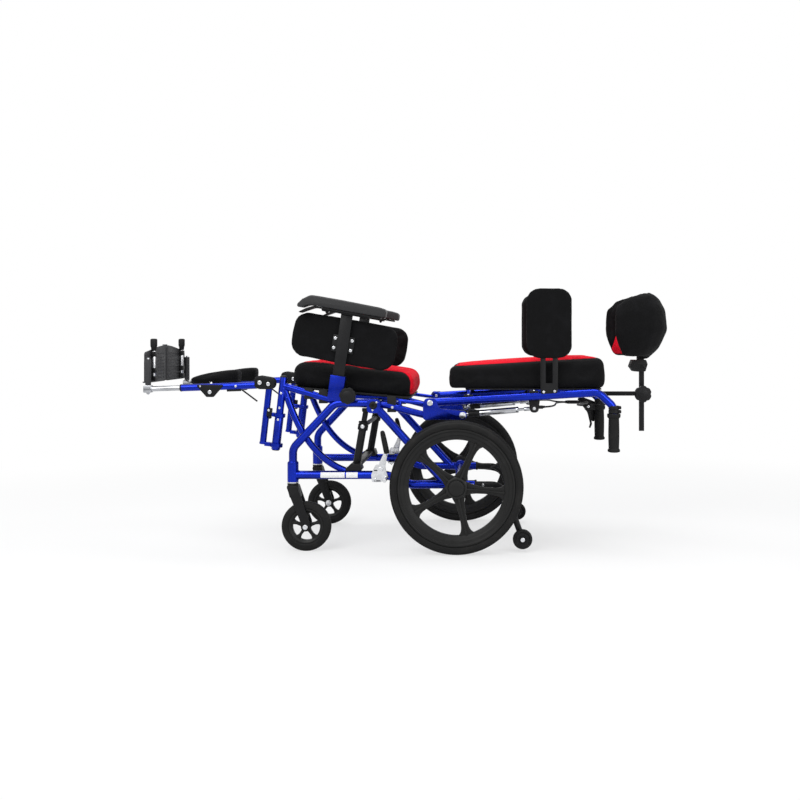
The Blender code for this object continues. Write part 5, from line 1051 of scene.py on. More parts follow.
@dataclass
class CasterUnit(SubAssembly):
    """A caster: its fork, its five-spoke wheel and its solid tyre."""

    side: Side
    radius: float = 0.076
    width: float = 0.028
    rim: float = 0.0535
    window: float = 0.0425
    hub: float = 0.014
    trail: float = 0.042

    def build(self) -> None:
        """Makes the fork and the wheel."""
        label = self.side.name_word
        y = self.side.y(HALF_WIDTH)
        centre = Vector((CASTER_X + self.trail, y, self.radius))
        self.fork(centre).finish(f"{label}_caster_fork_pressed", f"{label}_caster", BLACK,
            [f"{label}_caster_fork"])
        self.bolts(centre).finish(f"{label}_caster_bolt", f"{label}_caster", STEEL)
        place = Matrix.Translation(centre) @ SIDE_VIEW
        half = self.width / 2
        tyre = Outline.rounded(Outline.both_sides([(self.radius, 0.0075),
            (self.radius - 0.008, half - 0.0012), (self.rim + 0.004, half),
            (self.rim - 0.001, half - 0.003)]), 0.004, 4)
        Shape.lathe(tyre, place, 72, closed=True).finish(f"{label}_caster_tyre", f"{label}_front_wheel",
            SOLID_TYRE)
        self.wheel(place).finish(f"{label}_caster_rim", f"{label}_front_wheel", WHEEL_PLASTIC,
            [f"{label}_caster_wheel"])

    def fork(self, centre: Vector) -> Shape:
        """Crown, two legs and the bridge over the tyre."""
        x, y = CASTER_X, centre.y
        crown = HOUSING_FOOT - GAP
        inside, outside = self.width / 2 + 0.0015, self.width / 2 + 0.0065
        low = 2 * self.radius + 0.010
        leg = Outline.rounded([(x - 0.0165, crown - 0.009), (x + 0.0175, crown - 0.009),
            (x + 0.030, low + 0.002), (centre.x + 0.0135, centre.z + 0.012),
            (centre.x + 0.0125, centre.z - 0.0135), (centre.x - 0.0125, centre.z - 0.0135),
            (centre.x - 0.0150, centre.z + 0.014), (x - 0.004, low + 0.004)],
            [0.003, 0.003, 0.03, 0.02, 0.0125, 0.0125, 0.02, 0.03], 6)
        bridge = Outline.rounded([(x - 0.0165, crown - 0.006), (x + 0.0175, crown - 0.006),
            (x + 0.0275, low + 0.003), (x - 0.006, low + 0.003)], 0.004)
        shape = Shape()
        shape.add(Shape.lathe([(0, crown - 0.014), (0.016, crown - 0.014), (0.017, crown - 0.012),
            (0.017, crown - 0.0015), (0.0158, crown), (0, crown)],
            Matrix.Translation((x, y, 0)), 36),
            Shape.rod((x, y, crown - 0.004), (x, y, HOUSING_FOOT + 0.050), 0.006),
            Shape.plate(bridge, y - outside + 0.001, y + outside - 0.001, edge=0.002))
        for face in (-1, 1):
            low_y, high_y = sorted((y + face * inside, y + face * outside))
            shape.add(Shape.plate(leg, low_y, high_y, edge=0.0013))
        return shape

    def bolts(self, centre: Vector) -> Shape:
        """The axle bolt with its head and nut."""
        out = Vector(self.side.out)
        reach = self.width / 2 + 0.0063
        shape = Shape.rod(centre - out * reach, centre + out * reach, 0.0049)
        return shape.add(Shape.screw(centre + out * reach, out, 0.0080, 0.0042),
            Shape.nut(centre - out * reach, -out, 0.0076, 0.0040))

    def wheel(self, place: Matrix) -> Shape:
        """Rim, hub and spokes of moulded plastic."""
        half = self.width / 2
        rim = Outline.rounded(Outline.both_sides([(self.rim + 0.0005, half - 0.003),
            (self.rim - 0.004, half - 0.0024), (self.window, half - 0.0065)]), 0.0016, 3)
        hub = Outline.rounded(Outline.both_sides([(0.0052, half), (self.hub - 0.003, half),
            (self.hub, half - 0.004)]), 0.001, 3)
        shape = Shape.lathe(rim, place, 60, closed=True).add(Shape.lathe(hub, place, 28, closed=True))
        web = [(0.011, 0.0075), (0.018, 0.0050), (0.030, 0.0042), (0.038, 0.0062), (0.0445, 0.0115)]
        outline = Outline.both_sides(web)
        spokes = Shape.plate(outline, -0.0065, 0.0065, Matrix.Rotation(math.radians(90), 4, "Z"), 0.0014)
        spokes.add(Shape.box((0.012, -0.0014, -0.0088), (0.044, 0.0014, 0.0088),
            Matrix.Rotation(math.radians(90), 4, "Z"), 0.0008))
        spokes.ring(5, (0, 0, 0), (0, 0, 1))
        return shape.add(spokes, place=place)


@dataclass
class DriveWheel(SubAssembly):
    """A rear wheel: five-spoke moulded wheel and an air tyre with a block tread."""

    side: Side
    radius: float = 0.203
    rim: float = 0.178
    window: float = 0.145
    hub: float = 0.033
    spokes: int = 5
    phase: float = 66.0
    blocks: int = 204

    def build(self) -> None:
        """Makes the wheel and its tyre."""
        label = self.side.name_word
        body = f"{label}_drive_wheel"
        place = Matrix.Translation((AXLE_X, self.side.y(WHEEL_Y), AXLE_Z)) @ self.side.outward
        self.moulding(place).finish(f"{label}_rear_wheel_moulded", body, WHEEL_PLASTIC,
            [f"{label}_rear_wheel"])
        self.tyre(place).finish(f"{label}_rear_tyre_treaded", body, AIR_TYRE, [f"{label}_rear_tyre"])
        stem = place @ Matrix.Rotation(math.radians(30), 4, "Z")
        stem = stem @ Matrix.Translation((self.window + 0.001, 0, 0.002))
        valve = Shape.lathe([(0, 0), (0.0035, 0), (0.0035, 0.006), (0.0026, 0.0075), (0.0026, 0.020),
            (0.0034, 0.0205), (0.0034, 0.0265), (0, 0.027)], stem @ turn_to((-1, 0, 0)), 16)
        valve.finish(f"{label}_rear_valve", body, PLASTIC)

    def moulding(self, place: Matrix) -> Shape:
        """Rim, hub with its cap, and spokes with a ridge along each."""
        rim = Outline.rounded(Outline.both_sides([(self.rim + 0.0002, 0.0165), (0.1770, 0.0195),
            (0.1715, 0.0195), (0.1695, 0.0165), (0.1600, 0.0150), (0.1575, 0.0125),
            (self.window, 0.0085)]), 0.0022, 3)
        hub = [(0.0066, -0.025), (0.028, -0.025), (0.0320, -0.0235), (self.hub, -0.021),
            (self.hub, 0.0135), (0.0318, 0.0165), (0.0285, 0.0180), (0.0262, 0.0182), (0.0258, 0.0168),
            (0.0240, 0.0168), (0.0236, 0.0205), (0.0222, 0.0222), (0.0160, 0.0240), (0.0090, 0.0248),
            (0, 0.0250), (0, 0.0182), (0.0066, 0.0182)]
        shape = Shape.lathe(rim, IDENTITY, 108, closed=True)
        shape.add(Shape.lathe(hub, IDENTITY, 48, closed=True))
        web = [(0.022, 0.0215), (0.034, 0.0185), (0.046, 0.0145), (0.062, 0.0118), (0.085, 0.0102),
            (0.108, 0.0102), (0.124, 0.0122), (0.135, 0.0160), (0.1425, 0.0225), (0.1475, 0.0330)]
        outline = Outline.both_sides(web)
        turn = Matrix.Rotation(math.radians(self.phase), 4, "Z")
        spokes = Shape.plate(outline, -0.0062, 0.0062, turn, 0.0030, 3)
        ridge = Outline.both_sides([(0.026, 0.0170), (0.060, 0.0120), (0.105, 0.0098), (0.146, 0.0125)])
        upright = turn @ Matrix.Rotation(math.radians(90), 4, "X")
        spokes.add(Shape.plate(ridge, -0.0026, 0.0026, upright, 0.0014))
        spokes.ring(self.spokes, (0, 0, 0), (0, 0, 1))
        return Shape().add(shape.add(spokes), place=place)

    def tyre(self, place: Matrix) -> Shape:
        """Carcass with stepped side walls, and rows of tread blocks."""
        half = [(self.rim + 0.0004, 0.0170), (0.1800, 0.0192), (0.1830, 0.0200), (0.1836, 0.0209),
            (0.1852, 0.0213), (0.1860, 0.0207), (0.1895, 0.0212), (0.1925, 0.0208), (0.1950, 0.0196),
            (0.1974, 0.0176), (0.1993, 0.0148), (0.2005, 0.0112), (0.2011, 0.0060)]
        profile = Outline.both_sides(half)
        shape = Shape.lathe(profile, IDENTITY, 120, closed=True)
        pitch = 2 * math.pi / self.blocks
        rows = ((0.0042, 0.2016, 4.0, 0.0072, 18.0, 0.0), (-0.0042, 0.2016, -4.0, 0.0072, -18.0, 0.5),
            (0.0122, 0.2000, 22.0, 0.0080, -14.0, 0.25), (-0.0122, 0.2000, -22.0, 0.0080, 14.0, 0.75))
        for offset, radius, roll, width, slant, shift in rows:
            block = Shape.box((-0.0012, -0.0020, -width / 2), (0.0012, 0.0020, width / 2), edge=0)
            lean = Matrix.Rotation(pitch * shift, 4, "Z") @ Matrix.Translation((radius, 0, offset))
            lean = lean @ Matrix.Rotation(math.radians(-roll), 4, "Y")
            block.bm.transform(lean @ Matrix.Rotation(math.radians(slant), 4, "X"))
            shape.add(block.ring(self.blocks, (0, 0, 0), (0, 0, 1)))
        return Shape().add(shape, place=place)


@dataclass
class Brake(SubAssembly):
    """A push-to-lock brake on the lower rail."""

    side: Side
    pivot_x: float = -0.086
    pivot_z: float = 0.2533
    plate: float = 0.004
    low: float = 0.2185

    def build(self) -> None:
        """Makes the bracket, the lever and its grip."""
        label, side = self.side.name_word, self.side
        x, z, low = self.pivot_x, self.pivot_z, self.low
        high = low + self.plate
        rail_x = x - 0.012
        outline = Outline.rounded([(rail_x - 0.016, RAIL_Z - 0.020), (rail_x + 0.016, RAIL_Z - 0.020),
            (x + 0.015, z - 0.004), (x + 0.012, z + 0.014), (x - 0.016, z + 0.014),
            (rail_x - 0.018, RAIL_Z + 0.004)], 0.006, 4)
        bracket = Shape.plate(outline, low, high, side.outward, 0.0007)
        for offset in (0.0135, -0.0185):
            ends = sorted((side.y(HALF_WIDTH - 0.017), side.y(high)))
            bracket.add(Shape.box((rail_x - 0.010, ends[0], RAIL_Z + offset),
                (rail_x + 0.012, ends[1], RAIL_Z + offset + 0.005), edge=0.0009))
        bracket.add(Shape.across(x, z, side.y(low), side.y(high + 0.0085), 0.0044),
            Shape.screw((x, side.y(high + 0.0060), z), side.out, 0.0072, 0.0044),
            Shape.screw((rail_x - 0.004, side.y(high - 0.0002), RAIL_Z - 0.012), side.out, 0.0044,
                0.0030),
            Shape.nut((rail_x + 0.001, side.y(HALF_WIDTH - 0.0125), RAIL_Z + 0.0185), (0, 0, 1), 0.0044,
                0.0038),
            Shape.nut((rail_x + 0.001, side.y(HALF_WIDTH - 0.0125), RAIL_Z - 0.0185), (0, 0, -1),
                0.0044, 0.0038))
        bracket.finish(f"{label}_brake_clamp", "base", STEEL, [f"{label}_brake_bracket"])
        self.lever(high + GAP).finish(f"{label}_brake_lever_pressed", f"{label}_brake", STEEL,
            [f"{label}_brake_lever"])
        grip = Shape.lathe([(0, -0.004), (0.0062, -0.004), (0.0082, -0.002), (0.0088, 0.006),
            (0.0086, 0.030), (0.0080, 0.052), (0.0070, 0.062), (0.0050, 0.0665), (0, 0.0680)],
            Matrix.Translation((x + 0.018, side.y(high + GAP + 0.002), z + 0.052))
            @ turn_to((-0.21, 0, 0.978)), 24)
        grip.finish(f"{label}_brake_grip", f"{label}_brake", GRIP)

    def lever(self, low: float) -> Shape:
        """The pressed lever with its shoe, and the link to its pivot."""
        side, x, z = self.side, self.pivot_x, self.pivot_z
        high = low + self.plate
        shoe_z = RAIL_Z - 0.008
        shoe_x = AXLE_X - math.sqrt(0.218 ** 2 - (shoe_z - AXLE_Z) ** 2)
        outline = Outline.rounded([(x - 0.011, z - 0.008), (shoe_x - 0.006, shoe_z - 0.008),
            (shoe_x + 0.008, shoe_z + 0.002), (x + 0.013, z + 0.004), (x + 0.0225, z + 0.056),
            (x + 0.0130, z + 0.058), (x - 0.009, z + 0.010)],
            [0.006, 0.005, 0.005, 0.008, 0.002, 0.002, 0.008], 4)
        y_mid = side.y(low + 0.002)
        lever = Shape.plate(outline, low, high, side.outward, 0.0007)
        return lever.add(Shape.across(shoe_x, shoe_z, side.y(low), side.y(WHEEL_Y + 0.012), 0.006,
            edge=0.0014),
            Shape.rod((x + 0.016, y_mid, z + 0.040), (x + 0.0165, y_mid, z + 0.056), 0.0034),
            Shape.screw((shoe_x, side.y(high - 0.0002), shoe_z), side.out, 0.0066, 0.0030))


@dataclass
class AntiTipper(SubAssembly):
    """An anti-tip leg in the frame's receiver, with its small wheel."""

    side: Side
    reach: float = 0.204
    radius: float = 0.030
    lift: float = 0.0095
    width: float = 0.020
    leg: float = 0.0095

    def build(self) -> None:
        """Makes the leg and the wheel."""
        label, side = self.side.name_word, self.side
        y, z = side.y(HALF_WIDTH), self.lift + self.radius
        x, height = AXLE_X + self.reach, AXLE_Z + 0.001
        low = HALF_WIDTH + self.leg + 0.001
        hub = Vector((x - 0.003, side.y(low + self.width / 2), z))
        leg = Shape.pipe([(AXLE_X + 0.028, y, height), (AXLE_X + 0.140, y, height), (x, y, z - 0.010)],
            self.leg, 0.050, 22)
        leg.add(Shape.across(x - 0.003, z, y, side.y(low + self.width + 0.001), 0.0039),
            Shape.across(x - 0.0035, z, side.y(HALF_WIDTH - 0.0105), side.y(HALF_WIDTH + 0.0105),
                0.0105, edge=0.0012))
        leg.finish(f"{label}_anti_tip_leg_bent", "base", BLACK, [f"{label}_anti_tip_leg"])
        button = (AXLE_X + 0.080, side.y(HALF_WIDTH + self.leg - 0.0006), height)
        bright = Shape.lathe([(0, 0), (0.0040, 0), (0.0040, 0.0014), (0.0030, 0.0028), (0, 0.0033)],
            Matrix.Translation(button) @ turn_to(side.out), 20)
        bright.add(Shape.screw((x - 0.003, side.y(low + self.width + 0.0004), z), side.out, 0.0068, 0.0036))
        bright.finish(f"{label}_anti_tip_button", "base", STEEL)
        half = self.width / 2
        tyre = Outline.rounded(Outline.both_sides([(0.0215, half - 0.0030), (0.0235, half),
            (self.radius - 0.002, half - 0.001), (self.radius, half - 0.005)]), 0.0016, 3)
        core = Outline.rounded(Outline.both_sides([(0.0043, half), (0.0105, half),
            (0.0120, half - 0.0035), (0.0200, half - 0.0040), (0.0218, half - 0.0020)]), 0.0010,
            3)
        place = Matrix.Translation(hub) @ SIDE_VIEW
        Shape.lathe(tyre, place, 48, closed=True).finish(f"{label}_anti_tip_tyre", f"{label}_tip_wheel",
            SMALL_TYRE)
        wheel = Shape.lathe(core, IDENTITY, 40, closed=True)
        wheel.add(Shape.box((0.0110, -0.0011, -0.0084), (0.0212, 0.0011, 0.0084), edge=0.0005).ring(6,
            (0, 0, 0), (0, 0, 1)))
        Shape().add(wheel, place=place).finish(f"{label}_anti_tip_core", f"{label}_tip_wheel", PLASTIC,
            [f"{label}_anti_tip_wheel"])


class Knob:
    """A hand knob with a scalloped rim."""

    @staticmethod
    def shape(radius: float, length: float, place: Matrix, lobes: int = 8, depth: float = 0.09) -> Shape:
        """The knob, turned about local Z and standing on it.

        Args:
            radius: Over the lobes.
            length: Along its axis.
            place: Its place.
            lobes: How many lobes.
            depth: The scallops' depth as a share of the radius.

        Returns:
            The shape.
        """
        outline = []
        for step in range(lobes * 10):
            angle = 2 * math.pi * step / (lobes * 10)
            reach = radius * (1 - depth * max(0.0, math.cos(lobes * angle)) ** 1.5)
            outline.append((reach * math.cos(angle), reach * math.sin(angle)))
        head = Shape.plate(outline, 0.006, length, IDENTITY, 0.0026, 3)
        cap = Shape.lathe([(0, length - 0.001), (radius * 0.62, length - 0.001),
            (radius * 0.60, length + 0.0008), (radius * 0.52, length + 0.0018),
            (0, length + 0.0026)], IDENTITY, 32)
        collar = Shape.lathe([(0, 0), (radius * 0.42, 0), (radius * 0.50, 0.0015),
            (radius * 0.62, 0.0065), (0, 0.0065)], IDENTITY, 32)
        return Shape().add(head, cap, collar, place=place)


@dataclass
class Armrest(SubAssembly):
    """An armrest post with its pads' mounts, its foam arm pad and its clamping knob."""

    side: Side
    top: float = 0.2393
    foot: float = -0.0267
    half_w: float = 0.018
    half_t: float = 0.004
    length: float = 0.272
    width: float = 0.058
    thick: float = 0.033
    shift: float = -0.016
    plate_rise: float = 0.137

    def build(self) -> None:
        """Makes the post, the pad on its base strip, the screws and the knob."""
        label, side, place = self.side.name_word, self.side, arm_frame(self.side)
        body = f"{label}_armrest"
        rail = place @ tilted((0, 0, self.top), 2.0)
        plate = place @ tilted((0, 0, self.plate_rise), 2.2)
        inner = sorted((side.y(-self.half_t + 0.001), side.y(-self.half_t - 0.003)))
        post = Shape()
        post.add(Shape.box((-self.half_w, -self.half_t, self.foot),
            (self.half_w, self.half_t, self.top - 0.002), edge=0.0016), place=place)
        post.add(Shape.box((-0.034, inner[0], -0.026), (0.034, inner[1], 0.026), edge=0.0009), place=plate)
        post.add(Shape.box((-0.076, -0.013, -0.0105), (0.070, 0.013, -0.0045), edge=0.0012), place=rail)
        for x in (-0.062, 0.058):
            post.add(Shape.nut((x, 0, -0.0102), (0, 0, -1), 0.0050, 0.0052), place=rail)
        post.finish(f"{label}_armrest_upright", body, BLACK, [f"{label}_armrest_post"])
        pad_place = rail @ Matrix.Translation((self.shift, 0, 0))
        self.pad(pad_place).finish(f"{label}_armrest_foam", body, ARM_FOAM, [f"{label}_armrest_pad"])
        strip = Outline.rounded([(-0.1290, -0.0265), (-0.1240, -0.0285), (-0.084, -0.0062),
            (0.122, -0.0062), (0.122, -0.0003), (-0.086, -0.0003), (-0.108, -0.0115)],
            [0.002, 0.002, 0.03, 0.002, 0.002, 0.03, 0.01], 5)
        base = Shape.plate(strip, -0.0215, 0.0215, SIDE_VIEW, 0.0009)
        Shape().add(base, place=pad_place).finish(f"{label}_armrest_strip", body, PLASTIC)
        screws = Shape()
        for x in (-0.0265, 0.0265):
            for rise in (-0.0150, 0.0150):
                screws.add(Shape.screw((x, side.y(-self.half_t + 0.0009), rise), side.out, 0.0050, 0.0030))
        Shape().add(screws, place=plate).finish(f"{label}_hip_pad_screws", body, STEEL)
        knob_place = place @ Matrix.Translation((0.041, side.y(0.0135), -0.016)) @ side.outward
        Knob.shape(0.0255, 0.0235, knob_place, 7, 0.10).finish(f"{label}_armrest_knob_fluted",
            f"{label}_arm_clamp", PLASTIC, [f"{label}_armrest_knob"])

    def pad(self, place: Matrix) -> Shape:
        """Self-skinned foam: a crowned bar whose front end droops."""
        half, thick = self.length / 2, self.thick
        outline = Outline.rounded([(half, 0), (half, thick * 0.84), (half - 0.022, thick * 0.93),
            (0, thick), (0.066 - half, thick), (0.036 - half, thick * 0.98),
            (0.015 - half, thick * 0.52), (-half, -0.003), (0.0015 - half, -0.012),
            (0.014 - half, -0.012), (0.034 - half, -0.001), (0.052 - half, 0)],
            [0.006, 0.012, 0.03, 0.05, 0.04, 0.03, 0.04, 0.008, 0.005, 0.006, 0.03, 0.03], 6)
        bar = Shape.plate(outline, -self.width / 2, self.width / 2, SIDE_VIEW, 0.0095, 5)
        for vert in bar.bm.verts:
            share = min(1.0, abs(vert.co.y) / (self.width / 2))
            if vert.co.z > thick * 0.5:
                vert.co.z -= 0.0022 * share * share
            vert.co.y *= 1 - 0.05 * max(0.0, abs(vert.co.x) / half) ** 3
        bar.bm.transform(place)
        return bar


@dataclass
class Legrest(SubAssembly):
    """A swing-away, elevating legrest with its extension and footplate."""

    side: Side
    knee_x: float = -0.463
    knee_z: float = 0.517
    slope: float = 2.0
    length: float = 0.237
    foot_x: float = -0.814
    hanger_length: float = 0.187

    def __post_init__(self) -> None:
        """Works out the leg's line."""
        turn = math.radians(self.slope)
        self.down = Vector((-math.cos(turn), 0, -math.sin(turn)))
        self.start = Vector((self.knee_x - 0.010, self.side.y(INNER_Y), self.knee_z - 0.0085))
        self.end = self.start + self.down * self.length

    def axis_z(self, x: float) -> float:
        """Height of the leg tube's axis at X."""
        return self.start.z + (x - self.start.x) * math.tan(math.radians(self.slope))

    def build(self) -> None:
        """Makes the hanger, the leg, the extension and the footplate."""
        self.hanger()
        self.leg()
        self.extension()
        self.footplate()

    def hanger(self) -> None:
        """The blue hanger tube with its clasps, the black knee plates and latch, and their bolts."""
        label, side = self.side.name_word, self.side
        body = f"{label}_hanger"
        y = side.y(INNER_Y)
        slope, ahead = POST_SLOPE, POST_AHEAD
        top = Vector((POST_X - 0.041, y, PIVOT_Z + 0.0585))
        foot = top - slope * self.hanger_length
        blue = Shape.pipe([top, foot], 0.010, sides=24)
        blue.add(Shape.rod(foot - slope * 0.001, foot + slope * 0.006, 0.0112, edge=0.001))
        for face in (-1, 1):
            blue.add(Shape.across(top.x, top.z, y + face * 0.0085, y + face * 0.0168, 0.0085))
        for rise, radius in ((-0.046 + 0.0068, 0.0114), (-0.1435 + 0.012, 0.0135)):
            centre = post_point(side, rise)
            reach = (top - centre).dot(ahead)
            axes = Matrix.Translation(centre) @ Matrix((ahead, Vector((0, 1, 0)),
                slope)).transposed().to_4x4()
            ring = Outline.both_sides([(radius + 0.0004, -0.006), (radius + 0.0055, -0.006),
                (radius + 0.0065, -0.005)])
            blue.add(Shape.lathe(ring, axes, 30, closed=True),
                Shape.box((radius + 0.003, -0.008, -0.006), (reach - 0.006, 0.008, 0.006), axes,
                    0.0012))
        blue.finish(f"{label}_hanger_tube", body, BLUE, [f"{label}_legrest_hanger"])
        knee = (self.knee_x, self.knee_z)
        outline = Outline.rounded([(top.x + 0.018, top.z - 0.017), (top.x + 0.018, top.z + 0.018),
            (knee[0] - 0.002, knee[1] + 0.022), (knee[0] - 0.017, knee[1] + 0.016),
            (knee[0] - 0.017, knee[1] - 0.014), (knee[0] - 0.002, knee[1] - 0.020)], 0.016, 7)
        plates = Shape.plate(outline, y + 0.0118, y + 0.0168, SIDE_VIEW, 0.0012)
        plates.add(Shape.plate(outline, y - 0.0168, y - 0.0118, SIDE_VIEW, 0.0012))
        latch = top - slope * 0.088 + Vector((0.010, side.y(0.006), 0))
        plates.add(Shape.box((-0.007, -0.006, -0.013), (0.009, 0.006, 0.013), tilted(latch, 6.4),
            0.0024, 3),
            Shape.rod(latch + Vector((0.004, 0, -0.016)),
                latch + Vector((0.004, side.y(0.012), -0.016)), 0.0042, edge=0.0012))
        plates.finish(f"{label}_knee_plates", body, BLACK)
        bright = Shape.across(knee[0], knee[1], y - 0.0175, y + 0.0175, 0.0049)
        for x, z, radius in ((knee[0], knee[1], 0.0068), (top.x, top.z, 0.0062)):
            for face in (-1, 1):
                bright.add(Shape.screw((x, y + face * 0.0166, z), (0, face, 0), radius, 0.0034))
        bright.add(Shape.rod(latch + Vector((0.0, side.y(0.0055), 0.006)),
            latch + Vector((0.0, side.y(0.0082), 0.006)), 0.0036))
        bright.finish(f"{label}_knee_bolts", body, STEEL)

    def leg(self) -> None:
        """The elevating tube, its clamp plate, the pad's arm and the release rod."""
        label, side = self.side.name_word, self.side
        body = f"{label}_legrest"
        y = side.y(INNER_Y)
        knee = Vector((self.knee_x, y, self.knee_z))
        bracket_x = self.knee_x - 0.155
        z = self.axis_z(bracket_x)
        blue = Shape.pipe([self.start + self.down * 0.004, self.end], 0.011, sides=26)
        blue.add(Shape.across(knee.x, knee.z, y - 0.0108, y + 0.0108, 0.0118, sides=30, edge=0.001))
        blue.finish(f"{label}_leg_tube_round", body, BLUE, [f"{label}_legrest_tube"])
        outline = Outline.rounded([(bracket_x - 0.040, z + 0.007), (bracket_x - 0.040, z + 0.002),
            (bracket_x - 0.011, z - 0.031), (bracket_x + 0.011, z - 0.031),
            (bracket_x + 0.040, z + 0.002), (bracket_x + 0.040, z + 0.007)], 0.005, 4)
        black = Shape.plate(outline, INNER_Y + 0.0095, INNER_Y + 0.0140, side.outward, 0.0008)
        arm_top = z + 0.010
        arm = sorted((y, side.y(INNER_Y - 0.098)))
        black.add(Shape.box((bracket_x - 0.014, arm[0], arm_top - 0.0062),
            (bracket_x + 0.014, arm[1], arm_top - 0.0002), edge=0.0014),
            Shape.pipe([(self.knee_x - 0.074, side.y(INNER_Y - 0.006), self.knee_z - 0.018),
                (self.knee_x - 0.074, side.y(INNER_Y - 0.0245), self.knee_z - 0.018),
                (self.knee_x - 0.018, side.y(INNER_Y - 0.0245), self.knee_z - 0.060)], 0.0025,
                0.008, 12),
            Shape.rod(self.start + self.down * 0.052 - Vector((0, 0, 0.0125)),
                self.start + self.down * 0.096 - Vector((0, 0, 0.0125)), 0.0042, edge=0.001),
            Shape.rod(self.end - self.down * 0.001, self.end + self.down * 0.004, 0.0118, 0.0108,
                edge=0.0008))
        black.finish(f"{label}_leg_brackets", body, BLACK)
        bright = Shape.screw((bracket_x, side.y(INNER_Y + 0.0138), z - 0.0155), side.out, 0.0062, 0.0036)
        bright.add(Shape.screw((bracket_x - 0.030, side.y(INNER_Y + 0.0138), z + 0.0025), side.out,
            0.0030, 0.0020),
            Shape.screw((self.start.x - 0.066, side.y(INNER_Y + 0.0106),
                self.axis_z(self.start.x - 0.066)), side.out, 0.0040, 0.0024),
            Shape.nut((bracket_x, y, arm_top - 0.0004), (0, 0, 1), 0.0044, 0.0040))
        bright.finish(f"{label}_leg_bolts", body, STEEL)

    def extension(self) -> None:
        """The bright telescopic rod and the block at its end that carries the footplate's pin."""
        label, y = self.side.name_word, self.side.y(INNER_Y)
        x, z = self.foot_x, self.axis_z(self.foot_x)
        inner_end = self.end - self.down * 0.113
        shape = Shape.pipe([inner_end, (x, y, z)], 0.008, sides=26)
        shape.add(Shape.box((x - 0.0120, y - 0.0110, z - 0.0110), (x + 0.0120, y + 0.0110, z + 0.0117),
            edge=0.0022, segments=3), Shape.rod((x, y, z + 0.010), (x, y, z + 0.097), 0.0039),
            Shape.nut((x, y, z - 0.0108), (0, 0, -1), 0.0050, 0.0045))
        for step in range(4):
            spot = self.end + self.down * (0.012 + 0.022 * step) + Vector((0, 0, 0.0078))
            shape.add(Shape.rod(spot - Vector((0, 0, 0.001)), spot + Vector((0, 0, 0.0008)), 0.0022,
                sides=14, edge=0.0003))
        shape.finish(f"{label}_extension_rod", f"{label}_extension", CHROME, [f"{label}_legrest_extension"])

    def footplate(self) -> None:
        """The studded plate with its hinge sleeve, and the post that it is lifted by."""
        label, side = self.side.name_word, self.side
        body = f"{label}_foot"
        y = side.y(INNER_Y)
        x, z = self.foot_x - 0.006, self.axis_z(self.foot_x) + 0.018
        across = Matrix(((0, 0, 1, 0), (side.value, 0, 0, 0), (0, 1, 0, 0), (0, 0, 0, 1)))
        face = Outline.rounded([(INNER_Y, z), (0.008, z), (0.008, z + 0.118), (0.060, z + 0.1136),
            (INNER_Y, z + 0.096)], [0.008, 0.008, 0.010, 0.02, 0.010], 5)
        plate = Shape.plate(face, x - 0.0072, x - 0.0022, across, 0.0010)
        for row in range(8):
            for column in range(9):
                stud = across @ Matrix.Translation((0.024 + 0.0150 * column, z + 0.014 + 0.0110 * row,
                    x - 0.0024))
                plate.add(Shape.lathe([(0, 0), (0.0030, 0), (0.0026, 0.0010), (0.0014, 0.0014),
                    (0, 0.0014)], stud, 10))
        rim = [(INNER_Y - 0.001, z + 0.001), (0.009, z + 0.001)], [(0.009, z + 0.001), (0.009, z + 0.116)]
        for (a, b), (c, d) in rim:
            plate.add(Shape.box((min(a, c), min(b, d), x - 0.0105),
                (max(a, c) + 0.004, max(b, d) + 0.004, x - 0.0030), across, 0.0010))
        foot_z = self.axis_z(self.foot_x)
        tie = sorted((y, side.y(INNER_Y - 0.018)))
        plate.add(Shape.lathe([(0.0044, foot_z + 0.0124), (0.0080, foot_z + 0.0124),
            (0.0086, foot_z + 0.0135), (0.0086, foot_z + 0.0915), (0.0080, foot_z + 0.0928),
            (0.0044, foot_z + 0.0928)], Matrix.Translation((self.foot_x, y, 0)), 28,
            closed=True),
            Shape.box((self.foot_x - 0.0135, tie[0], z + 0.004),
                (self.foot_x - 0.0062, tie[1], z + 0.068), edge=0.0010))
        plate.finish(f"{label}_footplate_studded", body, FOOT_PLASTIC, [f"{label}_footplate"])
        post_x, post_y = x + 0.0045, side.y(INNER_Y - 0.052)
        bright = Shape.rod((post_x, post_y, z + 0.004), (post_x, post_y, z + 0.105), 0.0060)
        bright.finish(f"{label}_footplate_rod", body, STEEL)
        post = Shape.lathe([(0, z + 0.100), (0.0074, z + 0.100), (0.0080, z + 0.102),
            (0.0086, z + 0.110), (0.0102, z + 0.114), (0.0106, z + 0.118), (0.0106, z + 0.134),
            (0.0096, z + 0.1375), (0.0060, z + 0.1388), (0, z + 0.139)],
            Matrix.Translation((post_x, post_y, 0)), 28)
        for rise in (0.004, 0.030, 0.082):
            post.add(Shape.box((post_x - 0.0085, post_y - 0.0095, z + rise),
                (post_x + 0.0075, post_y + 0.0095, z + rise + 0.016), edge=0.0018))
        post.finish(f"{label}_footplate_post", body, PLASTIC)


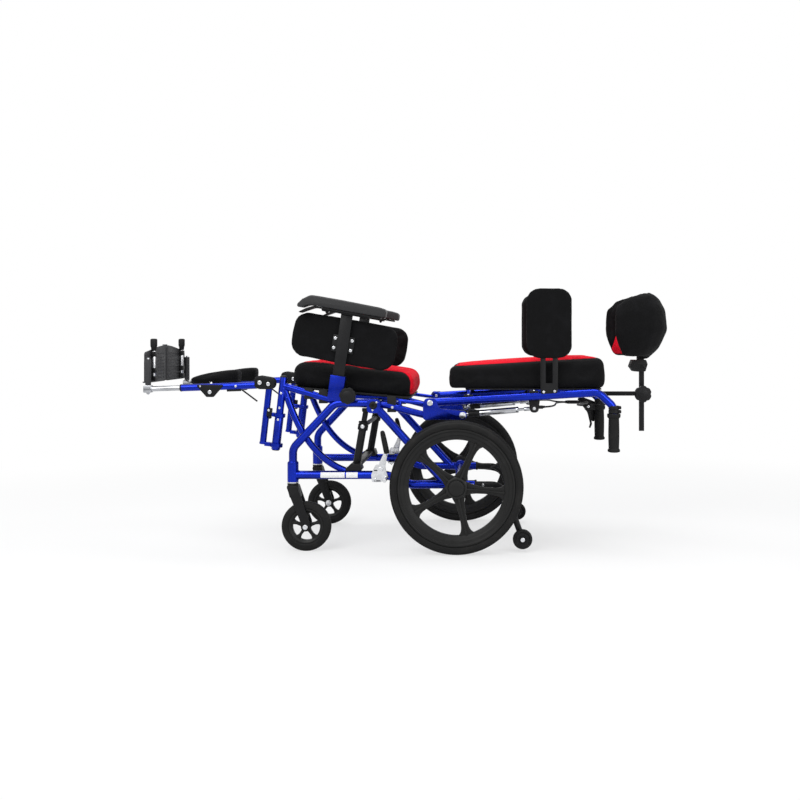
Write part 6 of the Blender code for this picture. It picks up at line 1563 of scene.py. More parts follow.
@dataclass
class BackFrame(SubAssembly):
    """The back tubes with their handle bends, the ribs, the board and the headrest's sleeve."""

    tube: float = 0.0125
    bend: float = 0.038
    rib: float = 0.008
    cushion_rise: float = 0.043

    def build(self) -> None:
        """Makes the tubes and ribs, the board and the bolts."""
        bend_x, bend_z = back_tube(BACK_LENGTH)
        blue, bright, black = Shape(), Shape(), Shape()
        cushion_z = PIVOT_Z + self.cushion_rise - GAP
        for side in Side:
            y = side.y(BACK_Y)
            x, z = back_tube(0.006)
            blue.add(Shape.pipe([(x, y, z), (bend_x, y, bend_z), (bend_x + HANDLE_X, y, bend_z - 0.045),
                (bend_x + HANDLE_X, y, bend_z - HANDLE_DROP)], self.tube, self.bend, 26, 10),
                Shape.across(PIVOT_X, PIVOT_Z, y - self.tube, y + self.tube, self.tube + 0.0015,
                    sides=36, edge=0.0012))
            rear = Vector((SPRING_REAR_X, 0, SPRING_REAR_Z))
            tube_z = back_tube(0.324)[1]
            low = SPRING_Y + 0.0053
            black.add(Shape.plate(Outline.rounded([(rear.x - 0.019, tube_z),
                (rear.x - 0.0125, rear.z - 0.0125), (rear.x + 0.0125, rear.z - 0.0125),
                (rear.x + 0.019, tube_z)], 0.011, 7), low, low + 0.006, side.outward, 0.0009),
                Shape.lathe([(0.0062, 0.0), (0.0120, 0.0), (0.0125, 0.0010), (0.0125, 0.0034),
                    (0.0112, 0.0044), (0.0062, 0.0044)], Matrix.Translation((rear.x, 0, rear.z))
                    @ side.outward @ Matrix.Translation((0, 0, low + 0.0056)), 30, closed=True))
            bright.add(Shape.nut((rear.x, side.y(low + 0.0058), rear.z), side.out, 0.0044, 0.0052),
                Shape.across(rear.x, rear.z, side.y(low + 0.003), side.y(SPRING_Y - 0.0065), 0.0039))
            for along in RIBS:
                x, z = back_tube(along)
                saddle = sorted((side.y(BACK_Y - 0.016), side.y(BACK_Y + 0.006)))
                black.add(Shape.box((x - 0.014, saddle[0], z + 0.0105),
                    (x + 0.014, saddle[1], z + 0.0175), edge=0.002))
                bright.add(Shape.screw((x, side.y(BACK_Y), z + 0.0172), (0, 0, 1), 0.0040, 0.0026))
        for along in (*RIBS, HEAD_RIB):
            x, z = back_tube(along)
            blue.add(Shape.box((x - self.rib / 2, -BACK_Y, z - 0.008),
                (x + self.rib / 2, BACK_Y, cushion_z - 0.004), edge=0.0012))
        x, _ = back_tube(HEAD_RIB)
        bar_z, half = PIVOT_Z + 0.0175, 0.007
        for low, high in (((-half - 0.005, half + 0.0004), (half + 0.005, half + 0.005)),
                ((-half - 0.005, -half - 0.005), (half + 0.005, -half - 0.0004)),
                ((-half - 0.005, -half - 0.005), (-half - 0.0004, half + 0.005)),
                ((half + 0.0004, -half - 0.005), (half + 0.005, half + 0.005))):
            blue.add(Shape.box((x - 0.010, low[0], bar_z + low[1]),
                (x + 0.034, high[0], bar_z + high[1]), edge=0.0009))
        blue.finish("back_frame_tubes", "back", BLUE, ["back_frame"])
        start, end = PIVOT_X + 0.108, PIVOT_X + 0.538
        board = Outline.rounded(Outline.both_sides([(start, -0.158), (end, -0.158)]), 0.022, 6)
        black.add(Shape.plate(board, cushion_z - 0.0048, cushion_z - 0.0003, IDENTITY, 0.0010))
        black.finish("back_board", "back", PLASTIC)
        bright.add(Shape.screw((x + 0.024, -half - 0.0048, bar_z), (0, -1, 0), 0.0052, 0.0040))
        bright.finish("back_frame_bolts", "back", STEEL)


@dataclass
class TrunkSupport(SubAssembly):
    """The bracket of a trunk pad, with the bolt that its pad slides on."""

    side: Side
    low: float = 0.1857
    thick: float = 0.004
    stud_z: float = 0.605

    def build(self) -> None:
        """Makes the bracket and the pad's bolt."""
        label, side = self.side.name_word, self.side
        x, tube_z = back_tube(0.369)
        bracket = Shape.of_node(f"{label}_trunk_bracket", 0.0008)
        bracket.finish(f"{label}_trunk_bracket_pressed", "back", BLACK, [f"{label}_trunk_bracket"])
        high = self.low + self.thick
        bolt = Shape.across(x, self.stud_z, side.y(self.low - 0.004), side.y(high + 0.0025), 0.0078)
        bolt.finish(f"{label}_trunk_bolt", f"{label}_trunk_support", BLACK)
        bright = Shape()
        for along in (-0.017, 0.017):
            bright.add(Shape.screw((x + along, side.y(high - 0.0002), tube_z + 0.0125 + along * 0.06),
                side.out, 0.0040, 0.0026))
        bright.finish(f"{label}_trunk_bracket_screws", "back", STEEL)


@dataclass
class GasSpring(SubAssembly):
    """A lockable gas spring: cylinder, rod and eyes."""

    side: Side
    radius: float = 0.0105
    body_length: float = 0.161
    rod: float = 0.004
    eye: float = 0.009

    def build(self) -> None:
        """Makes the cylinder and the rod."""
        label, y = self.side.name_word, self.side.y(SPRING_Y)
        front = Vector((SPRING_FRONT_X, y, SPRING_FRONT_Z))
        rear = Vector((SPRING_REAR_X, y, SPRING_REAR_Z))
        aim = rear - front
        place = Matrix.Translation(front) @ turn_to(aim)
        end = 0.014 + self.body_length
        cylinder = [(0.0044, 0.050), (0.0088, 0.050), (0.0094, 0.0512), (0.0094, 0.0900),
            (0.0090, 0.0906), (0.0090, 0.0930), (0.0094, 0.0936), (0.0094, end - 0.012),
            (0.0088, end - 0.0105), (0.0088, end - 0.008), (0.0094, end - 0.0066),
            (0.0094, end - 0.002), (0.0080, end), (0.0044, end)]
        chrome = Shape.lathe(cylinder, place, 36, closed=True)
        chrome.add(self.eye_ring(front),
            Shape.rod(place @ Vector((0, 0, 0.0075)), place @ Vector((0, 0, 0.024)), 0.0060))
        chrome.finish(f"{label}_spring_cylinder", f"{label}_spring_body", CHROME,
            [f"{label}_gas_spring_body"])
        head = [(0, 0.0165), (0.0080, 0.0165), (0.0100, 0.0180), (self.radius, 0.0205),
            (self.radius, 0.0320), (0.0098, 0.0328), (0.0098, 0.0345), (self.radius, 0.0353),
            (self.radius, 0.0500), (0.0096, 0.0520), (0, 0.0520)]
        Shape.lathe(head, place, 36).finish(f"{label}_spring_head", f"{label}_spring_body", PLASTIC)
        length = aim.length
        stem = Shape.pipe([place @ Vector((0, 0, 0.030)), place @ Vector((0, 0, length - 0.004))],
            self.rod, sides=22)
        stem.add(self.eye_ring(rear),
            Shape.rod(place @ Vector((0, 0, length - 0.032)), place @ Vector((0, 0, length - 0.007)),
                0.0062, edge=0.0010))
        stem.finish(f"{label}_spring_stem", f"{label}_spring_rod", CHROME, [f"{label}_gas_spring_rod"])

    def eye_ring(self, centre: Vector) -> Shape:
        """An end eye with its bore."""
        profile = Outline.both_sides([(0.0043, -0.005), (self.eye - 0.001, -0.005), (self.eye, -0.004)])
        return Shape.lathe(profile, Matrix.Translation(centre) @ SIDE_VIEW, 30, closed=True)


@dataclass
class PushHandle(SubAssembly):
    """A push handle's soft grip and collar, and on the right one the release lever and its perch."""

    side: Side
    radius: float = 0.0175
    length: float = 0.120

    def build(self) -> None:
        """Makes the grip and what it carries."""
        label, side = self.side.name_word, self.side
        y = side.y(BACK_Y)
        x, z = back_tube(BACK_LENGTH)
        x += HANDLE_X
        foot = z - HANDLE_DROP - 0.006
        r, tall = self.radius, self.length
        profile = [(0, 0), (r - 0.004, 0), (r + 0.0005, 0.0014), (r + 0.0020, 0.0040),
            (r + 0.0016, 0.0080), (r - 0.0012, 0.0120)]
        profile += [(r - 0.0012 + 0.0010 * math.sin(math.pi * step / 8),
            0.012 + (tall - 0.028) * step / 8) for step in range(1, 8)]
        profile += [(r - 0.0012, tall - 0.0150), (r + 0.0026, tall - 0.0110),
            (r + 0.0034, tall - 0.0080), (r + 0.0034, tall - 0.0020), (r + 0.0022, tall),
            (0.0127, tall), (0.0127, tall - 0.004), (0, tall - 0.004)]
        grip = Shape.lathe(profile, Matrix.Translation((x, y, foot)), 36)
        grip.finish(f"{label}_grip_smooth", "back", GRIP, [f"{label}_handle_grip"])
        top = foot + tall
        collar = Shape.lathe([(0.0128, 0.0008), (0.0158, 0.0008), (0.0168, 0.0020), (0.0168, 0.0110),
            (0.0158, 0.0122), (0.0158, 0.0134), (0.0168, 0.0146), (0.0168, 0.0236),
            (0.0158, 0.0248), (0.0128, 0.0248)], Matrix.Translation((x, y, top)), 32, closed=True)
        for rise in (0.0065, 0.0190):
            collar.add(Shape.box((x + 0.012, y - 0.0075, top + rise - 0.0050),
                (x + 0.0225, y + 0.0075, top + rise + 0.0050), edge=0.0018))
            collar.add(Shape.screw((x + 0.0180, y + side.y(0.0073), top + rise), side.out, 0.0042, 0.0034))
        collar.finish(f"{label}_grip_collar", "back", BLACK)
        if side is Side.RIGHT:
            self.perch(Vector((x, y, top)))

    def perch(self, top: Vector) -> None:
        """The lever's perch with its pin, and the pressed lever."""
        x, y, z = top
        cheeks = Shape()
        for face in (-1, 1):
            low, high = sorted((y + face * 0.0053, y + face * 0.0120))
            cheeks.add(Shape.box((x - 0.050, low, z - 0.016), (x - 0.022, high, z + 0.006), edge=0.0014))
        cheeks.add(Shape.box((x - 0.026, y - 0.0120, z - 0.016), (x - 0.012, y + 0.0120, z + 0.006),
            edge=0.0020),
            Shape.lathe(Outline.both_sides([(0.0128, -0.010), (0.0190, -0.010), (0.0200, -0.009)]),
                Matrix.Translation((x, y, z - 0.004)), 32, closed=True))
        guard = Outline.rounded([(x - 0.078, z + 0.024), (x - 0.060, z + 0.030), (x - 0.012, z + 0.012),
            (x - 0.012, z - 0.052), (x - 0.022, z - 0.060), (x - 0.040, z - 0.026)], 0.006, 5)
        cheeks.add(Shape.plate(guard, y + 0.0118, y + 0.0150, SIDE_VIEW, 0.0010))
        cheeks.finish("recline_lever_perch", "back", BLACK)
        pin = Shape.across(x - 0.040, z - 0.003, y - 0.0128, y + 0.0128, 0.0029)
        pin.add(Shape.screw((x - 0.040, y - 0.0118, z - 0.003), (0, -1, 0), 0.0048, 0.0028))
        pin.finish("recline_lever_pin", "back", STEEL)
        a, b = x - 0.040, z - 0.003
        outline = Outline.rounded([(a - 0.007, b - 0.007), (a - 0.007, b + 0.006),
            (a + 0.006, b + 0.008), (a + 0.009, b - 0.004), (a + 0.010, b - 0.030),
            (a + 0.0145, b - 0.062), (a + 0.0085, b - 0.0765), (a + 0.0035, b - 0.0745),
            (a + 0.0075, b - 0.060), (a + 0.0005, b - 0.030)],
            [0.004, 0.004, 0.004, 0.01, 0.03, 0.01, 0.002, 0.002, 0.01, 0.03], 4)
        lever = Shape.plate(outline, y - 0.0044, y + 0.0044, SIDE_VIEW, 0.0012)
        lever.finish("recline_lever_pressed", "release_lever", BLACK, ["recline_lever"])


@dataclass
class ReleaseCable(SubAssembly):
    """The sleeve from the release lever to the splitter, and the two from there to the springs."""

    radius: float = 0.0030
    branch: float = 0.0028
    split: Tuple[float, float, float] = (0.527, 0.040, 0.441)
    lever: Tuple[float, float, float] = (0.5837, 0.1787, 0.4196)

    def build(self) -> None:
        """Makes the splitter, the release heads and the three sleeves."""
        x, y, z = self.split
        splitter = Shape.box((x - 0.020, y - 0.013, z - 0.0052), (x + 0.020, y + 0.013, z + 0.0052),
            edge=0.0022, segments=3)
        for spot, reach in ((Vector((x + 0.019, y, z)), 0.006),
                (Vector((x - 0.019, y - 0.0065, z)), -0.006),
                (Vector((x - 0.019, y + 0.0065, z)), -0.006)):
            splitter.add(Shape.rod(spot, spot + Vector((reach, 0, 0)), 0.0044, edge=0.0008))
        splitter.finish("release_cable_splitter", "back", PLASTIC)
        heads = Shape()
        for side in Side:
            spot = Vector((0.4095, side.y(0.1582), 0.439))
            ends = sorted((spot.y, side.y(SPRING_Y + 0.0065)))
            heads.add(Shape.box((spot.x - 0.0090, ends[0] - 0.0040, spot.z - 0.0050),
                (spot.x + 0.0050, ends[1], spot.z + 0.0050), edge=0.0014),
                Shape.rod(spot, spot + Vector((0.012, 0, 0.0006)), 0.0044, 0.0036, edge=0.0008))
        heads.finish("release_heads", "back", PLASTIC)
        lever, door = Vector(self.lever), Vector((x + 0.0245, y, z))
        lead, reach = Vector((0.055, 0, 0)), Vector((0.0413, 0, 0))
        main = Outline.bent((lever + lead, lever - reach, door + reach, door - lead), 0.0290, 14)[1:-1]
        self.sleeve("release_cable_main", main, self.radius, "fitting", ["release_cable_splitter"],
            ["recline_cable"])
        for side in Side:
            head = Vector((0.4205, side.y(0.1582), 0.4394))
            door = Vector((x - 0.0245, y + side.y(0.0065), z))
            path = Outline.swept((door, door - Vector((0.060, 0, 0)), head + Vector((0.060, 0, 0.003)),
                head), 28)
            self.sleeve(side.name("release_cable_branch"), path, self.branch, "object", [], [])

    def sleeve(self, name: str, path: List[Vector], radius: float, far_end: str, extras: List[str],
            nodes: List[str]) -> None:
        """Args:
            name: The piece's name.
            path: Its centre line.
            radius: Its radius.
            extras: Not used.
            nodes: CAD nodes that it stands for.
        """
        piece = Shape.pipe(path, radius, sides=14).finish(name, "back", SLEEVE, nodes)
        length = sum((b - a).length for a, b in zip(path, path[1:]))
        2 * radius


@dataclass
class HeadrestMount(SubAssembly):
    """The headrest's bar, knob, stem and tilting block."""

    clamp_x: float = 0.751
    bar_z: float = 0.472
    pin_z: float = 0.560

    def build(self) -> None:
        """Makes the mount's pieces."""
        Shape.of_node("headrest_bar", 0.0012).finish("headrest_bar_square", "headrest_arm", BLACK,
            ["headrest_bar"])
        place = Matrix.Translation((self.clamp_x, -0.014, self.bar_z)) @ Matrix(((1, 0, 0, 0),
            (0, 0, -1, 0), (0, 1, 0, 0), (0, 0, 0, 1)))
        Knob.shape(0.0275, 0.0235, place, 6, 0.10).finish("headrest_knob_fluted", "headrest_clamp",
            PLASTIC, ["headrest_knob"])
        Shape.of_node("headrest_stem", 0.0010).finish("headrest_stem_flat", "headrest_mast", BLACK,
            ["headrest_stem"])
        self.block().finish("headrest_block_moulded", "headrest", PLASTIC, ["headrest_block"])
        bolts = Shape()
        for face in (-1, 1):
            bolts.add(Shape.screw((self.clamp_x, face * 0.0236, self.pin_z), (0, face, 0), 0.0066, 0.0030))
        bolts.finish("headrest_pivot_bolt", "headrest_mast", BLACK)

    def block(self) -> Shape:
        """The faceted block that tilts on the stem, open for the stem at its rear."""
        x, z = self.clamp_x, self.pin_z
        outline = Outline.rounded([(x - 0.042, z + 0.002), (x - 0.034, z + 0.0238),
            (x + 0.012, z + 0.0238), (x + 0.017, z + 0.010), (x + 0.010, z - 0.014),
            (x - 0.004, z - 0.016), (x - 0.030, z - 0.014)], 0.003, 3)
        shape = Shape.plate(outline, 0.0054, 0.0235, SIDE_VIEW, 0.0026, 3)
        shape.add(Shape.plate(outline, -0.0235, -0.0054, SIDE_VIEW, 0.0026, 3),
            Shape.box((x - 0.036, -0.010, z - 0.010), (x - 0.024, 0.010, z + 0.0236), edge=0.001),
            Shape.box((x - 0.034, -0.010, z + 0.0170), (x + 0.010, 0.010, z + 0.0236), edge=0.001),
            Shape.rod((x - 0.004, 0, z + 0.0200), (x - 0.004, 0, z + 0.0440), 0.0125))
        return shape


@dataclass(frozen=True)
class PanelSeam:
    """The seam between the black side panels and the red panel that goes over the top."""

    front: float
    rear: float
    top: float
    corner: float
    black_front: float
    black_rear: float
    half_width: float = 1.0
    widens: float = 0.0
    spread: float = 0.55

    def distance(self, spot: Vector) -> float:
        """How far a point lies in the red panel; below 0 in a black one."""
        border = self.half_width + self.spread * max(0.0, spot.x - self.widens) - abs(spot.y)
        half = (self.rear - self.front) / 2
        across = abs(spot.x - (self.front + self.rear) / 2) - (half - self.corner)
        up = spot.z - (self.top - self.corner)
        outside = math.hypot(max(across, 0.0), max(up, 0.0)) + min(max(across, up), 0.0) - self.corner
        return min(outside, spot.x - self.black_front, self.black_rear - spot.x, border)


@dataclass(frozen=True)
class RimSeam:
    """A seam round a pad's rim, with one more across its face where it has one."""

    height: float
    across: Optional[float] = None

    def distance(self, spot: Vector) -> float:
        """Distance to the nearest of the seams, below 0 under the rim's."""
        rim = spot.z - self.height
        if self.across is None or spot.z < self.height:
            return rim
        return min(rim, abs(spot.y - self.across) - 0.0002)


@dataclass(frozen=True)
class LiningSeam:
    """The seam where the headrest's red lining meets its black outside."""

    foot_x: float = 0.662
    foot_z: float = 0.610
    lean: float = 0.32
    low: float = 0.602
    high: float = 0.784
    axis_x: float = 0.6777
    cosine: float = 0.952
    turned: float = 0.3
    reach: float = 0.02

    def distance(self, spot: Vector, normal: Vector) -> float:
        """How far a point lies on the side of the lining."""
        inward = Vector((self.axis_x - spot.x, -spot.y, 0.0))
        facing = normal.dot(inward.normalized()) if inward.length > 0.001 else 0.0
        front = self.cosine * (spot.x - (self.foot_x + self.lean * (spot.z - self.foot_z)))
        return min(front, spot.z - self.low, self.high - spot.z, (facing - self.turned) * self.reach)


@dataclass
class Pad:
    """One padded piece: a slab or a copy of its CAD solid, swollen as stuffed cloth.

    Attributes:
        name, nodes, body, look: What the piece is called, stands for, rides on and is covered with.
        place: The matrix from the pad's own axes, where it lies on z = 0, to the chair's.
        seam: Where the cover is sewn, and which side of it is red.
        size: Length, width and thickness with the swelling.
        corner: Radius of the slab's corners, or 0 for a copy of the CAD solid.
        edge, crown: Radius of the slab's edges, and the rise of its top's middle.
        thin, wedge, wedge_from: Thickness as a share, and how it grows past a place along x.
        cap, shrink: How far the cloth may swell, and what the slab is made smaller by for it.
        voxel: The cloth's grid.
        groove, groove_reach, ripple: Depth and half width of the pressed-in seam, and of the unevenness.
        rests: Whether the pad's flat side is held.
    """

    name: str
    nodes: Tuple[str, ...]
    body: str
    look: Finish
    place: Matrix
    seam: Union[PanelSeam, RimSeam, LiningSeam]
    size: Tuple[float, float, float]
    corner: float = 0.0
    edge: float = 0.009
    crown: float = 0.003
    thin: float = 1.0
    wedge: float = 0.0
    wedge_from: float = 0.0
    cap: float = 0.0035
    fill: float = 0.75
    shrink: float = 0.0025
    voxel: float = 0.004
    groove: float = 0.0018
    groove_reach: float = 0.0075
    ripple: float = 0.0008
    rests: bool = True

    def blank(self) -> None:
        """Makes the closed mesh that is swollen, in the pad's own axes."""
        bm = self.slab() if self.corner else self.copied()
        self.obj = linked(self.name, mesh_of(bm, self.name))
        remesh = self.obj.modifiers.new("cloth_grid", "REMESH")
        remesh.mode = "VOXEL"
        remesh.voxel_size = self.voxel
        if not self.corner:
            even = self.obj.modifiers.new("even", "SMOOTH")
            even.iterations = 22
        self.applied()
        if self.corner:
            self.formed()
        self.start = [v.co.copy() for v in self.obj.data.vertices]

    def slab(self) -> bmesh.types.BMesh:
        """A round-cornered slab of the pad's size, less what it swells and is crowned by."""
        half_x, half_y = self.size[0] / 2 - self.shrink, self.size[1] / 2 - self.shrink
        corners = [(half_x, half_y), (-half_x, half_y), (-half_x, -half_y), (half_x, -half_y)]
        thick = self.size[2] - self.shrink - self.crown
        return Shape.plate(Outline.rounded(corners, self.corner, 8), 0.0, thick, IDENTITY, self.edge, 5).bm

    def copied(self) -> bmesh.types.BMesh:
        """The CAD solids in the pad's own axes, with the headrest's lower front corners cut back."""
        bm = bmesh.new()
        for node in self.nodes:
            bm.from_mesh(frame["nodes"][node].data)
        bmesh.ops.remove_doubles(bm, verts=bm.verts, dist=0.00002)
        bm.transform(self.place.inverted())
        foot = Vector((0.646, 0.0, 0.6647))
        cut = Vector((-1.0, 0.0, -0.347)).normalized()
        whole = bm.verts[:] + bm.edges[:] + bm.faces[:]
        geom = bmesh.ops.bisect_plane(bm, geom=whole, plane_co=foot, plane_no=cut,
            clear_outer=True)["geom_cut"]
        bmesh.ops.holes_fill(bm, edges=[g for g in geom if isinstance(g, bmesh.types.BMEdge)])
        return bm

    def formed(self) -> None:
        """Crowns the top face, and gives it the pad's taper or wedge."""
        half_x, half_y = self.size[0] / 2, self.size[1] / 2
        thick = self.size[2] - self.crown
        for vert in self.obj.data.vertices:
            x, y, z = vert.co
            swell = (1 - min(1.0, abs(x / half_x)) ** 4) * (1 - min(1.0, abs(y / half_y)) ** 4)
            vert.co.z = (z + self.crown * swell * z / thick) * self.scale_at(x)

    def applied(self) -> None:
        """Makes the modifiers' result the piece's mesh."""
        graph = bpy.context.evaluated_depsgraph_get()
        old = self.obj.data
        mesh = bpy.data.meshes.new_from_object(self.obj.evaluated_get(graph), depsgraph=graph)
        self.obj.modifiers.clear()
        self.obj.data = mesh
        mesh.name = self.name
        bpy.data.meshes.remove(old)

    def stuff(self) -> None:
        """Gives the piece its cloth, pinned where it rests on something."""
        cloth = self.obj.modifiers.new("stuffed_cloth", "CLOTH")
        cloth.settings.use_pressure = True
        cloth.settings.uniform_pressure_force = 4.0
        cloth.settings.effector_weights.gravity = 0.0
        cloth.settings.quality = 4
        cloth.collision_settings.use_collision = False
        if self.rests:
            group = self.obj.vertex_groups.new(name="resting")
            group.add([v.index for v in self.obj.data.vertices if v.co.z < 0.4 * self.voxel], 1.0,
                "REPLACE")
            cloth.settings.vertex_group_mass = group.name
        cloth.point_cache.frame_start = 1
        cloth.point_cache.frame_end = CLOTH_FRAMES

    def side_of_seam(self, spot: Vector, normal: Vector) -> float:
        """The distance to the pad's seam, which for the lining also asks which way the cloth faces."""
        if isinstance(self.seam, LiningSeam):
            return self.seam.distance(spot, normal)
        return self.seam.distance(Vector((spot.x, spot.y, spot.z / self.scale_at(spot.x))))

    def scale_at(self, x: float) -> float:
        """How much thicker than the slab the pad is at x."""
        return self.thin + self.wedge * max(0.0, x - self.wedge_from)

    def settle(self) -> None:
        """Caps the swelling, presses the seams in, and gives the mesh its place and its look."""
        if self.obj.modifiers:
            self.applied()
        self.obj.vertex_groups.clear()
        mesh = self.obj.data
        for vert, start in zip(mesh.vertices, self.start):
            moved = vert.co - start
            if moved.length > self.cap:
                moved *= self.cap / moved.length
            spot = start + moved
            wave = noise.noise(spot * 22.0) + 0.5 * noise.noise(spot * 61.0)
            spot += vert.normal * (self.ripple * wave)
            pinch = max(0.0, 1.0 - abs(self.side_of_seam(spot, vert.normal)) / self.groove_reach)
            vert.co = spot - vert.normal * (self.groove * pinch * pinch)
            if self.rests:
                vert.co.z = max(vert.co.z, 0.0)
        smooth = self.obj.modifiers.new("fine", "SUBSURF")
        smooth.levels = smooth.render_levels = 1
        self.applied()
        layer = self.obj.data.attributes.new("seam", "FLOAT", "POINT")
        sides = [self.side_of_seam(v.co, v.normal) for v in self.obj.data.vertices]
        layer.data.foreach_set("value", sides)
        self.obj.data.transform(self.place)
        self.dressed(self.obj, self.body, self.nodes)

    def dressed(self, obj: bpy.types.Object, body: str, nodes: Iterable[str]) -> None:
        """Gives a piece its cover and says what it rides on and stands for."""
        obj.data.shade_smooth()
        obj.data.materials.clear()
        obj.data.materials.append(self.look.material())
        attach(obj, body)
        if nodes:
            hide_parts(*nodes)

    def cut_off(self, x: float, name: str, node: str) -> bpy.types.Object:
        """Cuts the part in front of x off the piece and makes it one of its own.

        Args:
            x: Where the cut is.
            name: The new piece's name.
            node: The CAD node it stands for.

        Returns:
            The new piece.
        """
        front = linked(name, self.obj.data.copy())
        front.data.name = name
        for obj, plane, before in ((self.obj, x + 0.0003, False), (front, x, True)):
            bm = bmesh.new()
            bm.from_mesh(obj.data)
            whole = bm.verts[:] + bm.edges[:] + bm.faces[:]
            cut = bmesh.ops.bisect_plane(bm, geom=whole, plane_co=(plane, 0, 0), plane_no=(1, 0, 0),
                clear_outer=before, clear_inner=not before)["geom_cut"]
            rim = [g for g in cut if isinstance(g, bmesh.types.BMEdge)]
            bmesh.ops.triangle_fill(bm, use_beauty=True, edges=rim,
                normal=(1, 0, 0) if before else (-1, 0, 0))
            bm.to_mesh(obj.data)
            bm.free()
        self.dressed(front, self.body, [node])
        return front

    def mirrored(self) -> None:
        """Makes the same pad on the right side."""
        bm = bmesh.new()
        bm.from_mesh(self.obj.data)
        bmesh.ops.scale(bm, vec=(1, -1, 1), verts=bm.verts)
        bmesh.ops.reverse_faces(bm, faces=bm.faces)
        name = self.name.replace("left", "right")
        obj = linked(name, mesh_of(bm, name))
        nodes = [node.replace("left", "right") for node in self.nodes]
        self.dressed(obj, self.body.replace("left", "right"), nodes)


@dataclass
class Upholstery(SubAssembly):
    """All the cushions and pads, swollen together."""

    back_start: float = 0.1147
    back_end: float = 0.6155
    back_bottom: float = 0.4975
    fold: float = 0.1647

    def pads(self) -> List[Pad]:
        """The pads of the middle and of the left side."""
        left = Side.LEFT
        length = self.back_end - self.back_start
        middle = (self.back_end + self.back_start) / 2
        seat = Pad("seat_cushion_cover", ("seat_cushion",), "base", SEAT_KNIT,
            tilted((-0.1855, 0, 0.4879), 5.4),
            PanelSeam(-0.40, 0.181, 0.0745, 0.036, -0.168, 0.40, 0.128, 0.0), (0.3907, 0.338, 0.083),
            0.035, 0.024, 0.010, cap=0.005, voxel=0.005)
        back = Pad("back_cushion_cover", ("back_cushion",), "back", BACK_KNIT,
            Matrix.Translation((middle, 0, self.back_bottom)),
            PanelSeam(-0.40, 0.40, 0.0705, 0.020, 0.012 - length / 2, length / 2 - 0.030),
            (length, 0.340, 0.078), 0.030, 0.018, 0.008, wedge=0.8253, wedge_from=-0.2001, cap=0.005,
            voxel=0.005)
        hip_place = (arm_frame(left) @ tilted((0.002, -left.y(0.0073), 0.1465), 2.2) @ left.inward)
        hip = Pad("left_hip_pad_cover", ("left_hip_pad",), "left_armrest", BLACK_KNIT, hip_place,
            RimSeam(0.0115), (0.332, 0.147, 0.024), 0.042)
        trunk = Pad("left_trunk_pad_cover", ("left_trunk_pad",), "left_trunk_support", BLACK_KNIT,
            Matrix.Translation((0.432, left.y(0.1854), 0.701)) @ left.inward, RimSeam(0.016, 0.004),
            (0.145, 0.220, 0.034), 0.042, 0.011, 0.004)
        flap = Pad("left_trunk_pad_flap", (), "left_trunk_support", BLACK_KNIT,
            Matrix.Translation((0.432, left.y(0.1900), 0.701)) @ left.outward, RimSeam(0.0030),
            (0.145, 0.220, 0.0062), 0.042, 0.0020, 0.0006, cap=0.0010, shrink=0.0006, voxel=0.0026,
            groove=0.0004)
        calf = Pad("left_calf_pad_cover", ("left_calf_pad",), "left_legrest", BLACK_KNIT,
            Matrix.Translation((-0.623, left.y(0.1095), 0.5091)), RimSeam(0.012), (0.155, 0.080, 0.038),
            0.020, thin=0.6125, wedge=5.0, wedge_from=-0.0775)
        head = Pad("headrest_cover", ("headrest_pad",), "headrest", HEAD_KNIT, IDENTITY, LiningSeam(),
            (0.2, 0.26, 0.13), shrink=0.0, rests=False)
        return [seat, back, hip, trunk, flap, calf, head]

    def build(self) -> None:
        """Makes every pad, the right ones as copies of the left, and cuts the roll off the back cushion."""
        pads = self.pads()
        for pad in pads:
            pad.blank()
        for pad in pads:
            pad.stuff()
        for step in range(1, CLOTH_FRAMES + 1):
            bpy.context.scene.frame_set(step)
        for pad in pads:
            pad.settle()
            if "left" in pad.name:
                pad.mirrored()
            if pad.name == "back_cushion_cover":
                roll = pad.cut_off(self.fold, "back_cushion_roll_cover", "back_cushion_roll")
                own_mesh(roll)
        bpy.context.scene.frame_set(1)


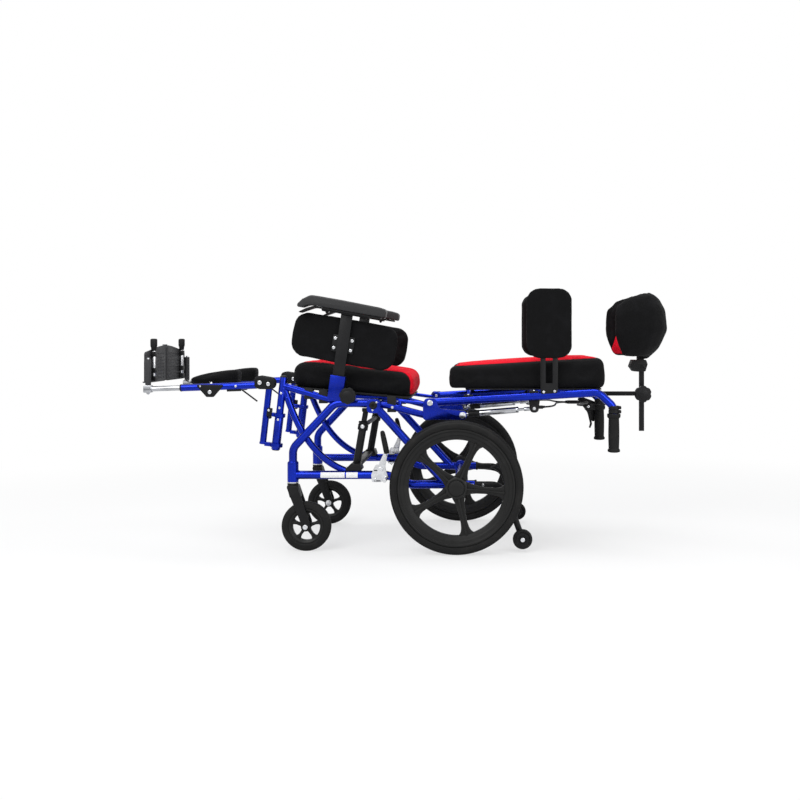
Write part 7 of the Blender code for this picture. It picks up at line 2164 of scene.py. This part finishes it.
class Studio:
    """The floor, the lights and the camera."""

    def build(self) -> None:
        """Makes the surroundings; none of them is part of the chair."""
        self.floor()
        self.world()
        self.lamp("key_light", (-1.6, -2.6, 3.0), (0.1, 0, 0.45), (3.0, 2.2), 95.0)
        self.lamp("top_light", (0.2, 0.2, 2.8), (0.1, 0, 0.4), (2.8, 0.9), 48.0)
        self.lamp("fill_light", (2.4, -2.6, 1.3), (0.2, 0, 0.4), (1.6, 1.6), 30.0)
        self.camera()

    def floor(self) -> None:
        """A wide pale floor that fades to white away from the chair."""
        bm = bmesh.new()
        bmesh.ops.create_grid(bm, x_segments=8, y_segments=8, size=60.0)
        floor = linked("studio_floor", mesh_of(bm, "studio_floor"))
        graph = Graph("studio_floor_paper")
        x, y, _ = graph.axes()
        away = (((x - 0.1) * 0.8) ** 2.0 + y ** 2.0) ** 0.5
        fade = away.ramp(0.5, 2.4, 0.62, 1.0)
        path = graph.node("ShaderNodeLightPath")
        camera = Wire(graph, path.outputs["Is Camera Ray"])
        graph.shade(Base_Color=graph.mix(graph.noise(3.0, 4.0), (0.80, 0.80, 0.80), (0.84, 0.84, 0.84)),
            Roughness=0.7)
        white = graph.node("ShaderNodeEmission", None, {"Color": (1.0, 1.0, 1.0, 1.0), "Strength": 1.0})
        blend = graph.node("ShaderNodeMixShader", None, {0: camera * fade})
        graph.tree.links.new(graph.shader.outputs[0], blend.inputs[1])
        graph.tree.links.new(white.outputs[0], blend.inputs[2])
        graph.tree.links.new(blend.outputs[0], graph.output.inputs[0])
        floor.data.materials.append(graph.material)

    def world(self) -> None:
        """Even white surroundings: soft for light, full white where they are seen."""
        world = bpy.data.worlds.new("studio_air")
        bpy.context.scene.world = world
        world.use_nodes = True
        tree = world.node_tree
        tree.nodes.clear()
        out = tree.nodes.new("ShaderNodeOutputWorld")
        light, seen = tree.nodes.new("ShaderNodeBackground"), tree.nodes.new("ShaderNodeBackground")
        light.inputs[0].default_value = (0.95, 0.97, 1.0, 1.0)
        light.inputs[1].default_value = 0.42
        seen.inputs[0].default_value = (1.0, 1.0, 1.0, 1.0)
        seen.inputs[1].default_value = 1.0
        path = tree.nodes.new("ShaderNodeLightPath")
        first, second = tree.nodes.new("ShaderNodeMath"), tree.nodes.new("ShaderNodeMath")
        for node in (first, second):
            node.operation = "MAXIMUM"
        tree.links.new(path.outputs["Is Camera Ray"], first.inputs[0])
        tree.links.new(path.outputs["Is Glossy Ray"], first.inputs[1])
        tree.links.new(first.outputs[0], second.inputs[0])
        tree.links.new(path.outputs["Is Transmission Ray"], second.inputs[1])
        mix = tree.nodes.new("ShaderNodeMixShader")
        tree.links.new(second.outputs[0], mix.inputs[0])
        tree.links.new(light.outputs[0], mix.inputs[1])
        tree.links.new(seen.outputs[0], mix.inputs[2])
        tree.links.new(mix.outputs[0], out.inputs[0])

    def lamp(self, name: str, place: Place, aim: Place, size: Tuple[float, float], watts: float) -> None:
        """A soft box that looks at a point.

        Args:
            name: The lamp's name.
            place: Where it hangs.
            aim: The point that it looks at.
            size: Its sides.
            watts: Its power.
        """
        data = bpy.data.lights.new(name, "AREA")
        data.shape = "RECTANGLE"
        data.size, data.size_y = size
        data.energy = watts
        lamp = linked(name, data)
        lamp.location = place
        lamp.rotation_euler = (Vector(aim) - Vector(place)).to_track_quat("-Z", "Y").to_euler()

    def camera(self) -> None:
        """The photograph's view: level, square to the chair's left side."""
        data = bpy.data.cameras.new("photograph_view")
        data.lens = 40.5
        data.sensor_width = 36.0
        data.shift_x, data.shift_y = -0.10625, -0.075
        camera = linked("photograph_view", data)
        camera.location = (0.233, -2.98, 0.649)
        camera.rotation_euler = (math.radians(90), 0, 0)
        bpy.context.scene.camera = camera
        bpy.context.scene.view_settings.view_transform = "Standard"


def main() -> None:
    """Builds the chair and its surroundings."""
    logging.basicConfig(level=logging.INFO, format="%(name)s: %(message)s")
    Studio().build()
    ReleaseCable().report()
    for side in Side:
        for kind in (SideFrame, CasterUnit, DriveWheel, Brake, AntiTipper, Armrest, Legrest,
                TrunkSupport, GasSpring, PushHandle):
            kind(side).report()
    CrossMembers().report()
    BackFrame().report()
    HeadrestMount().report()
    Upholstery().report()
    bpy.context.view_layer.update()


if __name__ == "__main__":
    main()
